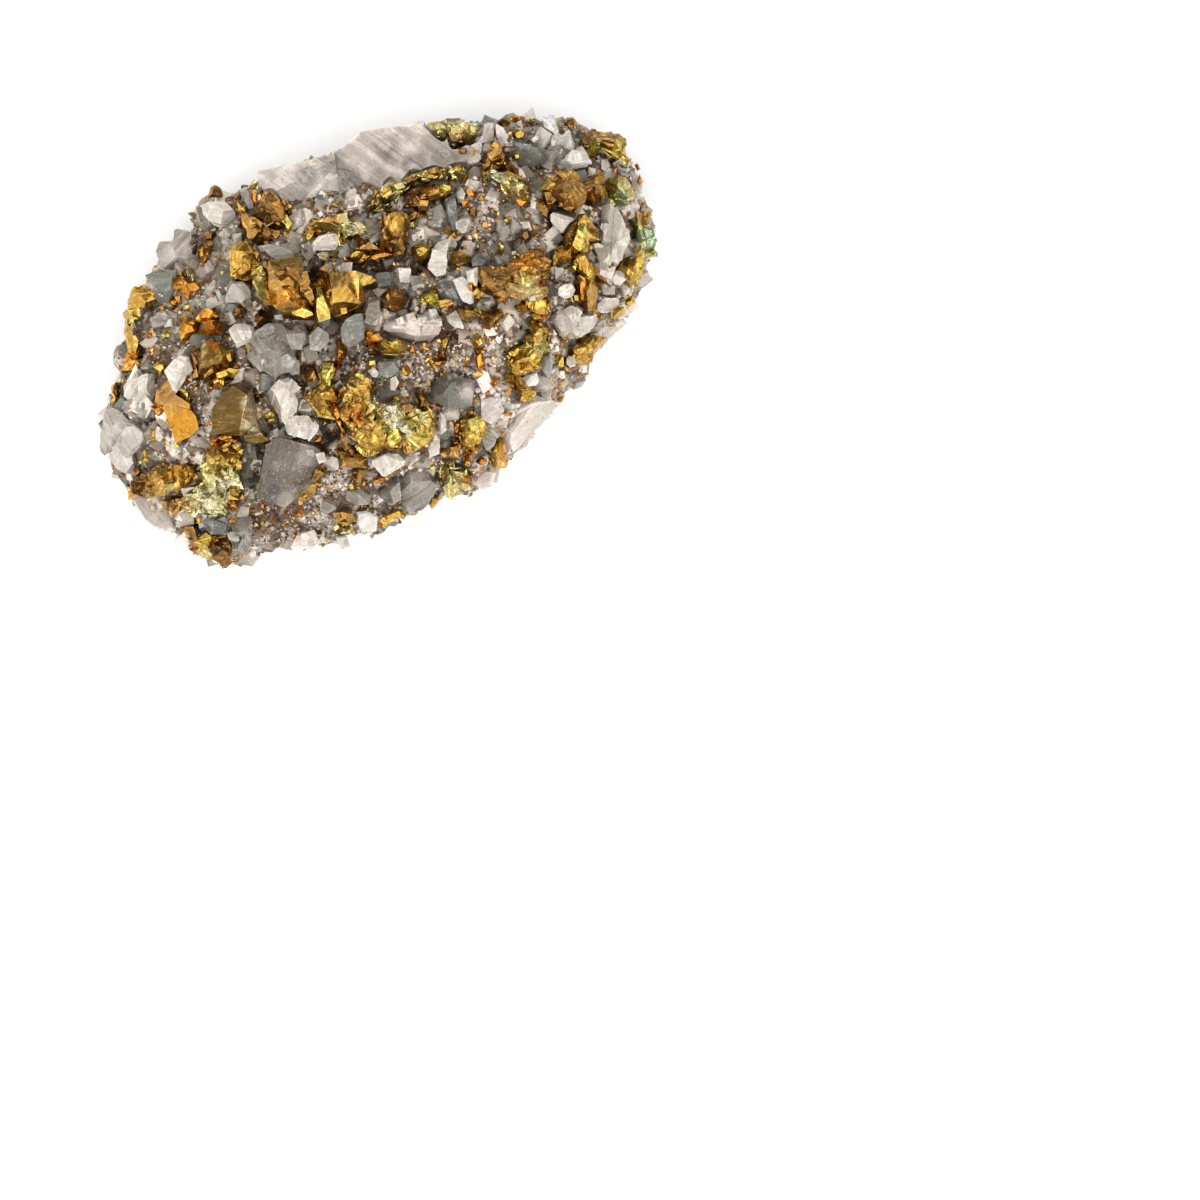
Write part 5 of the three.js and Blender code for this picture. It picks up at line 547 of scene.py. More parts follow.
# Crystals and faces that stand on the larger crystals. Their rise is over what they stand on.
# Their bright, highlight and pale tones are partly painted highlights, and their brown and olive
# tones partly painted shade.
PERCHED_CHALCOPYRITE = [
    ("bright", 1.8, [(25.2, 27.4), (26.2, 26.4), (27.6, 29.4), (27.6, 30.8), (26.4, 30.2)]),
    ("brown", 0.6, [(27.0, 26.8), (28.6, 26.6), (30.4, 27.2), (30.2, 28.6), (28.4, 28.4)]),
    ("orange", 0.7, [(28.2, 28.9), (29.2, 28.6), (30.2, 29.8), (29.6, 30.6), (28.6, 30.4)]),
    ("bright", 1.0, [(29.1, 31.4), (30.4, 30.2), (31.5, 31.6), (30.6, 31.9)]),
    ("olive", 0.8, [(30.0, 27.4), (30.9, 27.2), (31.6, 30.0), (31.2, 30.6), (30.2, 29.4)]),
    ("bright", 0.8, [(31.2, 28.8), (32.0, 27.8), (32.6, 28.9), (31.8, 29.7)]),
    ("gold", 0.6, [(33.9, 30.9), (34.8, 30.8), (34.9, 31.5), (34.1, 31.7)]),
    ("gold", 0.5, [(22.4, 35.2), (23.2, 35.0), (23.4, 36.2), (22.8, 36.4)]),
    ("gold", 0.5, [(20.2, 36.9), (21.6, 36.6), (21.6, 37.6), (20.4, 37.9)]),
    ("gold", 0.6, [(22.9, 47.8), (23.8, 48.0), (24.0, 50.0), (23.0, 50.0)]),
    ("bright", 0.8, [(38.5, 44.6), (38.9, 43.0), (39.6, 42.5), (40.6, 42.7), (40.2, 44.0), (39.4, 45.0)]),
    ("gold", 0.6, [(40.5, 44.6), (41.6, 44.5), (41.5, 45.3), (40.7, 45.4)]),
    ("highlight", 0.5, [(39.0, 40.6), (39.8, 40.4), (40.0, 41.4), (39.2, 41.6)]),
    ("orange", 0.6, [(45.2, 42.4), (46.1, 42.2), (46.0, 43.8), (45.3, 43.6)]),
    ("bright", 0.5, [(46.8, 42.0), (47.8, 41.6), (48.0, 42.8), (47.2, 43.2)]),
    ("bright", 0.6, [(52.0, 27.8), (53.0, 27.7), (53.2, 28.6), (52.2, 28.7)]),
    ("orange", 0.6, [(53.9, 28.2), (54.6, 28.0), (54.6, 29.0), (54.0, 29.1)]),
    ("highlight", 0.5, [(52.6, 29.3), (53.6, 29.2), (53.8, 30.2), (52.8, 30.3)]),
    ("gold", 0.5, [(53.2, 33.7), (54.0, 33.6), (54.2, 34.5), (53.4, 34.6)]),
    ("pale", 0.5, [(48.1, 17.6), (48.8, 17.5), (48.9, 18.8), (48.2, 18.8)]),
    ("brown", 0.6, [(56.4, 23.8), (57.2, 22.4), (57.6, 23.4), (57.0, 24.6)]),
    ("bright", 1.2, [(57.8, 22.4), (58.6, 22.2), (59.0, 24.6), (58.0, 25.2), (57.2, 24.8)]),
    ("olive", 1.0, [(29.3, 49.6), (30.1, 48.3), (31.6, 47.8), (32.3, 48.4), (31.4, 49.6), (30.2, 50.2)]),
    ("brown", 1.0, [(30.8, 47.4), (31.8, 46.3), (32.5, 46.4), (32.4, 47.8), (31.4, 48.3)]),
    ("gold", 0.5, [(32.0, 39.2), (33.0, 38.8), (33.4, 40.2), (32.2, 40.6)]),
    ("bright", 0.4, [(38.8, 34.2), (39.8, 33.9), (40.2, 34.7), (39.2, 35.0)]),
    ("olive", 0.7, [(37.2, 20.4), (37.8, 19.7), (38.3, 20.2), (37.7, 20.9)]),
    ("gold", 0.8, [(38.0, 19.4), (38.8, 18.7), (39.3, 19.3), (38.4, 19.9)]),
    ("pale", 0.7, [(39.2, 18.7), (40.2, 18.1), (40.6, 18.8), (39.6, 19.2)]),
    ("olive", 0.8, [(40.4, 18.0), (41.3, 17.5), (41.6, 18.1), (40.8, 18.5)]),
    ("gold", 0.7, [(41.5, 17.5), (42.5, 17.0), (42.8, 17.7), (41.8, 18.0)]),
    ("olive", 0.7, [(42.8, 17.0), (43.8, 16.7), (44.0, 17.3), (43.0, 17.6)]),
    ("pale", 0.7, [(44.1, 16.7), (45.1, 16.4), (45.3, 17.0), (44.3, 17.3)]),
    ("gold", 0.7, [(45.4, 16.6), (46.3, 16.5), (46.3, 17.2), (45.5, 17.2)]),
    ("olive", 0.7, [(43.9, 13.7), (44.6, 13.4), (44.9, 14.1), (44.2, 14.3)]),
    ("pale", 0.7, [(44.8, 14.3), (45.7, 14.2), (45.8, 14.9), (45.0, 15.0)]),
    ("olive", 0.7, [(45.8, 14.8), (46.7, 14.8), (46.7, 15.5), (45.9, 15.5)]),
]

# Small calcite crystals, in the same way as those of chalcopyrite.
SMALL_CALCITE = [
    ("green_calcite", 0.9, [(14.5, 27.5), (16.0, 26.9), (17.6, 27.0), (17.5, 29.3), (16.0, 29.7),
                            (15.0, 29.0)]),
    ("white_calcite", 1.2, [(16.2, 31.9), (17.2, 31.8), (17.4, 32.7), (16.4, 32.8)]),
    ("grey_calcite", 0.9, [(14.9, 31.8), (15.8, 31.2), (16.8, 30.9), (17.2, 31.5), (16.4, 32.8),
                           (15.2, 33.0)]),
    ("white_calcite", 1.4, [(21.0, 31.8), (21.6, 31.7), (21.7, 32.4), (21.1, 32.4)]),
    ("grey_calcite", 1.0, [(13.0, 32.8), (14.2, 32.6), (14.0, 34.2), (13.0, 34.2)]),
    ("white_calcite", 1.8, [(16.4, 37.2), (17.5, 35.9), (18.2, 35.4), (19.0, 35.7), (19.3, 37.0),
                            (18.2, 38.2), (17.6, 39.5), (17.2, 39.0)]),
    ("dark_calcite", 1.4, [(20.0, 52.0), (21.4, 51.9), (23.0, 52.4), (22.6, 53.5), (20.8, 53.4)]),
    ("white_calcite", 1.8, [(25.9, 36.0), (26.5, 35.4), (26.8, 35.8), (26.3, 36.6)]),
    ("white_calcite", 1.4, [(32.2, 46.2), (33.0, 45.4), (34.0, 45.8), (33.8, 47.0), (32.8, 47.2)]),
    ("white_calcite", 2.0, [(37.1, 46.0), (38.1, 45.8), (38.8, 45.3), (39.8, 45.4), (40.6, 46.1),
                            (40.4, 46.6), (39.5, 47.2), (38.5, 47.7), (37.9, 47.0)]),
    ("grey_calcite", 1.5, [(34.5, 49.0), (35.8, 48.7), (37.2, 49.2), (37.0, 50.5), (35.4, 50.6),
                           (34.6, 50.0)]),
    ("grey_calcite", 1.1, [(32.2, 49.8), (33.2, 49.7), (33.7, 50.6), (32.8, 51.2), (32.1, 50.8)]),
    ("lilac_calcite", 1.3, [(35.5, 51.2), (36.6, 51.0), (37.8, 51.6), (37.6, 53.1), (36.2, 53.2),
                            (35.6, 52.4)]),
    ("lilac_calcite", 1.2, [(28.2, 53.6), (29.2, 53.4), (30.0, 54.0), (29.6, 55.1), (28.4, 54.9)]),
    ("white_calcite", 1.3, [(30.2, 53.2), (31.4, 53.0), (31.9, 54.2), (31.0, 55.0), (30.2, 54.4)]),
    ("white_calcite", 1.1, [(33.4, 53.6), (34.6, 53.5), (35.0, 54.6), (34.0, 55.0)]),
    ("white_calcite", 1.2, [(22.6, 53.2), (23.4, 53.0), (23.6, 54.2), (22.9, 54.4)]),
    ("grey_calcite", 1.2, [(24.4, 19.9), (25.1, 19.8), (25.2, 20.6), (24.5, 20.7)]),
    ("grey_calcite", 1.1, [(22.2, 22.9), (23.0, 22.8), (23.2, 23.7), (22.4, 23.8)]),
    ("grey_calcite", 1.3, [(23.2, 23.4), (24.2, 23.2), (24.2, 24.6), (23.3, 24.7)]),
    ("grey_calcite", 1.0, [(22.2, 24.2), (23.0, 24.0), (23.0, 24.7), (22.3, 24.8)]),
    ("white_calcite", 1.5, [(31.2, 24.6), (31.8, 24.0), (32.6, 23.8), (33.8, 23.6), (33.9, 24.5),
                            (33.6, 25.1), (31.3, 25.2)]),
    ("grey_calcite", 1.2, [(26.0, 24.6), (27.0, 24.4), (28.5, 24.7), (29.7, 25.2), (29.9, 25.7),
                           (29.0, 26.3), (28.0, 26.4), (26.8, 25.5)]),
    ("white_calcite", 1.4, [(34.0, 26.3), (35.3, 26.3), (35.2, 27.4), (34.2, 27.6)]),
    ("grey_calcite", 1.2, [(32.5, 26.4), (33.2, 26.2), (33.2, 27.6), (32.6, 27.8)]),
    ("grey_calcite", 1.6, [(22.6, 29.0), (23.0, 28.0), (24.4, 28.2), (25.1, 28.7), (25.2, 29.8),
                           (24.0, 30.3), (22.6, 30.3)]),
    ("white_calcite", 1.7, [(23.0, 33.2), (24.0, 32.3), (25.2, 32.5), (25.7, 33.3), (25.6, 34.1),
                            (24.5, 34.0), (23.8, 34.8), (23.3, 34.0)]),
    ("grey_calcite", 1.7, [(27.5, 31.6), (28.4, 31.5), (28.5, 32.1), (27.7, 32.2)]),
    ("green_calcite", 2.2, [(34.0, 33.2), (34.6, 32.2), (35.7, 31.6), (36.4, 31.5), (36.6, 32.5),
                            (36.6, 33.9), (35.8, 34.5), (35.0, 34.9), (34.3, 34.3)]),
    ("lilac_calcite", 1.4, [(48.0, 12.4), (49.4, 12.2), (49.4, 14.0), (48.5, 14.3), (48.0, 13.5)]),
    ("dark_calcite", 1.6, [(44.5, 20.0), (45.4, 19.5), (45.8, 20.5), (45.8, 23.2), (44.5, 23.2)]),
    ("white_calcite", 1.3, [(45.5, 22.2), (46.3, 21.8), (47.0, 21.8), (47.2, 22.4), (47.0, 23.2),
                            (46.2, 23.5), (45.6, 23.0)]),
    ("lilac_calcite", 1.3, [(45.4, 19.2), (46.0, 18.8), (46.5, 19.6), (46.4, 20.5), (45.8, 20.2)]),
    ("grey_calcite", 1.1, [(36.8, 23.6), (37.8, 22.9), (38.4, 23.4), (38.2, 24.4), (37.0, 24.4)]),
    ("dark_calcite", 1.6, [(47.2, 25.6), (48.6, 25.0), (49.2, 26.0), (48.4, 26.8), (47.4, 26.8)]),
    ("white_calcite", 1.4, [(47.0, 27.0), (47.8, 26.8), (47.9, 27.8), (47.7, 28.7), (47.2, 28.3)]),
    ("dark_calcite", 1.6, [(44.0, 28.2), (45.2, 28.0), (46.0, 29.0), (46.1, 30.0), (45.0, 29.8)]),
    ("lilac_calcite", 1.7, [(45.2, 28.0), (46.4, 27.6), (47.5, 28.6), (47.4, 30.4), (46.4, 30.8),
                            (45.8, 29.4)]),
    ("white_calcite", 1.4, [(44.6, 31.8), (45.5, 31.2), (46.0, 32.0), (46.4, 33.0), (45.5, 32.8),
                            (44.7, 32.2)]),
    ("white_calcite", 1.3, [(39.8, 26.8), (41.0, 26.8), (41.0, 28.4), (40.0, 28.4)]),
    ("grey_calcite", 1.4, [(41.0, 27.6), (42.4, 27.5), (42.5, 28.8), (41.2, 29.0)]),
    ("dark_calcite", 1.3, [(37.8, 27.4), (39.4, 27.2), (39.4, 28.8), (38.0, 29.0)]),
    ("green_calcite", 1.3, [(37.8, 36.2), (39.6, 36.0), (40.0, 37.2), (39.0, 38.0), (37.9, 37.6)]),
    ("white_calcite", 1.4, [(37.0, 37.0), (37.5, 36.8), (38.0, 37.4), (37.7, 37.8)]),
    ("white_calcite", 1.5, [(39.0, 38.0), (39.5, 37.8), (39.9, 38.5), (39.6, 39.2), (39.1, 39.1)]),
    ("grey_calcite", 1.5, [(48.0, 44.0), (48.5, 43.3), (49.2, 43.3), (49.7, 44.0), (49.5, 44.6),
                           (48.8, 45.2), (48.2, 45.0)]),
    ("white_calcite", 1.4, [(44.0, 41.2), (44.5, 42.0), (44.6, 43.2), (44.1, 43.6), (43.8, 42.8)]),
    ("lilac_calcite", 1.2, [(42.6, 44.2), (44.0, 43.8), (44.0, 45.4), (43.0, 45.8)]),
    ("lilac_calcite", 1.0, [(46.6, 47.2), (48.0, 47.0), (49.6, 47.2), (49.2, 48.6), (47.6, 49.2)]),
    ("lilac_calcite", 1.2, [(49.7, 12.5), (50.5, 13.0), (50.9, 13.7), (50.3, 14.2), (49.7, 13.8),
                            (49.4, 13.0)]),
    ("white_calcite", 1.3, [(53.2, 13.8), (53.7, 13.5), (54.0, 13.8), (53.5, 14.1)]),
    ("white_calcite", 1.5, [(61.2, 16.2), (62.0, 15.7), (63.0, 15.8), (63.2, 16.6), (62.5, 17.2),
                            (61.5, 16.8)]),
    ("white_calcite", 1.5, [(60.1, 15.8), (60.8, 15.7), (61.1, 16.5), (60.8, 17.2), (60.1, 16.8)]),
    ("lilac_calcite", 1.2, [(63.2, 16.6), (64.2, 17.8), (64.4, 19.4), (63.6, 20.0), (63.4, 18.4)]),
    ("white_calcite", 1.4, [(53.1, 19.7), (53.8, 19.8), (53.6, 21.0), (53.1, 20.9)]),
    ("grey_calcite", 1.3, [(63.6, 22.0), (64.6, 21.8), (65.0, 22.6), (64.4, 23.2)]),
    ("white_calcite", 1.5, [(61.1, 27.6), (61.6, 27.0), (62.4, 27.0), (62.8, 27.6), (62.2, 28.2),
                            (61.5, 28.2)]),
    ("white_calcite", 1.8, [(61.7, 28.7), (62.2, 28.2), (62.9, 28.3), (63.0, 29.0), (62.8, 29.5),
                            (62.1, 29.4)]),
    ("white_calcite", 1.3, [(59.8, 30.3), (60.5, 29.7), (62.2, 29.8), (61.8, 30.5), (61.0, 30.9),
                            (60.2, 30.9)]),
    ("white_calcite", 1.5, [(55.7, 28.7), (56.3, 28.3), (57.2, 28.4), (57.6, 29.0), (57.3, 29.7),
                            (56.5, 30.0), (55.8, 29.6)]),
    ("grey_calcite", 1.3, [(55.4, 26.8), (56.4, 26.8), (56.5, 28.0), (55.5, 28.2)]),
    ("grey_calcite", 1.0, [(60.0, 28.5), (61.5, 28.6), (61.5, 29.5), (60.2, 29.6)]),
    ("white_calcite", 1.3, [(56.5, 36.2), (57.0, 35.5), (57.6, 35.8), (57.6, 36.6), (57.0, 36.8)]),
    ("grey_calcite", 1.4, [(54.0, 35.5), (55.3, 35.7), (55.3, 37.0), (54.8, 37.8), (54.2, 37.0)]),
    ("lilac_calcite", 1.3, [(52.0, 37.8), (53.7, 37.2), (54.0, 38.0), (53.7, 38.6), (52.2, 38.8)]),
    ("pale_rock", 1.0, [(48.2, 39.8), (50.0, 39.5), (50.5, 41.0), (49.4, 42.6), (48.2, 42.0)]),
    ("pale_rock", 1.0, [(13.1, 50.0), (13.6, 49.4), (15.3, 49.8), (16.0, 50.8), (17.2, 52.0),
                        (17.8, 54.0), (14.5, 52.2)]),
    ("grey_calcite", 1.3, [(38.0, 30.0), (38.2, 31.6), (37.2, 32.6), (36.6, 31.4), (37.0, 30.2)]),
]
# Calcite crystals that stand on the larger crystals.
PERCHED_CALCITE = [
    ("grey_calcite", 0.8, [(28.7, 33.4), (29.6, 32.6), (30.6, 32.9), (30.8, 34.0), (30.3, 35.1),
                           (29.2, 35.1)]),
    ("grey_calcite", 0.8, [(31.0, 33.2), (31.8, 32.7), (32.9, 33.4), (33.1, 34.4), (32.3, 35.2),
                           (31.1, 35.1)]),
    ("grey_calcite", 0.6, [(28.2, 35.8), (29.0, 35.4), (29.7, 36.2), (29.2, 37.0), (28.4, 36.8)]),
    ("white_calcite", 0.5, [(25.6, 38.6), (26.2, 38.2), (26.6, 39.0), (26.0, 39.4)]),
    ("grey_calcite", 0.4, [(30.6, 45.0), (31.4, 44.9), (31.9, 45.8), (30.8, 45.8)]),
    ("white_calcite", 0.7, [(31.6, 45.4), (32.4, 45.2), (32.7, 46.2), (31.9, 46.5)]),
    ("white_calcite", 0.5, [(40.6, 31.6), (41.4, 31.3), (41.7, 32.0), (40.9, 32.3)]),
    ("lilac_calcite", 0.6, [(41.8, 31.9), (42.6, 31.6), (42.9, 32.4), (42.0, 32.7)]),
    ("white_calcite", 0.6, [(42.9, 31.0), (43.7, 31.0), (43.8, 31.8), (43.0, 31.9)]),
    ("white_calcite", 0.5, [(43.3, 32.0), (44.2, 31.9), (44.3, 32.7), (43.5, 32.8)]),
    ("lilac_calcite", 0.5, [(39.6, 32.0), (40.3, 31.7), (40.6, 32.4), (39.9, 32.7)]),
    ("white_calcite", 0.4, [(57.2, 15.4), (58.0, 15.3), (58.2, 16.1), (57.4, 16.2)]),
]

# Which way growth lines run on the plan sheet, in degrees clockwise from its right-hand side.
LINE_BEARINGS = {
    "calcite_slab": 36, "calcite_east_face": 82, "calcite_southeast_face": 128,
    "calcite_west_tip": 60, "calcite_striped_rhomb": 75, "calcite_white_knob": 110,
    "calcite_translucent_block": 110,
}

# How worked the faces of a crystal are: cuts across its corners and edges and how deep they go,
# chips to the square millimetre with their reach and lean, the height and spacing of the growth
# bands, how strongly its material shows its lines, and the longest edge of its mesh.
SMOOTH = {"cuts": 12, "depth": 0.35, "chips": 0.3, "reach": 0.7, "lean": 0.14, "band": 0.06,
          "period": 1.4, "lined": 0.75, "edge": 0.34}
FOLDED = {"cuts": 16, "depth": 0.40, "chips": 1.2, "reach": 1.0, "lean": 0.26, "band": 0.10,
          "period": 0.9, "lined": 0.9, "edge": 0.27}
HACKLY = {"cuts": 12, "depth": 0.40, "chips": 2.4, "reach": 1.1, "lean": 0.30, "band": 0.10,
          "period": 0.7, "lined": 1.0, "edge": 0.26}
CLEAVED = {"cuts": 26, "depth": 0.80, "chips": 0.12, "reach": 1.2, "lean": 0.12, "band": 0.30,
           "period": 1.1, "lined": 1.0, "edge": 0.40}
STEPPED = {"cuts": 22, "depth": 0.50, "chips": 0.05, "reach": 1.2, "lean": 0.10, "band": 0.30,
           "period": 1.5, "lined": 1.0, "edge": 0.40}
BLOCK = {**SMOOTH, "cuts": 3}
SMALL_BLOCK = {**CLEAVED, "cuts": 4, "depth": 0.25, "band": 0.10, "period": 0.9, "edge": 0.5}
SMALL_SPHENOID = {**FOLDED, "cuts": 4, "depth": 0.25, "band": 0.06, "period": 0.7, "edge": 0.46}
SMOOTH_CRYSTALS = {
    "chalcopyrite_wedge", "chalcopyrite_west_plate", "chalcopyrite_west_sphenoid",
    "chalcopyrite_crown_west", "chalcopyrite_crown_east", "chalcopyrite_dome_wedge",
    "chalcopyrite_bright_wedge", "chalcopyrite_long_crystal", "calcite_southeast_face",
    "calcite_striped_rhomb",
}
HACKLY_CRYSTALS = {
    "chalcopyrite_shell", "chalcopyrite_southwest_mass", "chalcopyrite_slab_pair",
    "chalcopyrite_pale_south", "chalcopyrite_east_ridge", "chalcopyrite_ball",
    "chalcopyrite_nugget", "chalcopyrite_southeast_edge", "chalcopyrite_east_edge",
    "chalcopyrite_northeast", "chalcopyrite_edge_cluster", "chalcopyrite_southwest_lump",
    "chalcopyrite_east_group", "chalcopyrite_foot",
}
CRYSTAL_STYLES = {"calcite_slab": STEPPED, "calcite_translucent_block": BLOCK}
# Crystals whose tone, lining or material differs from that of their kind.
CRYSTAL_TONES = {
    "calcite_translucent_block": "smoky", "chalcopyrite_west_plate": "ochre",
    "chalcopyrite_nugget": "bright", "chalcopyrite_wedge": "bronze", "chalcopyrite_ball": "gold",
    "calcite_north_top": "snow", "calcite_east_face": "white_calcite",
    "calcite_white_round": "snow", "calcite_white_drift": "sugar",
}
CRYSTAL_LINING = {
    "calcite_translucent_block": 0.6, "calcite_green_block": 0.5, "calcite_white_round": 0.4,
    "chalcopyrite_west_plate": 0.4, "chalcopyrite_wedge": 0.7,
}
CRYSTAL_MATERIALS = {"calcite_translucent_block": "smoky_calcite"}
# How far the highest corner of a cleavage piece is cut down to a flat top.
FLAT_TOPS = {
    "calcite_translucent_block": 1.5, "calcite_white_knob": 0.5, "calcite_green_block": 0.8,
    "calcite_middle_west": 0.5, "calcite_west_tip": 0.7, "calcite_west_pair": 0.5,
    "calcite_west_block": 0.6, "calcite_northwest_ridge": 0.6, "calcite_white_round": 0.6,
    "calcite_north_dark": 0.6, "calcite_south_plate": 0.4, "calcite_southwest": 0.4,
    "calcite_east_white": 0.5, "calcite_east_face": 0.4, "calcite_north_top": 0.5,
}
CRYSTAL_SPOTS = {"calcite": CALCITE_SPOTS, "chalcopyrite": CHALCOPYRITE_SPOTS}

# Style and slot of the small crystals of each mineral.
SMALL_KINDS = {
    "calcite": (SMALL_BLOCK, "white_calcite"),
    "chalcopyrite": (SMALL_SPHENOID, "brass_yellow"),
}
# Small crystals of the tables: name, table, mineral, what they stand on, and seed.
SMALL_CRYSTALS = [
    ("small_chalcopyrite", SMALL_CHALCOPYRITE, "chalcopyrite", "rock", 5),
    ("perched_chalcopyrite", PERCHED_CHALCOPYRITE, "chalcopyrite", "crystals", 8),
    ("small_calcite", SMALL_CALCITE, "calcite", "rock", 6),
    ("perched_calcite", PERCHED_CALCITE, "calcite", "crystals", 9),
]
# Small crystals on the sides: name, mineral, number, sizes, tones, how clustered, and seed.
FLANK_CRYSTALS = [
    ("flank_calcite", "calcite", 34, (0.7, 1.4),
     ["white_calcite", "lilac_calcite", "grey_calcite"], 0, 12),
    ("flank_chalcopyrite", "chalcopyrite", 44, (0.5, 1.2),
     ["gold", "orange", "olive", "brown"], 5, 13),
]

# Grains: their shape, how many to the square millimetre as seen from above, at most and
# everywhere, with the patches where they crowd and those where others keep them out, their number
# on the sides and how clustered and how far in those are, their sizes, the shares of their tones,
# how much they take on the tone around them, and how deep they are sunk, as a share of their size.
PLAIN_GRAIN = {
    "patches": [], "without": [], "flank": 0, "clusters": 0, "inset": 0.0, "blend": 0.0,
    "sunk": 0.05,
}
GRAINS = {
    "calcite_blocks": {
        "shape": "rhomb", "most": 0.8, "everywhere": 0.8,
        "without": CRUMB_PATCHES + SUGAR_PATCHES, "flank": 420, "inset": 0.3,
        "sizes": (0.35, 0.95), "flank_sizes": (0.45, 1.40), "blend": 0.5, "sunk": 0.65,
        "tones": {
            "grey_calcite": 5, "green_calcite": 3, "rock": 2, "white_calcite": 3,
            "lilac_calcite": 3,
        },
        "material": "calcite_grain", "slot": "grey_calcite",
    },
    "calcite_grains": {
        "shape": "rhomb", "most": 0.9, "everywhere": 0.9, "flank": 160, "sizes": (0.12, 0.32),
        "blend": 0.65, "sunk": 0.0,
        "tones": {
            "grey_calcite": 5, "green_calcite": 3, "dark_calcite": 2, "white_calcite": 4,
            "lilac_calcite": 3, "stain": 2,
        },
        "material": "calcite_grain", "slot": "grey_calcite",
    },
    "chalcopyrite_grains": {
        "shape": "crumb", "most": 6.0, "patches": GOLD_PATCHES, "everywhere": 1.3, "flank": 260,
        "clusters": 6, "sizes": (0.16, 0.52),
        "tones": {"gold": 4, "orange": 4, "olive": 3, "brown": 4, "bright": 2, "pale": 1},
        "material": "chalcopyrite_grain", "slot": "brass_yellow",
    },
    "iron_crumbs": {
        "shape": "crumb", "most": 16.0, "patches": CRUMB_PATCHES, "everywhere": 2.2,
        "sizes": (0.09, 0.30),
        "tones": {"crumb": 4, "stain": 4, "dark_rock_and_shade": 4, "sugar": 3},
        "material": "crumb", "slot": "rock",
    },
    "dolomite_sugar": {
        "shape": "crumb", "most": 16.0, "patches": SUGAR_PATCHES, "everywhere": 0.8,
        "sizes": (0.10, 0.32),
        "tones": {"sugar": 6, "white_calcite": 4, "rock": 1, "crumb": 2, "dark_rock_and_shade": 1},
        "material": "sugar", "slot": "white_calcite",
    },
}


# ---------------------------------------------------------------- places and noise


def screen_colour(name):
    """A tone in linear light."""
    channels = np.array(TONES[name]) / 255
    return np.where(channels <= 0.04045, channels / 12.92, ((channels + 0.055) / 1.055) ** 2.4)


def to_part(plan):
    """Places on the plan sheet in the part's frame, as x and y."""
    return (np.asarray(plan, float) - SHEET_CENTRE) * (1, -1) @ SHEET_MATRIX.T


def to_plan(places):
    """Places in the part's frame on the plan sheet."""
    return (np.asarray(places, float)[:, :2] @ SHEET_MATRIX) * (1, -1) + SHEET_CENTRE


def unit(vectors, least=1e-9):
    """The vectors at a length of one."""
    return vectors / np.maximum(np.linalg.norm(vectors, axis=1), least)[:, None]


def gathered(values, groups, count):
    """Sum of the values in each group. Each value is in one group, or in one at each corner."""
    sums = np.zeros((count, 3))
    for group in groups.reshape(len(values), -1).T:
        np.add.at(sums, group, values)
    return sums


def hashed(cells, salt):
    """A number from 0 to 1 for each whole-numbered cell."""
    mixed = np.sin(cells @ np.array([127.1, 311.7, 74.7]) + 19.19 * salt) * 43758.5453
    return mixed - np.floor(mixed)


def soft_noise(places, size, salt):
    """Smooth noise from 0 to 1 whose swells are about a size across."""
    scaled = places / size
    base = np.floor(scaled)
    part = scaled - base
    part = part * part * (3 - 2 * part)
    total = np.zeros(len(places))
    for corner in itertools.product((0, 1), repeat=3):
        weight = np.prod(np.where(corner, part, 1 - part), axis=1)
        total += weight * hashed(base + corner, salt)
    return total


def crowded_blocks(places, size, salt):
    """Relief of crowded cleavage blocks, each turned at random.

    Returns the height, 0 near a block's top and falling outwards, how far each place is from the
    next block, and a number from 0 to 1 that tells the blocks apart.
    """
    scaled = places / size
    base = np.floor(scaled)
    best = np.full(len(places), -9.0)
    second = best.copy()
    mark = np.zeros(len(places))
    for step in itertools.product((-1, 0, 1), repeat=3):
        home = base + step
        jitter = np.stack([hashed(home, salt + axis) for axis in range(3)], axis=1)
        offset = scaled - home - jitter
        spin = unit(np.stack([hashed(home, salt + 3 + axis) for axis in range(4)], axis=1) - 0.5)
        across = np.cross(spin[:, 1:], offset)
        turned = offset + 2 * spin[:, :1] * across + 2 * np.cross(spin[:, 1:], across)
        height = 0.45 * hashed(home, salt + 8) - np.abs(turned).max(axis=1)
        ahead = height > best
        second = np.where(ahead, best, np.maximum(second, height))
        best = np.where(ahead, height, best)
        mark = np.where(ahead, hashed(home, salt + 9), mark)
    return best, best - second, mark


def normals_of(points, triangles):
    """Normals of the triangles, long as twice their area, and unit normals of the points."""
    corners = points[triangles]
    faces = np.cross(corners[:, 1] - corners[:, 0], corners[:, 2] - corners[:, 0])
    return faces, unit(gathered(faces, triangles, len(points)))


def patch_share(plan, x, y, reach, power):
    """1 in a patch of the plan sheet and 0 beyond its reach. A high power makes the edge hard."""
    return np.exp(-(np.linalg.norm(plan - (x, y), axis=1) / reach) ** power)


def spot_tones(plan, base, spots, wander):
    """Colour at each place: the base tone, with the spots laid over it, their edges wandering."""
    colours = np.tile(base, (len(plan), 1)) if base.ndim == 1 else base.copy()
    flat = np.column_stack([plan, np.zeros(len(plan))])
    drift = np.stack([soft_noise(flat, 0.9, 31), soft_noise(flat, 0.9, 47)], axis=1) - 0.5
    wandering = plan + 2 * wander * drift
    for x, y, reach, tone in spots:
        share = patch_share(wandering, x, y, reach, 5)[:, None]
        colours = colours * (1 - share) + screen_colour(tone) * share
    return colours


# ---------------------------------------------------------------- meshes


def joined(parts):
    """Points and triangles of several meshes in one."""
    points, triangles, total = [], [], 0
    for part in parts:
        points.append(part[0])
        triangles.append(part[1] + total)
        total += len(part[0])
    return np.concatenate(points), np.concatenate(triangles)


def tree_of(points, triangles):
    return BVHTree.FromPolygons(points.tolist(), triangles.tolist())


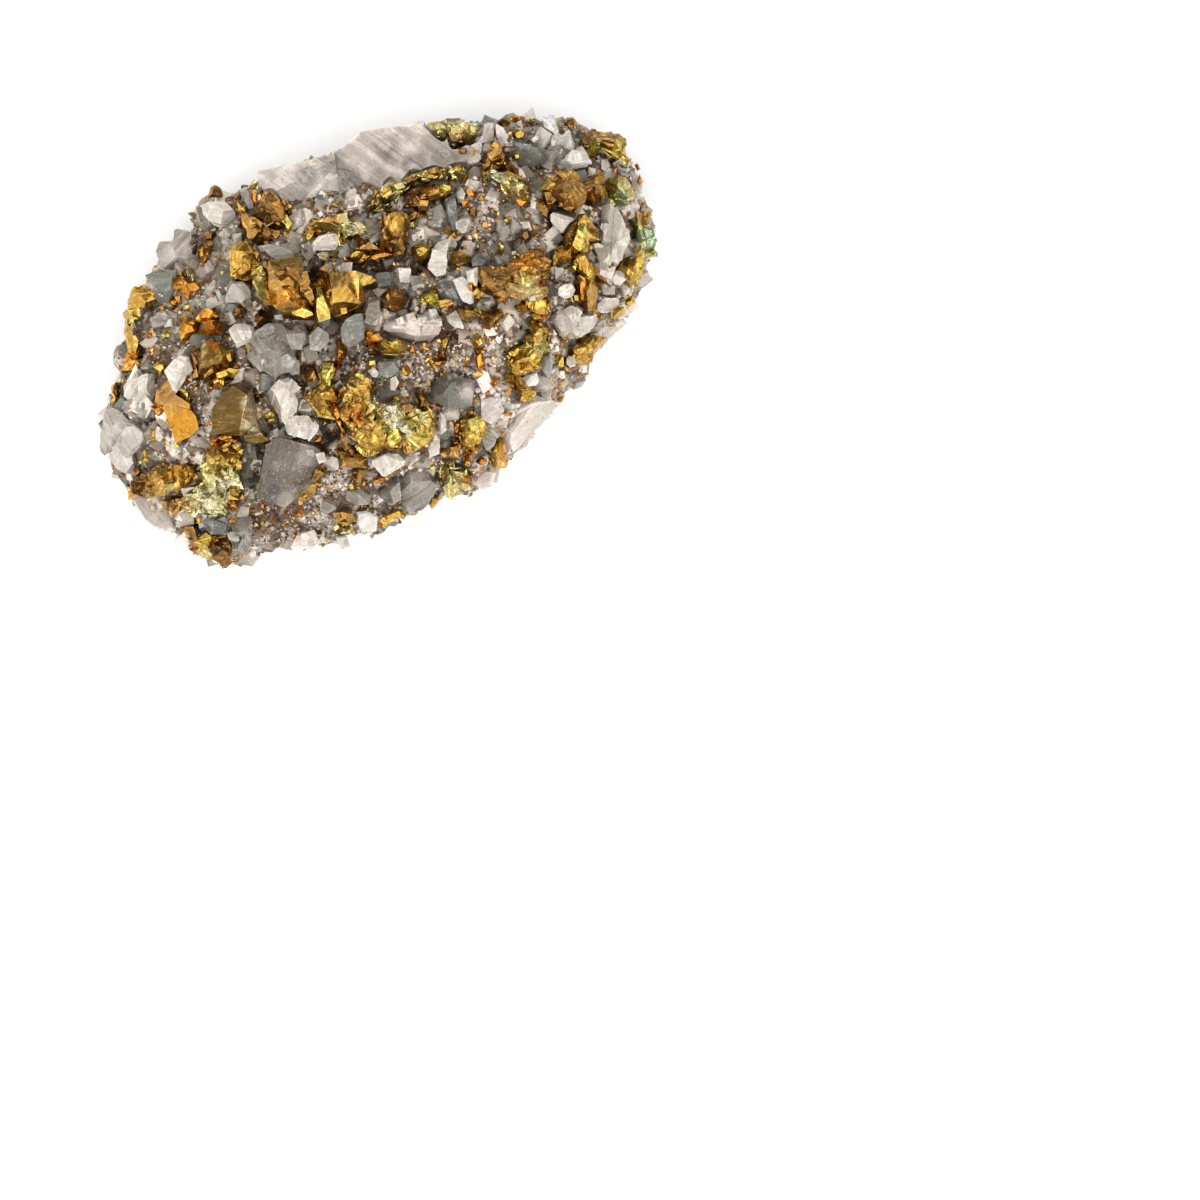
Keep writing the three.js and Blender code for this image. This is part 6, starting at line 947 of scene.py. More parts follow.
def arrays_of(shape):
    """Points, triangles and facet numbers of a bmesh, which is freed."""
    mesh = bpy.data.meshes.new("scratch")
    shape.to_mesh(mesh)
    shape.free()
    points = np.empty(len(mesh.vertices) * 3)
    mesh.vertices.foreach_get("co", points)
    triangles = np.empty(len(mesh.loops), int)
    mesh.loops.foreach_get("vertex_index", triangles)
    facets = np.zeros(len(mesh.polygons), int)
    if "facet" in mesh.attributes:
        mesh.attributes["facet"].data.foreach_get("value", facets)
    bpy.data.meshes.remove(mesh)
    return points.reshape(-1, 3), triangles.reshape(-1, 3), facets


def write_piece(name, points, triangles, colours, lines, material, crease):
    """A mesh object in metres, with a colour and a line count at each corner.

    The colours are given for each triangle or corner. A fourth channel says how lined the face is.
    """
    mesh = bpy.data.meshes.new(name)
    mesh.vertices.add(len(points))
    mesh.vertices.foreach_set("co", (points * MM).ravel())
    mesh.loops.add(triangles.size)
    mesh.loops.foreach_set("vertex_index", triangles.ravel().astype(np.int32))
    mesh.polygons.add(len(triangles))
    mesh.polygons.foreach_set("loop_start", np.arange(0, triangles.size, 3, dtype=np.int32))
    mesh.update(calc_edges=True)
    tones = np.ones((len(triangles), 3, 4))
    tones[:, :, :colours.shape[-1]] = colours[:, None, :] if colours.ndim == 2 else colours
    attribute = mesh.attributes.new("tone", "FLOAT_COLOR", "CORNER")
    attribute.data.foreach_set("color", tones.ravel())
    attribute = mesh.attributes.new("lines", "FLOAT", "CORNER")
    attribute.data.foreach_set("value", lines.ravel())
    mesh.validate()
    mesh.shade_smooth()
    mesh.set_sharp_from_angle(angle=math.radians(crease))
    mesh.materials.append(material)
    piece = bpy.data.objects.new(name, mesh)
    bpy.context.scene.collection.objects.link(piece)
    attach(piece, "root")
    return piece


def cad_shape(node):
    """A CAD node as a bmesh in millimetres, with whole facets."""
    shape = bmesh.new()
    shape.from_mesh(frame["nodes"][node].data)
    bmesh.ops.scale(shape, vec=(1 / MM,) * 3, verts=shape.verts)
    bmesh.ops.remove_doubles(shape, verts=shape.verts, dist=0.002)
    return shape


def hull(corners):
    """Convex shape around some corners, as a bmesh."""
    shape = bmesh.new()
    for corner in corners:
        shape.verts.new(corner)
    made = bmesh.ops.convex_hull(shape, input=shape.verts)
    loose = [item for item in made["geom_interior"] if isinstance(item, bmesh.types.BMVert)]
    bmesh.ops.delete(shape, geom=loose, context="VERTS")
    return shape


def merge_facets(shape, degrees):
    """Joins faces that meet at less than an angle."""
    limit = math.radians(degrees)
    bmesh.ops.dissolve_limit(shape, angle_limit=limit, verts=shape.verts, edges=shape.edges)


def refine(shape, longest):
    """Cuts every edge down to a length, and keeps triangles."""
    bmesh.ops.triangulate(shape, faces=shape.faces)
    for _ in range(MOST_REFINEMENTS):
        edges = [edge for edge in shape.edges if edge.calc_length() > longest]
        if not edges:
            break
        bmesh.ops.subdivide_edges(shape, edges=edges, cuts=1)
        bmesh.ops.triangulate(shape, faces=[face for face in shape.faces if len(face.verts) > 3])


def cut(shape, place, outwards, clear):
    """Cuts along a plane, and with clear takes away what lies beyond it."""
    whole = shape.verts[:] + shape.edges[:] + shape.faces[:]
    bmesh.ops.bisect_plane(
        shape, geom=whole, dist=1e-5, plane_co=place, plane_no=outwards, clear_outer=clear
    )


def cut_away(shape, place, outwards):
    """Cuts off what lies beyond a plane, and closes the cut."""
    cut(shape, place, outwards, clear=True)
    open_edges = [edge for edge in shape.edges if edge.is_boundary]
    bmesh.ops.holes_fill(shape, edges=open_edges, sides=0)


# ---------------------------------------------------------------- the faces of a crystal


def cut_facets(shape, style, rng):
    """Cuts small flat faces across corners and edges, where nothing far away is cut with them."""
    for _ in range(style["cuts"]):
        shape.normal_update()
        shape.verts.ensure_lookup_table()
        shape.edges.ensure_lookup_table()
        if rng.random() < CORNER_CUTS:
            corner = shape.verts[rng.integers(len(shape.verts))]
            place, outwards = corner.co.copy(), corner.normal.copy()
        else:
            edge = shape.edges[rng.integers(len(shape.edges))]
            place = (edge.verts[0].co + edge.verts[1].co) / 2
            outwards = edge.verts[0].normal + edge.verts[1].normal
        outwards = outwards.normalized() + Vector(2 * style["lean"] * rng.normal(size=3))
        outwards.normalize()
        place -= outwards * style["depth"] * rng.uniform(0.25, 1.0)
        beyond = [vert.co for vert in shape.verts if outwards.dot(vert.co - place) > 0]
        near = all((corner - place).length < CUT_REACH for corner in beyond)
        if near and 0 < len(beyond) <= len(shape.verts) / 4:
            cut_away(shape, place, outwards)


def flatten_top(shape, depth, rng):
    """Cuts the highest corner down to a nearly level face."""
    outwards = Vector((*rng.normal(size=2) * TOP_LEAN, 1)).normalized()
    highest = max(outwards.dot(vert.co) for vert in shape.verts)
    cut_away(shape, outwards * (highest - depth), outwards)


def number_facets(shape):
    layer = shape.faces.layers.int.get("facet") or shape.faces.layers.int.new("facet")
    shape.faces.index_update()
    for face in shape.faces:
        face[layer] = face.index


def growth_axis(rng, bearing):
    """Direction across the growth bands: at random, or as a bearing on the plan sheet says."""
    if bearing is not None:
        turn = math.radians(90 - bearing) + SHEET_TURN
        return np.array([math.cos(turn), math.sin(turn), 0.0])
    axis = rng.normal(size=3)
    return axis / np.linalg.norm(axis)


def part_bands(shape, axis, period, rng):
    """Parts the faces where growth bands end. Returns those ends along the axis."""
    places = [axis.dot(vert.co) for vert in shape.verts]
    ends = []
    place = min(places) + period * rng.uniform(0.3, 1.0)
    while place < max(places):
        for side in (-0.5, 0.5):
            cut(shape, axis * (place + side * RISER), axis, clear=False)
        ends.append(place)
        place += period * rng.uniform(0.5, 1.6)
    return ends


def chip(points, normals, chips, reach, lean, rng):
    """Flat chips: what is near a point and beyond a leaning plane through it falls back to it."""
    for _ in range(int(chips)):
        at = rng.integers(len(points))
        outwards = normals[at] + lean * rng.normal(size=3)
        outwards /= np.linalg.norm(outwards)
        offsets = points - points[at]
        height = offsets @ outwards
        limit = reach * rng.uniform(0.35, 1.0)
        beyond = (height > 0) & (np.einsum("ij,ij->i", offsets, offsets) < limit * limit)
        points[beyond] -= height[beyond, None] * outwards


def work_shape(shape, style, rng, bearing=None):
    """Gives a plain crystal its small faces, chips and growth bands.

    Returns points, triangles, facet numbers and line counts.
    """
    cut_facets(shape, style, rng)
    number_facets(shape)
    axis = growth_axis(rng, bearing)
    ends = part_bands(shape, Vector(axis), style["period"], rng)
    refine(shape, style["edge"])
    points, triangles, facets = arrays_of(shape)

    faces, normals = normals_of(points, triangles)
    facet_normals = unit(gathered(faces, facets, facets.max() + 1))
    across = unit(axis - facet_normals * (facet_normals @ axis)[:, None], 1e-6)
    lines = np.einsum("tcj,tj->tc", points[triangles], across[facets])

    area = np.linalg.norm(faces, axis=1).sum() / 2
    heights = rng.uniform(-0.75, 0.25, len(ends) + 1) * style["band"]
    step = heights[np.searchsorted(ends, points @ axis)]
    swell = (soft_noise(points, 1.4, 11) - 0.6) * 0.6 * style["band"]
    points = points + normals * (step + swell)[:, None]
    chip(points, normals, area * style["chips"], style["reach"], style["lean"], rng)
    return points, triangles, facets, lines


def edge_share(points, triangles):
    """1 at points on a sharp edge, down to 0 on a flat face."""
    sums = gathered(unit(normals_of(points, triangles)[0]), triangles, len(points))
    counts = np.bincount(triangles.ravel(), minlength=len(points))
    flatness = np.linalg.norm(sums, axis=1) / np.maximum(counts, 1)
    return np.clip((0.98 - flatness) / 0.08, 0, 1)


def facet_shades(facets, rng, spread):
    """A light or dark factor for each facet."""
    return rng.uniform(1 - spread, 1 + spread, facets.max() + 1)[facets][:, None]


def finish_corners(colours, points, triangles, lined):
    """Corner colours, brighter along the edges, partly for wear and white cleavage edges and partly
    as a painted highlight, with the lining as a fourth channel.
    """
    # Edges lightened: partly wear and white cleavage, partly a painted highlight.
    bright = 1 + EDGE_WEAR_AND_HIGHLIGHT * edge_share(points, triangles)[triangles][:, :, None]
    corners = np.full((len(triangles), 3, 4), float(lined))
    corners[:, :, :3] = np.minimum(colours[:, None, :] * bright, BRIGHTEST)
    return corners


def tone_corners(points, triangles, facets, base, spots, lined, rng):
    """Each corner's colour: partly from its own place, and partly from its facet's middle."""
    middles = points[triangles].mean(axis=1)
    count = facets.max() + 1
    counts = np.maximum(np.bincount(facets, minlength=count), 1)
    facet_middles = (gathered(middles, facets, count) / counts[:, None])[facets]
    own = spot_tones(to_plan(middles), screen_colour(base), spots, wander=0.25)
    shared = spot_tones(to_plan(facet_middles), screen_colour(base), spots, wander=0)
    colours = (0.55 * own + 0.45 * shared) * facet_shades(facets, rng, 0.14)
    return finish_corners(colours, points, triangles, lined)


# ---------------------------------------------------------------- materials


class Nodes:
    """A material's node tree, with short ways to add and link nodes. Sizes are in millimetres."""

    def __init__(self, name):
        self.material = bpy.data.materials.new(name)
        self.material.use_nodes = True
        self.tree = self.material.node_tree
        self.shader = self.tree.nodes["Principled BSDF"]
        self.place = self.add("ShaderNodeTexCoord").outputs["Object"]

    def feed(self, socket, value):
        """Links a socket to another, or sets it to a number or a colour."""
        if isinstance(value, bpy.types.NodeSocket):
            self.tree.links.new(value, socket)
        else:
            socket.default_value = (*value, 1.0) if isinstance(value, tuple) else value

    def add(self, kind, inputs=(), **settings):
        node = self.tree.nodes.new(kind)
        for key, value in settings.items():
            setattr(node, key, value)
        for key, value in dict(inputs).items():
            self.feed(node.inputs[key], value)
        return node

    def attribute(self, name, output):
        return self.add("ShaderNodeAttribute", attribute_name=name).outputs[output]

    def noise(self, size, detail=4.0, roughness=0.6):
        """Noise from 0 to 1 whose swells are about a size across."""
        return self.add("ShaderNodeTexNoise", {
            "Vector": self.place, "Scale": 1 / (size * MM), "Detail": detail,
            "Roughness": roughness,
        }).outputs["Fac"]

    def line_noise(self, size, detail):
        """Noise that changes only across the growth lines."""
        return self.add("ShaderNodeTexNoise", {
            "W": self.attribute("lines", "Fac"), "Scale": 1 / size, "Detail": detail,
        }, noise_dimensions="1D").outputs["Fac"]

    def wrinkles(self, across, along):
        """Sharp ridges that run along the growth lines, with their size across and along."""
        lines = self.maths("MULTIPLY", self.attribute("lines", "Fac"), 1 / across)
        shift = self.add("ShaderNodeCombineXYZ", {"X": lines})
        scale = self.add("ShaderNodeVectorMath", {0: self.place, "Scale": 1 / (along * MM)},
                         operation="SCALE")
        total = self.add("ShaderNodeVectorMath", {0: scale.outputs[0], 1: shift.outputs[0]},
                         operation="ADD")
        return self.add("ShaderNodeTexNoise", {
            "Vector": total.outputs[0], "Scale": 1.0, "Detail": 3.0, "Roughness": 0.5,
            "Distortion": 0.6,
        }, noise_type="RIDGED_MULTIFRACTAL", normalize=True).outputs["Fac"]

    def creases(self, size, bend=1.2):
        """Distance from the nearest of some wandering cracks."""
        drift = self.add("ShaderNodeTexNoise", {"Vector": self.place, "Scale": 1 / (bend * MM)})
        push = self.add("ShaderNodeVectorMath", {0: drift.outputs["Color"], 2: self.place},
                        operation="MULTIPLY_ADD")
        push.inputs[1].default_value = (bend * MM,) * 3
        return self.add("ShaderNodeTexVoronoi", {
            "Vector": push.outputs[0], "Scale": 1 / (size * MM),
        }, feature="DISTANCE_TO_EDGE").outputs["Distance"]

    def spread(self, value, low, high, to_low=0.0, to_high=1.0):
        return self.add("ShaderNodeMapRange", {
            "Value": value, "From Min": low, "From Max": high, "To Min": to_low,
            "To Max": to_high,
        }).outputs["Result"]

    def maths(self, operation, first, second):
        return self.add("ShaderNodeMath", {0: first, 1: second}, operation=operation).outputs[0]

    def mix(self, share, first, second, blend="MIX"):
        node = self.add("ShaderNodeMix", data_type="RGBA", blend_type=blend)
        for index, value in ((0, share), (6, first), (7, second)):
            self.feed(node.inputs[index], value)
        return node.outputs[2]

    def tinted(self, tone, factors):
        return self.mix(1.0, tone, factors, "MULTIPLY")

    def over(self, colour, tone, share, held=None):
        """Lays a tone over a colour by a share, which another number may hold back."""
        if held is not None:
            share = self.maths("MULTIPLY", share, held)
        return self.mix(share, colour, tone)

    def finish(self, colour, rough, height, depth, **constants):
        """Feeds the shader. What is the same all over is set straight on it."""
        self.feed(self.shader.inputs["Base Color"], colour)
        self.feed(self.shader.inputs["Roughness"], rough)
        bump = self.add("ShaderNodeBump", {"Height": height, "Distance": depth * MM})
        self.feed(self.shader.inputs["Normal"], bump.outputs["Normal"])
        for key, value in constants.items():
            self.shader.inputs[key.replace("_", " ")].default_value = value
        return self.material


def chalcopyrite_material(name, roughness, tarnish, crinkle):
    """Brass-yellow metal, patchily tarnished, wrinkled like foil along its growth lines, with
    painted shade in its cracks, in the furrows between its wrinkles and in its pits.
    """
    nodes = Nodes(name)
    tone, lined = nodes.attribute("tone", "Color"), nodes.attribute("tone", "Alpha")
    dull = nodes.tinted(tone, (0.40, 0.32, 0.25))
    warm = nodes.tinted(tone, (1.0, 0.68, 0.42))
    dark = nodes.tinted(tone, (0.10, 0.07, 0.04))
    wrinkles = nodes.wrinkles(0.45, 2.0)
    creases = nodes.creases(1.3)
    patches = nodes.spread(nodes.noise(0.8, 6.0, 0.65), 0.46, 0.62)
    blush = nodes.spread(nodes.noise(1.5, 3.0), 0.54, 0.70, 0.0, 0.45)
    # Painted shade: the cracks, the furrows between wrinkles and the pits are darkened.
    cracks = nodes.spread(creases, 0.0, 0.03, 0.7, 0.0)
    furrow_shade = nodes.spread(wrinkles, 0.30, 0.05, 0.0, 0.6)
    pit_shade = nodes.spread(nodes.noise(0.22, 2.0), 0.66, 0.70, 0.0, 0.8)
    colour = nodes.over(tone, dull, patches, tarnish)
    colour = nodes.over(colour, warm, blush)
    # Painted shade laid into the cracks, furrows and pits.
    colour = nodes.over(colour, dark, cracks, lined)
    colour = nodes.over(colour, dark, furrow_shade, lined)
    colour = nodes.over(colour, (0.035, 0.022, 0.010), pit_shade)
    rough = nodes.spread(nodes.noise(0.5, 4.0), 0.3, 0.7, roughness - 0.06, roughness + 0.14)
    fine = nodes.maths("MULTIPLY", nodes.noise(0.25, 4.0, 0.6), 0.35)
    height = nodes.maths("ADD", wrinkles, fine)
    height = nodes.maths("ADD", height, nodes.spread(creases, 0.0, 0.12, 0.0, 0.6))
    height = nodes.maths("MULTIPLY", height, lined)
    return nodes.finish(colour, rough, height, crinkle, Metallic=1.0)


def calcite_material(name, transmission, roughness, clouds, along, shine):
    """Vitreous calcite with white veils, cleavage lines and a little light passing through."""
    nodes = Nodes(name)
    tone, lined = nodes.attribute("tone", "Color"), nodes.attribute("tone", "Alpha")
    grey = nodes.tinted(tone, (0.50, 0.49, 0.47))
    white = nodes.mix(0.5, tone, (0.88, 0.84, 0.80))
    streaks = nodes.wrinkles(0.5, along)
    depths = nodes.spread(nodes.noise(1.1, 5.0), 0.44, 0.62, 0.0, 0.8)
    bands = nodes.spread(nodes.line_noise(1.5, 1.0), 0.48, 0.60, 0.0, 0.65)
    veil = nodes.spread(nodes.noise(1.1, 7.0, 0.7), 0.53, 0.64, 0.0, clouds)
    pale_lines = nodes.spread(streaks, 0.50, 0.85, 0.0, 0.75)
    cracks = nodes.spread(nodes.line_noise(0.45, 2.0), 0.61, 0.66, 0.0, 0.6)
    dust = nodes.spread(nodes.noise(0.16, 2.0), 0.63, 0.70, 0.0, 0.5)
    specks = nodes.spread(nodes.noise(0.28, 2.0), 0.67, 0.71, 0.0, 0.85)
    colour = nodes.over(tone, grey, depths, lined)
    colour = nodes.over(colour, grey, bands, lined)
    colour = nodes.over(colour, white, veil, lined)
    colour = nodes.over(colour, white, pale_lines, lined)
    colour = nodes.over(colour, grey, cracks, lined)
    colour = nodes.over(colour, (0.80, 0.75, 0.70), dust)
    colour = nodes.over(colour, (0.12, 0.08, 0.045), specks)
    rough = nodes.spread(nodes.noise(0.9, 4.0), 0.3, 0.7, roughness - 0.08, roughness + 0.16)
    height = nodes.maths("ADD", streaks, nodes.line_noise(0.35, 2.0))
    height = nodes.maths("MULTIPLY", height, lined)
    height = nodes.maths("ADD", height, nodes.maths("MULTIPLY", nodes.noise(0.5, 5.0, 0.6), 0.7))
    return nodes.finish(
        colour, rough, height, 0.032,
        IOR=CALCITE_IOR, Transmission_Weight=transmission, Specular_IOR_Level=shine,
    )


def grain_material(name, roughness, darker, metallic):
    """Grains and rock: the tone of each, mottled and speckled."""
    nodes = Nodes(name)
    tone = nodes.attribute("tone", "Color")
    mottling = nodes.spread(nodes.noise(0.5, 6.0, 0.7), 0.42, 0.68)
    colour = nodes.over(tone, nodes.tinted(tone, darker), mottling)
    if metallic == 0:
        speckles = nodes.spread(nodes.noise(0.3, 3.0), 0.60, 0.70, 0.0, 0.5)
        colour = nodes.over(colour, nodes.mix(0.5, tone, (0.9, 0.86, 0.84)), speckles)
    rough = nodes.spread(nodes.noise(0.7, 3.0), 0.3, 0.7, roughness - 0.12, roughness + 0.12)
    return nodes.finish(colour, rough, nodes.noise(0.22, 5.0, 0.7), 0.03, Metallic=metallic)


MATERIALS = {}
for make, kinds in (
    (chalcopyrite_material, CHALCOPYRITES), (calcite_material, CALCITES), (grain_material, GROUNDS),
):
    for name, looks in kinds.items():
        MATERIALS[name] = make(name, *looks)


# ---------------------------------------------------------------- rock


def even_rock():
    """The matrix as an even mesh of small triangles."""
    mesh = bpy.data.meshes.new("rock_scratch")
    shape = cad_shape("matrix")
    shape.to_mesh(mesh)
    shape.free()
    scratch = bpy.data.objects.new("rock_scratch", mesh)
    bpy.context.scene.collection.objects.link(scratch)
    modifier = scratch.modifiers.new("even", "REMESH")
    modifier.mode = "VOXEL"
    modifier.voxel_size = ROCK_VOXEL
    bpy.context.view_layer.update()
    even = bmesh.new()
    even.from_mesh(scratch.evaluated_get(bpy.context.evaluated_depsgraph_get()).to_mesh())
    bmesh.ops.triangulate(even, faces=even.faces)
    bpy.data.objects.remove(scratch)
    return arrays_of(even)[:2]


def rough_rock(points, triangles, crystals):
    """Block by block relief over the rock, with a crevice round each crystal.

    The relief dies away at the flat base. Returns the points and what their colours need.
    """
    normals = normals_of(points, triangles)[1]
    coarse, coarse_gap, coarse_mark = crowded_blocks(points, COARSE_BLOCK, 1)
    fine, fine_gap, fine_mark = crowded_blocks(points, FINE_BLOCK, 2)
    cleaved = crowded_blocks(points, FLANK_BLOCK, 4)[0]
    near = np.array([crystals.find_nearest(place)[3] for place in points.tolist()])
    crevice = np.clip(1 - near / CREVICE_WIDTH, 0, 1)
    flank = np.clip((9.5 - points[:, 2]) / 3, 0, 1)

    lift = 0.95 * (coarse + 0.25) + 0.42 * (fine + 0.25) - 0.12
    lift = np.clip(lift, -1.1, 0.4) - CREVICE_DEPTH * crevice
    lift += flank * np.clip(0.6 * FLANK_BLOCK * (cleaved + 0.28), -1.6, 0.1)
    lift = np.minimum(lift, HIGHEST_LIFT)
    plan = to_plan(points)
    for x, y, reach, depth in ROCK_HOLLOWS:
        lift -= depth * patch_share(plan, x, y, reach, 4) * (1 - flank)
    looks = {
        "lift": lift,
        "crevice": crevice,
        "seam": np.clip(1 - np.minimum(coarse_gap / 0.10, fine_gap / 0.08), 0, 1),
        "mark": (0.6 * coarse_mark + 0.75 * fine_mark) % 1.0,
    }
    fade = np.clip(points[:, 2] / BASE_FADE, 0, 1)
    return points + normals * (lift * fade)[:, None], looks


def rock_colours(points, looks):
    """Tone at each point of the rock: crowded blocks, each of its own mineral, with dark seams,
    and painted shade in its hollows and in the crevice round each crystal.
    """
    names, ends = zip(*ROCK_BLOCKS)
    table = np.array([screen_colour(name) for name in names])
    base = table[np.searchsorted(ends, looks["mark"]).clip(0, len(names) - 1)]
    flank = np.clip((9.0 - points[:, 2]) / 2.5, 0, 0.6)[:, None]
    patchy = np.clip(3.5 * soft_noise(points, 4.5, 61) - 1.4, 0, 1)[:, None]
    cleft = screen_colour("pale_rock") * patchy + screen_colour("grey_calcite") * (1 - patchy)
    base = base * (1 - flank) + cleft * flank
    spotted = spot_tones(to_plan(points), base, ROCK_SPOTS, wander=0.6)
    colours = 0.4 * base + 0.6 * spotted
    # Painted shade: sunken hollows and the crevices round the crystals are darkened towards the dark
    # stain tone, together with the real dark seams between the blocks.
    sunken_shade = np.clip((-0.3 - looks["lift"]) / 0.5, 0, 1)
    painted_shade_and_seams = np.maximum(sunken_shade, 0.9 * looks["seam"])[:, None] * (1 - 0.6 * flank)
    painted_shade_and_seams = 0.85 * np.maximum(painted_shade_and_seams, 0.75 * looks["crevice"][:, None] * (1 - flank))
    return colours * (1 - painted_shade_and_seams) + 0.35 * screen_colour("stain") * painted_shade_and_seams


def build_rock(crystals):
    points, triangles = even_rock()
    points, looks = rough_rock(points, triangles, crystals)
    colours = rock_colours(points, looks)[triangles]
    lines = np.zeros((len(triangles), 3))
    piece = write_piece(
        "rock", points, triangles, colours, lines, MATERIALS["rock"], ROCK_CREASE
    )
    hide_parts("matrix")
    return points, triangles


# ---------------------------------------------------------------- crystals


def style_of(node):
    if node in CRYSTAL_STYLES:
        return CRYSTAL_STYLES[node]
    if node in SMOOTH_CRYSTALS:
        return SMOOTH
    if node in HACKLY_CRYSTALS:
        return HACKLY
    return CLEAVED if node.startswith("calcite") else FOLDED


def sink_underside(shape, rock):
    """Lets what faces the rock down into it, so that the crystal grows out of the rock."""
    for vert in shape.verts:
        _, normal, _, distance = rock.find_nearest(vert.co)
        if distance < SEAT_REACH:
            vert.co -= normal * SEAT_DEPTH


def build_crystal(node, slot, rock, seed):
    """A CAD crystal with its small faces, growth bands and chips."""
    rng = np.random.default_rng(seed)
    shape = cad_shape(node)
    sink_underside(shape, rock)
    merge_facets(shape, 2)
    if node in FLAT_TOPS:
        flatten_top(shape, FLAT_TOPS[node], rng)
    style = style_of(node)
    points, triangles, facets, lines = work_shape(shape, style, rng, LINE_BEARINGS.get(node))
    mineral = node.split("_")[0]
    tone = CRYSTAL_TONES.get(node, SLOT_TONES[slot])
    lined = CRYSTAL_LINING.get(node, style["lined"])
    spots = CRYSTAL_SPOTS[mineral]
    colours = tone_corners(points, triangles, facets, tone, spots, lined, rng)
    material = MATERIALS[CRYSTAL_MATERIALS.get(node, slot)]
    piece = write_piece(
        node + "_crystal", points, triangles, colours, lines, material, CREASES[mineral]
    )
    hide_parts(node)
    return points, triangles


def crystal_corners(outline, rise, seat, blocky, rng):
    """Corners of a small crystal: a root, a belt and a crown that is flat or comes to a ridge."""
    plan = to_part(outline)
    middle = plan.mean(axis=0)
    lean = rng.normal(size=2) * SMALL_LEAN
    corners = []
    crown = 0.86 if blocky else rng.uniform(0.40, 0.80)
    belt = 0.75 if blocky else rng.uniform(0.45, 0.70)
    shift = rng.normal(size=2) * 0.12 * rise
    for place in plan:
        offset = place - middle
        tilt = float(offset @ lean)
        corners.append((*(middle + ROOT_SHARE * offset), seat - ROOT_DEPTH))
        corners.append((*place, seat + belt * rise + tilt))
        top = middle + crown * offset + shift
        corners.append((*top, seat + rise * rng.uniform(0.86, 1.0) + tilt))
    return corners


def build_crystals(name, made, mineral, rng):
    """One mesh of many small crystals, which are given as tones and corners."""
    style, slot = SMALL_KINDS[mineral]
    parts, all_colours, all_lines = [], [], []
    for tone, corners in made:
        shape = hull(corners)
        merge_facets(shape, 4)
        points, triangles, facets, lines = work_shape(shape, style, rng)
        colours = screen_colour(tone) * facet_shades(facets, rng, 0.2)
        parts.append((points, triangles))
        all_colours.append(finish_corners(colours, points, triangles, style["lined"]))
        all_lines.append(lines)
    points, triangles = joined(parts)
    colours, lines = np.concatenate(all_colours), np.concatenate(all_lines)
    write_piece(
        name, points, triangles, colours, lines, MATERIALS[slot], CREASES[mineral]
    )
    return points, triangles


def build_small_crystals(name, crystals, mineral, ground, seed):
    """Small crystals of the tables, each seated on the ground under its middle."""
    rng = np.random.default_rng(seed)
    blocky = mineral == "calcite"
    made = []
    for tone, rise, outline in crystals:
        x, y = to_part(outline).mean(axis=0)
        found = ground.ray_cast(Vector((x, y, SKY)), DOWN)[0]
        seat = found.z if found else EDGE_SEAT
        made.append((tone, crystal_corners(outline, rise, seat, blocky, rng)))
    return build_crystals(name, made, mineral, rng)


def build_flank_crystals(name, mineral, count, sizes, tones, clusters, rock, seed):
    """Crystals that stand half out of the rock's broken sides."""
    rng = np.random.default_rng(seed)
    uneven = 0.08 if mineral == "calcite" else 0.22
    places, normals = flank_places(count, *rock, rng, clusters)
    made = []
    for place, normal in zip(places, normals):
        size = rng.uniform(*sizes)
        corners = BOX_CORNERS * rng.uniform(0.6, 1.0, 3)
        corners += rng.normal(size=corners.shape) * uneven
        corners[:, 0] += RHOMB_LEAN * corners[:, 1]
        corners = corners @ random_turns(1, rng)[0] * size + place - 0.75 * size * normal
        if (corners > BOX_LOW).all() and (corners < BOX_HIGH).all():
            made.append((rng.choice(tones), corners))
    return build_crystals(name, made, mineral, rng)


# ---------------------------------------------------------------- grains


def grain_shapes(kind, rng):
    """Unit grains of a kind, as points and triangles."""
    shapes = []
    for _ in range(GRAIN_SHAPES):
        if kind == "rhomb":
            corners = BOX_CORNERS * rng.uniform(0.65, 1.0, 3)
            corners[:, 0] += RHOMB_LEAN * corners[:, 1]
            corners += rng.normal(size=corners.shape) * 0.09
        else:
            corners = unit(rng.normal(size=(9, 3))) * rng.uniform(0.6, 1.0, 3)
        shape = hull(corners)
        bmesh.ops.triangulate(shape, faces=shape.faces)
        shapes.append(arrays_of(shape)[:2])
    return shapes


def random_turns(count, rng):
    """Rotation matrices, spread evenly over all turns."""
    w, x, y, z = unit(rng.normal(size=(count, 4))).T
    rows = [
        [1 - 2 * (y * y + z * z), 2 * (x * y - z * w), 2 * (x * z + y * w)],
        [2 * (x * y + z * w), 1 - 2 * (x * x + z * z), 2 * (y * z - x * w)],
        [2 * (x * z - y * w), 2 * (y * z + x * w), 1 - 2 * (x * x + y * y)],
    ]
    return np.array(rows).transpose(2, 0, 1)


def patch_density(plan, patches, everywhere):
    density = np.full(len(plan), float(everywhere))
    for x, y, reach, crowd in patches:
        density += crowd * patch_share(plan, x, y, reach, 4)
    return density


def top_places(grain, sky, rng):
    """Places on the bare rock as seen from above, crowded or thinned out as the patches say."""
    most = grain["most"]
    count = int(most * np.prod(SHEET_HIGH - SHEET_LOW))
    plan = rng.uniform(SHEET_LOW, SHEET_HIGH, (count, 2))
    crowd = patch_density(plan, grain["patches"], grain["everywhere"])
    keep = rng.uniform(0, most, count) < crowd
    keep &= rng.uniform(0, FULL_CROWD, count) > patch_density(plan, grain["without"], 0)
    found, normals = [], []
    for x, y in to_part(plan[keep]):
        hit, normal, index, _ = sky["tree"].ray_cast(Vector((x, y, SKY)), DOWN)
        if hit is not None and index < sky["rock_count"] and hit.z > LOWEST_TOP:
            found.append(hit)
            normals.append(normal)
    return np.array(found), np.array(normals)


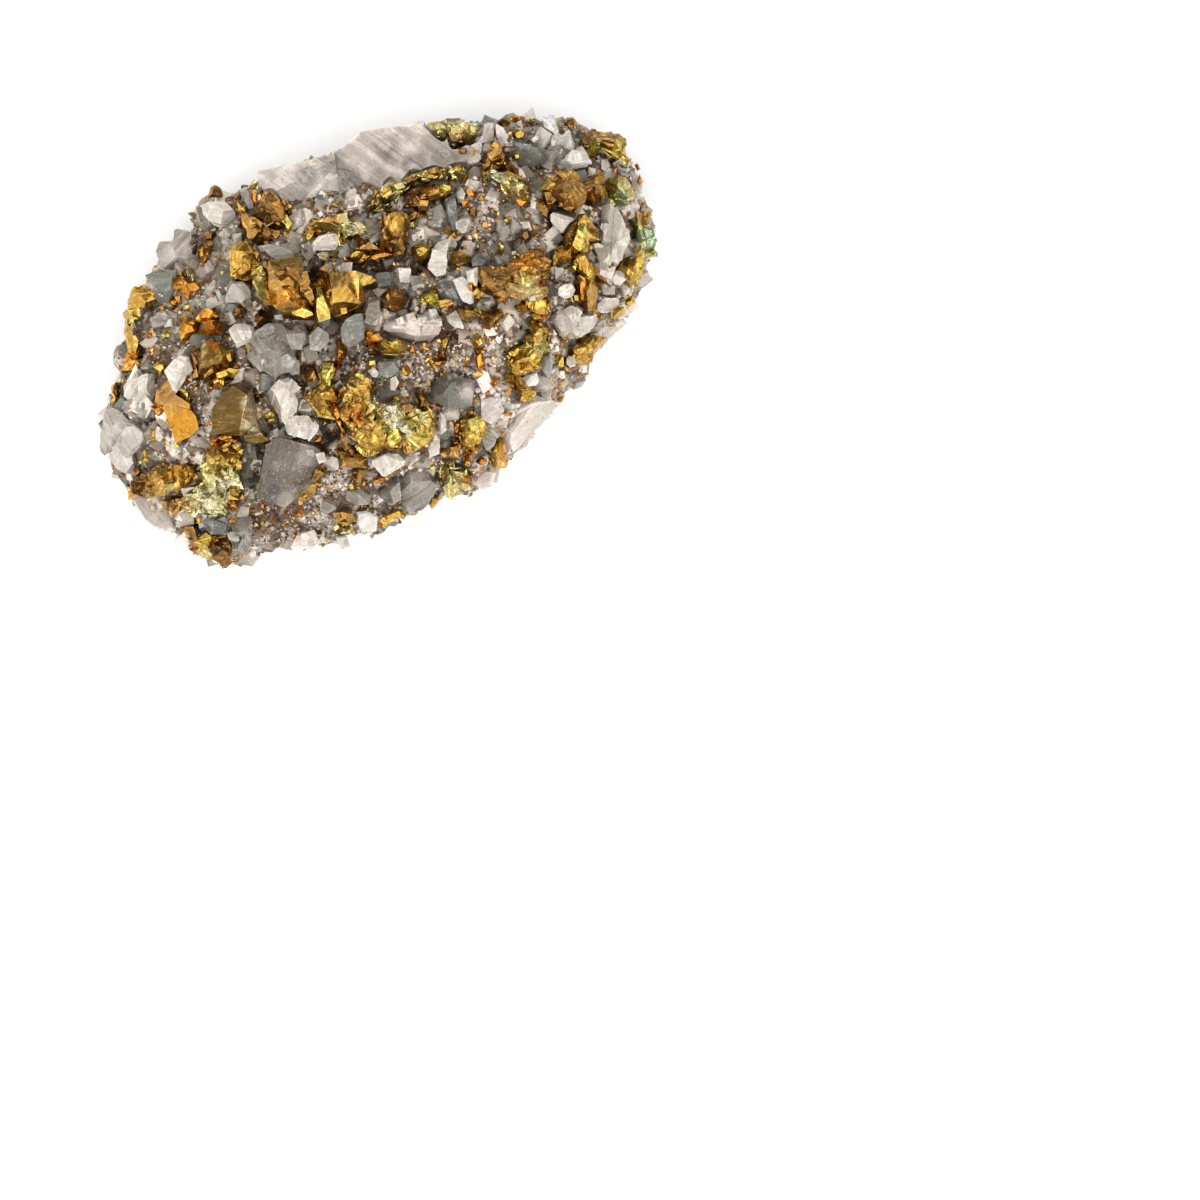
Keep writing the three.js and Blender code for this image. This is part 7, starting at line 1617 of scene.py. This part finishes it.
def flank_places(count, points, triangles, rng, clusters):
    """Places on the sides of the rock, spread evenly or more and more in clusters."""
    faces = normals_of(points, triangles)[0]
    areas = np.linalg.norm(faces, axis=1)
    middles = points[triangles].mean(axis=1)
    heights = middles[:, 2]
    side = (faces[:, 2] / areas < FLANK_SLOPE) & (heights > FLANK_FOOT) & (heights < FLANK_TOP)
    side &= rng.uniform(0, 12, len(middles)) < heights + 2
    weights = areas * side * soft_noise(middles, 5.0, 71) ** clusters
    chosen = rng.choice(len(faces), count, p=weights / weights.sum())
    return middles[chosen], faces[chosen] / areas[chosen, None]


def pick_tones(count, shares, rng):
    """A tone for each grain, by the share of each named tone."""
    odds = np.array(list(shares.values()), float)
    table = np.array([screen_colour(name) for name in shares])
    return table[rng.choice(len(table), count, p=odds / odds.sum())]


def build_grains(name, grain, rock, sky, rng):
    """One mesh of many grains, each turned at random and set into the surface."""
    places, normals = top_places(grain, sky, rng)
    top_count = len(places)
    if grain["flank"]:
        flank, outwards = flank_places(grain["flank"], *rock, rng, grain["clusters"])
        flank -= grain["inset"] * outwards
        places, normals = np.concatenate([places, flank]), np.concatenate([normals, outwards])
    shares = rng.random(len(places))
    low, high = grain["sizes"]
    sizes = low + (high - low) * shares
    if "flank_sizes" in grain:
        low, high = grain["flank_sizes"]
        sizes[top_count:] = low + (high - low) * shares[top_count:] ** 2
    own = pick_tones(len(places), grain["tones"], rng)
    around = spot_tones(to_plan(places), own, ROCK_SPOTS, wander=0.6)
    colours = own * (1 - grain["blend"]) + around * grain["blend"]

    shapes = grain_shapes(grain["shape"], rng)
    pick = rng.integers(0, len(shapes), len(places))
    turns = random_turns(len(places), rng)
    centres = places + normals * (sizes * -grain["sunk"])[:, None]
    reach = 1.2 * sizes[:, None]
    inside = ((centres - reach > BOX_LOW) & (centres + reach < BOX_HIGH)).all(axis=1)
    parts, shades = [], []
    for index, (points, triangles) in enumerate(shapes):
        chosen = np.flatnonzero(inside & (pick == index))
        made = np.einsum("gij,pj->gpi", turns[chosen], points) * sizes[chosen, None, None]
        made += centres[chosen, None, :]
        offsets = np.arange(len(chosen))[:, None, None] * len(points)
        parts.append((made.reshape(-1, 3), (triangles[None] + offsets).reshape(-1, 3)))
        factors = rng.uniform(0.8, 1.15, (len(chosen), len(triangles), 1))
        shades.append((colours[chosen, None, :] * factors).reshape(-1, 3))
    points, triangles = joined(parts)
    points[:, 2] = np.maximum(points[:, 2], GRAIN_FLOOR)
    lines = np.zeros((len(triangles), 3))
    write_piece(
        name, points, triangles, np.concatenate(shades), lines, MATERIALS[grain["material"]],
        GRAIN_CREASE
    )


# ---------------------------------------------------------------- stage


def build_floor():
    bpy.ops.mesh.primitive_plane_add(size=FLOOR_SIZE, location=(0, 0, -FLOOR_DROP))
    floor = bpy.context.object
    floor.name = "floor"
    nodes = Nodes("pale_floor")
    shade = nodes.mix(nodes.noise(40.0), (0.93, 0.93, 0.93), (0.95, 0.95, 0.95))
    nodes.feed(nodes.shader.inputs["Base Color"], shade)
    nodes.feed(nodes.shader.inputs["Roughness"], 0.9)
    floor.data.materials.append(nodes.material)


def build_softbox(name, bearing, elevation, size, radiance):
    """An area light. Bearings run clockwise on the plan sheet from its top edge."""
    data = bpy.data.lights.new(name, "AREA")
    data.shape = "RECTANGLE"
    data.size, data.size_y = size
    data.energy = radiance * math.pi * size[0] * size[1]
    lamp = bpy.data.objects.new(name, data)
    bpy.context.scene.collection.objects.link(lamp)
    turn = math.radians(90 - bearing) + SHEET_TURN
    level, lift = math.cos(math.radians(elevation)), math.sin(math.radians(elevation))
    offset = Vector((math.cos(turn) * level, math.sin(turn) * level, lift)) * LIGHT_DISTANCE
    lamp.location = LIGHT_TARGET + offset
    lamp.rotation_euler = (LIGHT_TARGET - lamp.location).to_track_quat("-Z", "Y").to_euler()


def build_lights():
    for light in LIGHTS:
        build_softbox(*light)
    world = bpy.data.worlds.new("studio")
    world.use_nodes = True
    background = world.node_tree.nodes["Background"]
    background.inputs["Color"].default_value = (1.0, 1.0, 1.0, 1.0)
    background.inputs["Strength"].default_value = WORLD_STRENGTH
    bpy.context.scene.world = world
    bpy.context.scene.view_settings.view_transform = "Standard"


def build_camera():
    """Straight above the sheet's middle, with a long lens, turned as the sheet is."""
    data = bpy.data.cameras.new("camera")
    data.sensor_width = SENSOR_WIDTH
    data.lens = SENSOR_WIDTH * (CAMERA_HEIGHT - SCALE_LEVEL) / (SHEET_SIZE * MM)
    data.clip_start, data.clip_end = 0.01, 10.0
    camera = bpy.data.objects.new("camera", data)
    bpy.context.scene.collection.objects.link(camera)
    x, y = to_part([SHEET_SIZE / 2, SHEET_SIZE / 2]) * MM
    camera.location = (x, y, CAMERA_HEIGHT)
    camera.rotation_euler = (0, 0, SHEET_TURN)
    bpy.context.scene.camera = camera


# ---------------------------------------------------------------- the scene


def build_specimen():
    cad_rock = cad_shape("matrix")
    bmesh.ops.triangulate(cad_rock, faces=cad_rock.faces)
    cad_tree = tree_of(*arrays_of(cad_rock)[:2])
    slots = {row["node"]: row["material_slot"] for row in frame["record"]["subparts"]}
    crystals = []
    for seed, node in enumerate(sorted(frame["nodes"])):
        if node != "matrix":
            crystals.append(build_crystal(node, slots[node], cad_tree, seed))
    rock = build_rock(tree_of(*joined(crystals)))
    grounds = {"rock": tree_of(*rock), "crystals": tree_of(*joined([rock] + crystals))}
    for name, table, mineral, ground, seed in SMALL_CRYSTALS:
        crystals.append(build_small_crystals(name, table, mineral, grounds[ground], seed))
    for name, mineral, count, sizes, tones, clusters, seed in FLANK_CRYSTALS:
        crystals.append(
            build_flank_crystals(name, mineral, count, sizes, tones, clusters, rock, seed)
        )
    sky = {"tree": tree_of(*joined([rock] + crystals)), "rock_count": len(rock[1])}
    rng = np.random.default_rng(GRAIN_SEED)
    for name, grain in GRAINS.items():
        build_grains(name, {**PLAIN_GRAIN, **grain}, rock, sky, rng)


build_specimen()
build_floor()
build_lights()
build_camera()
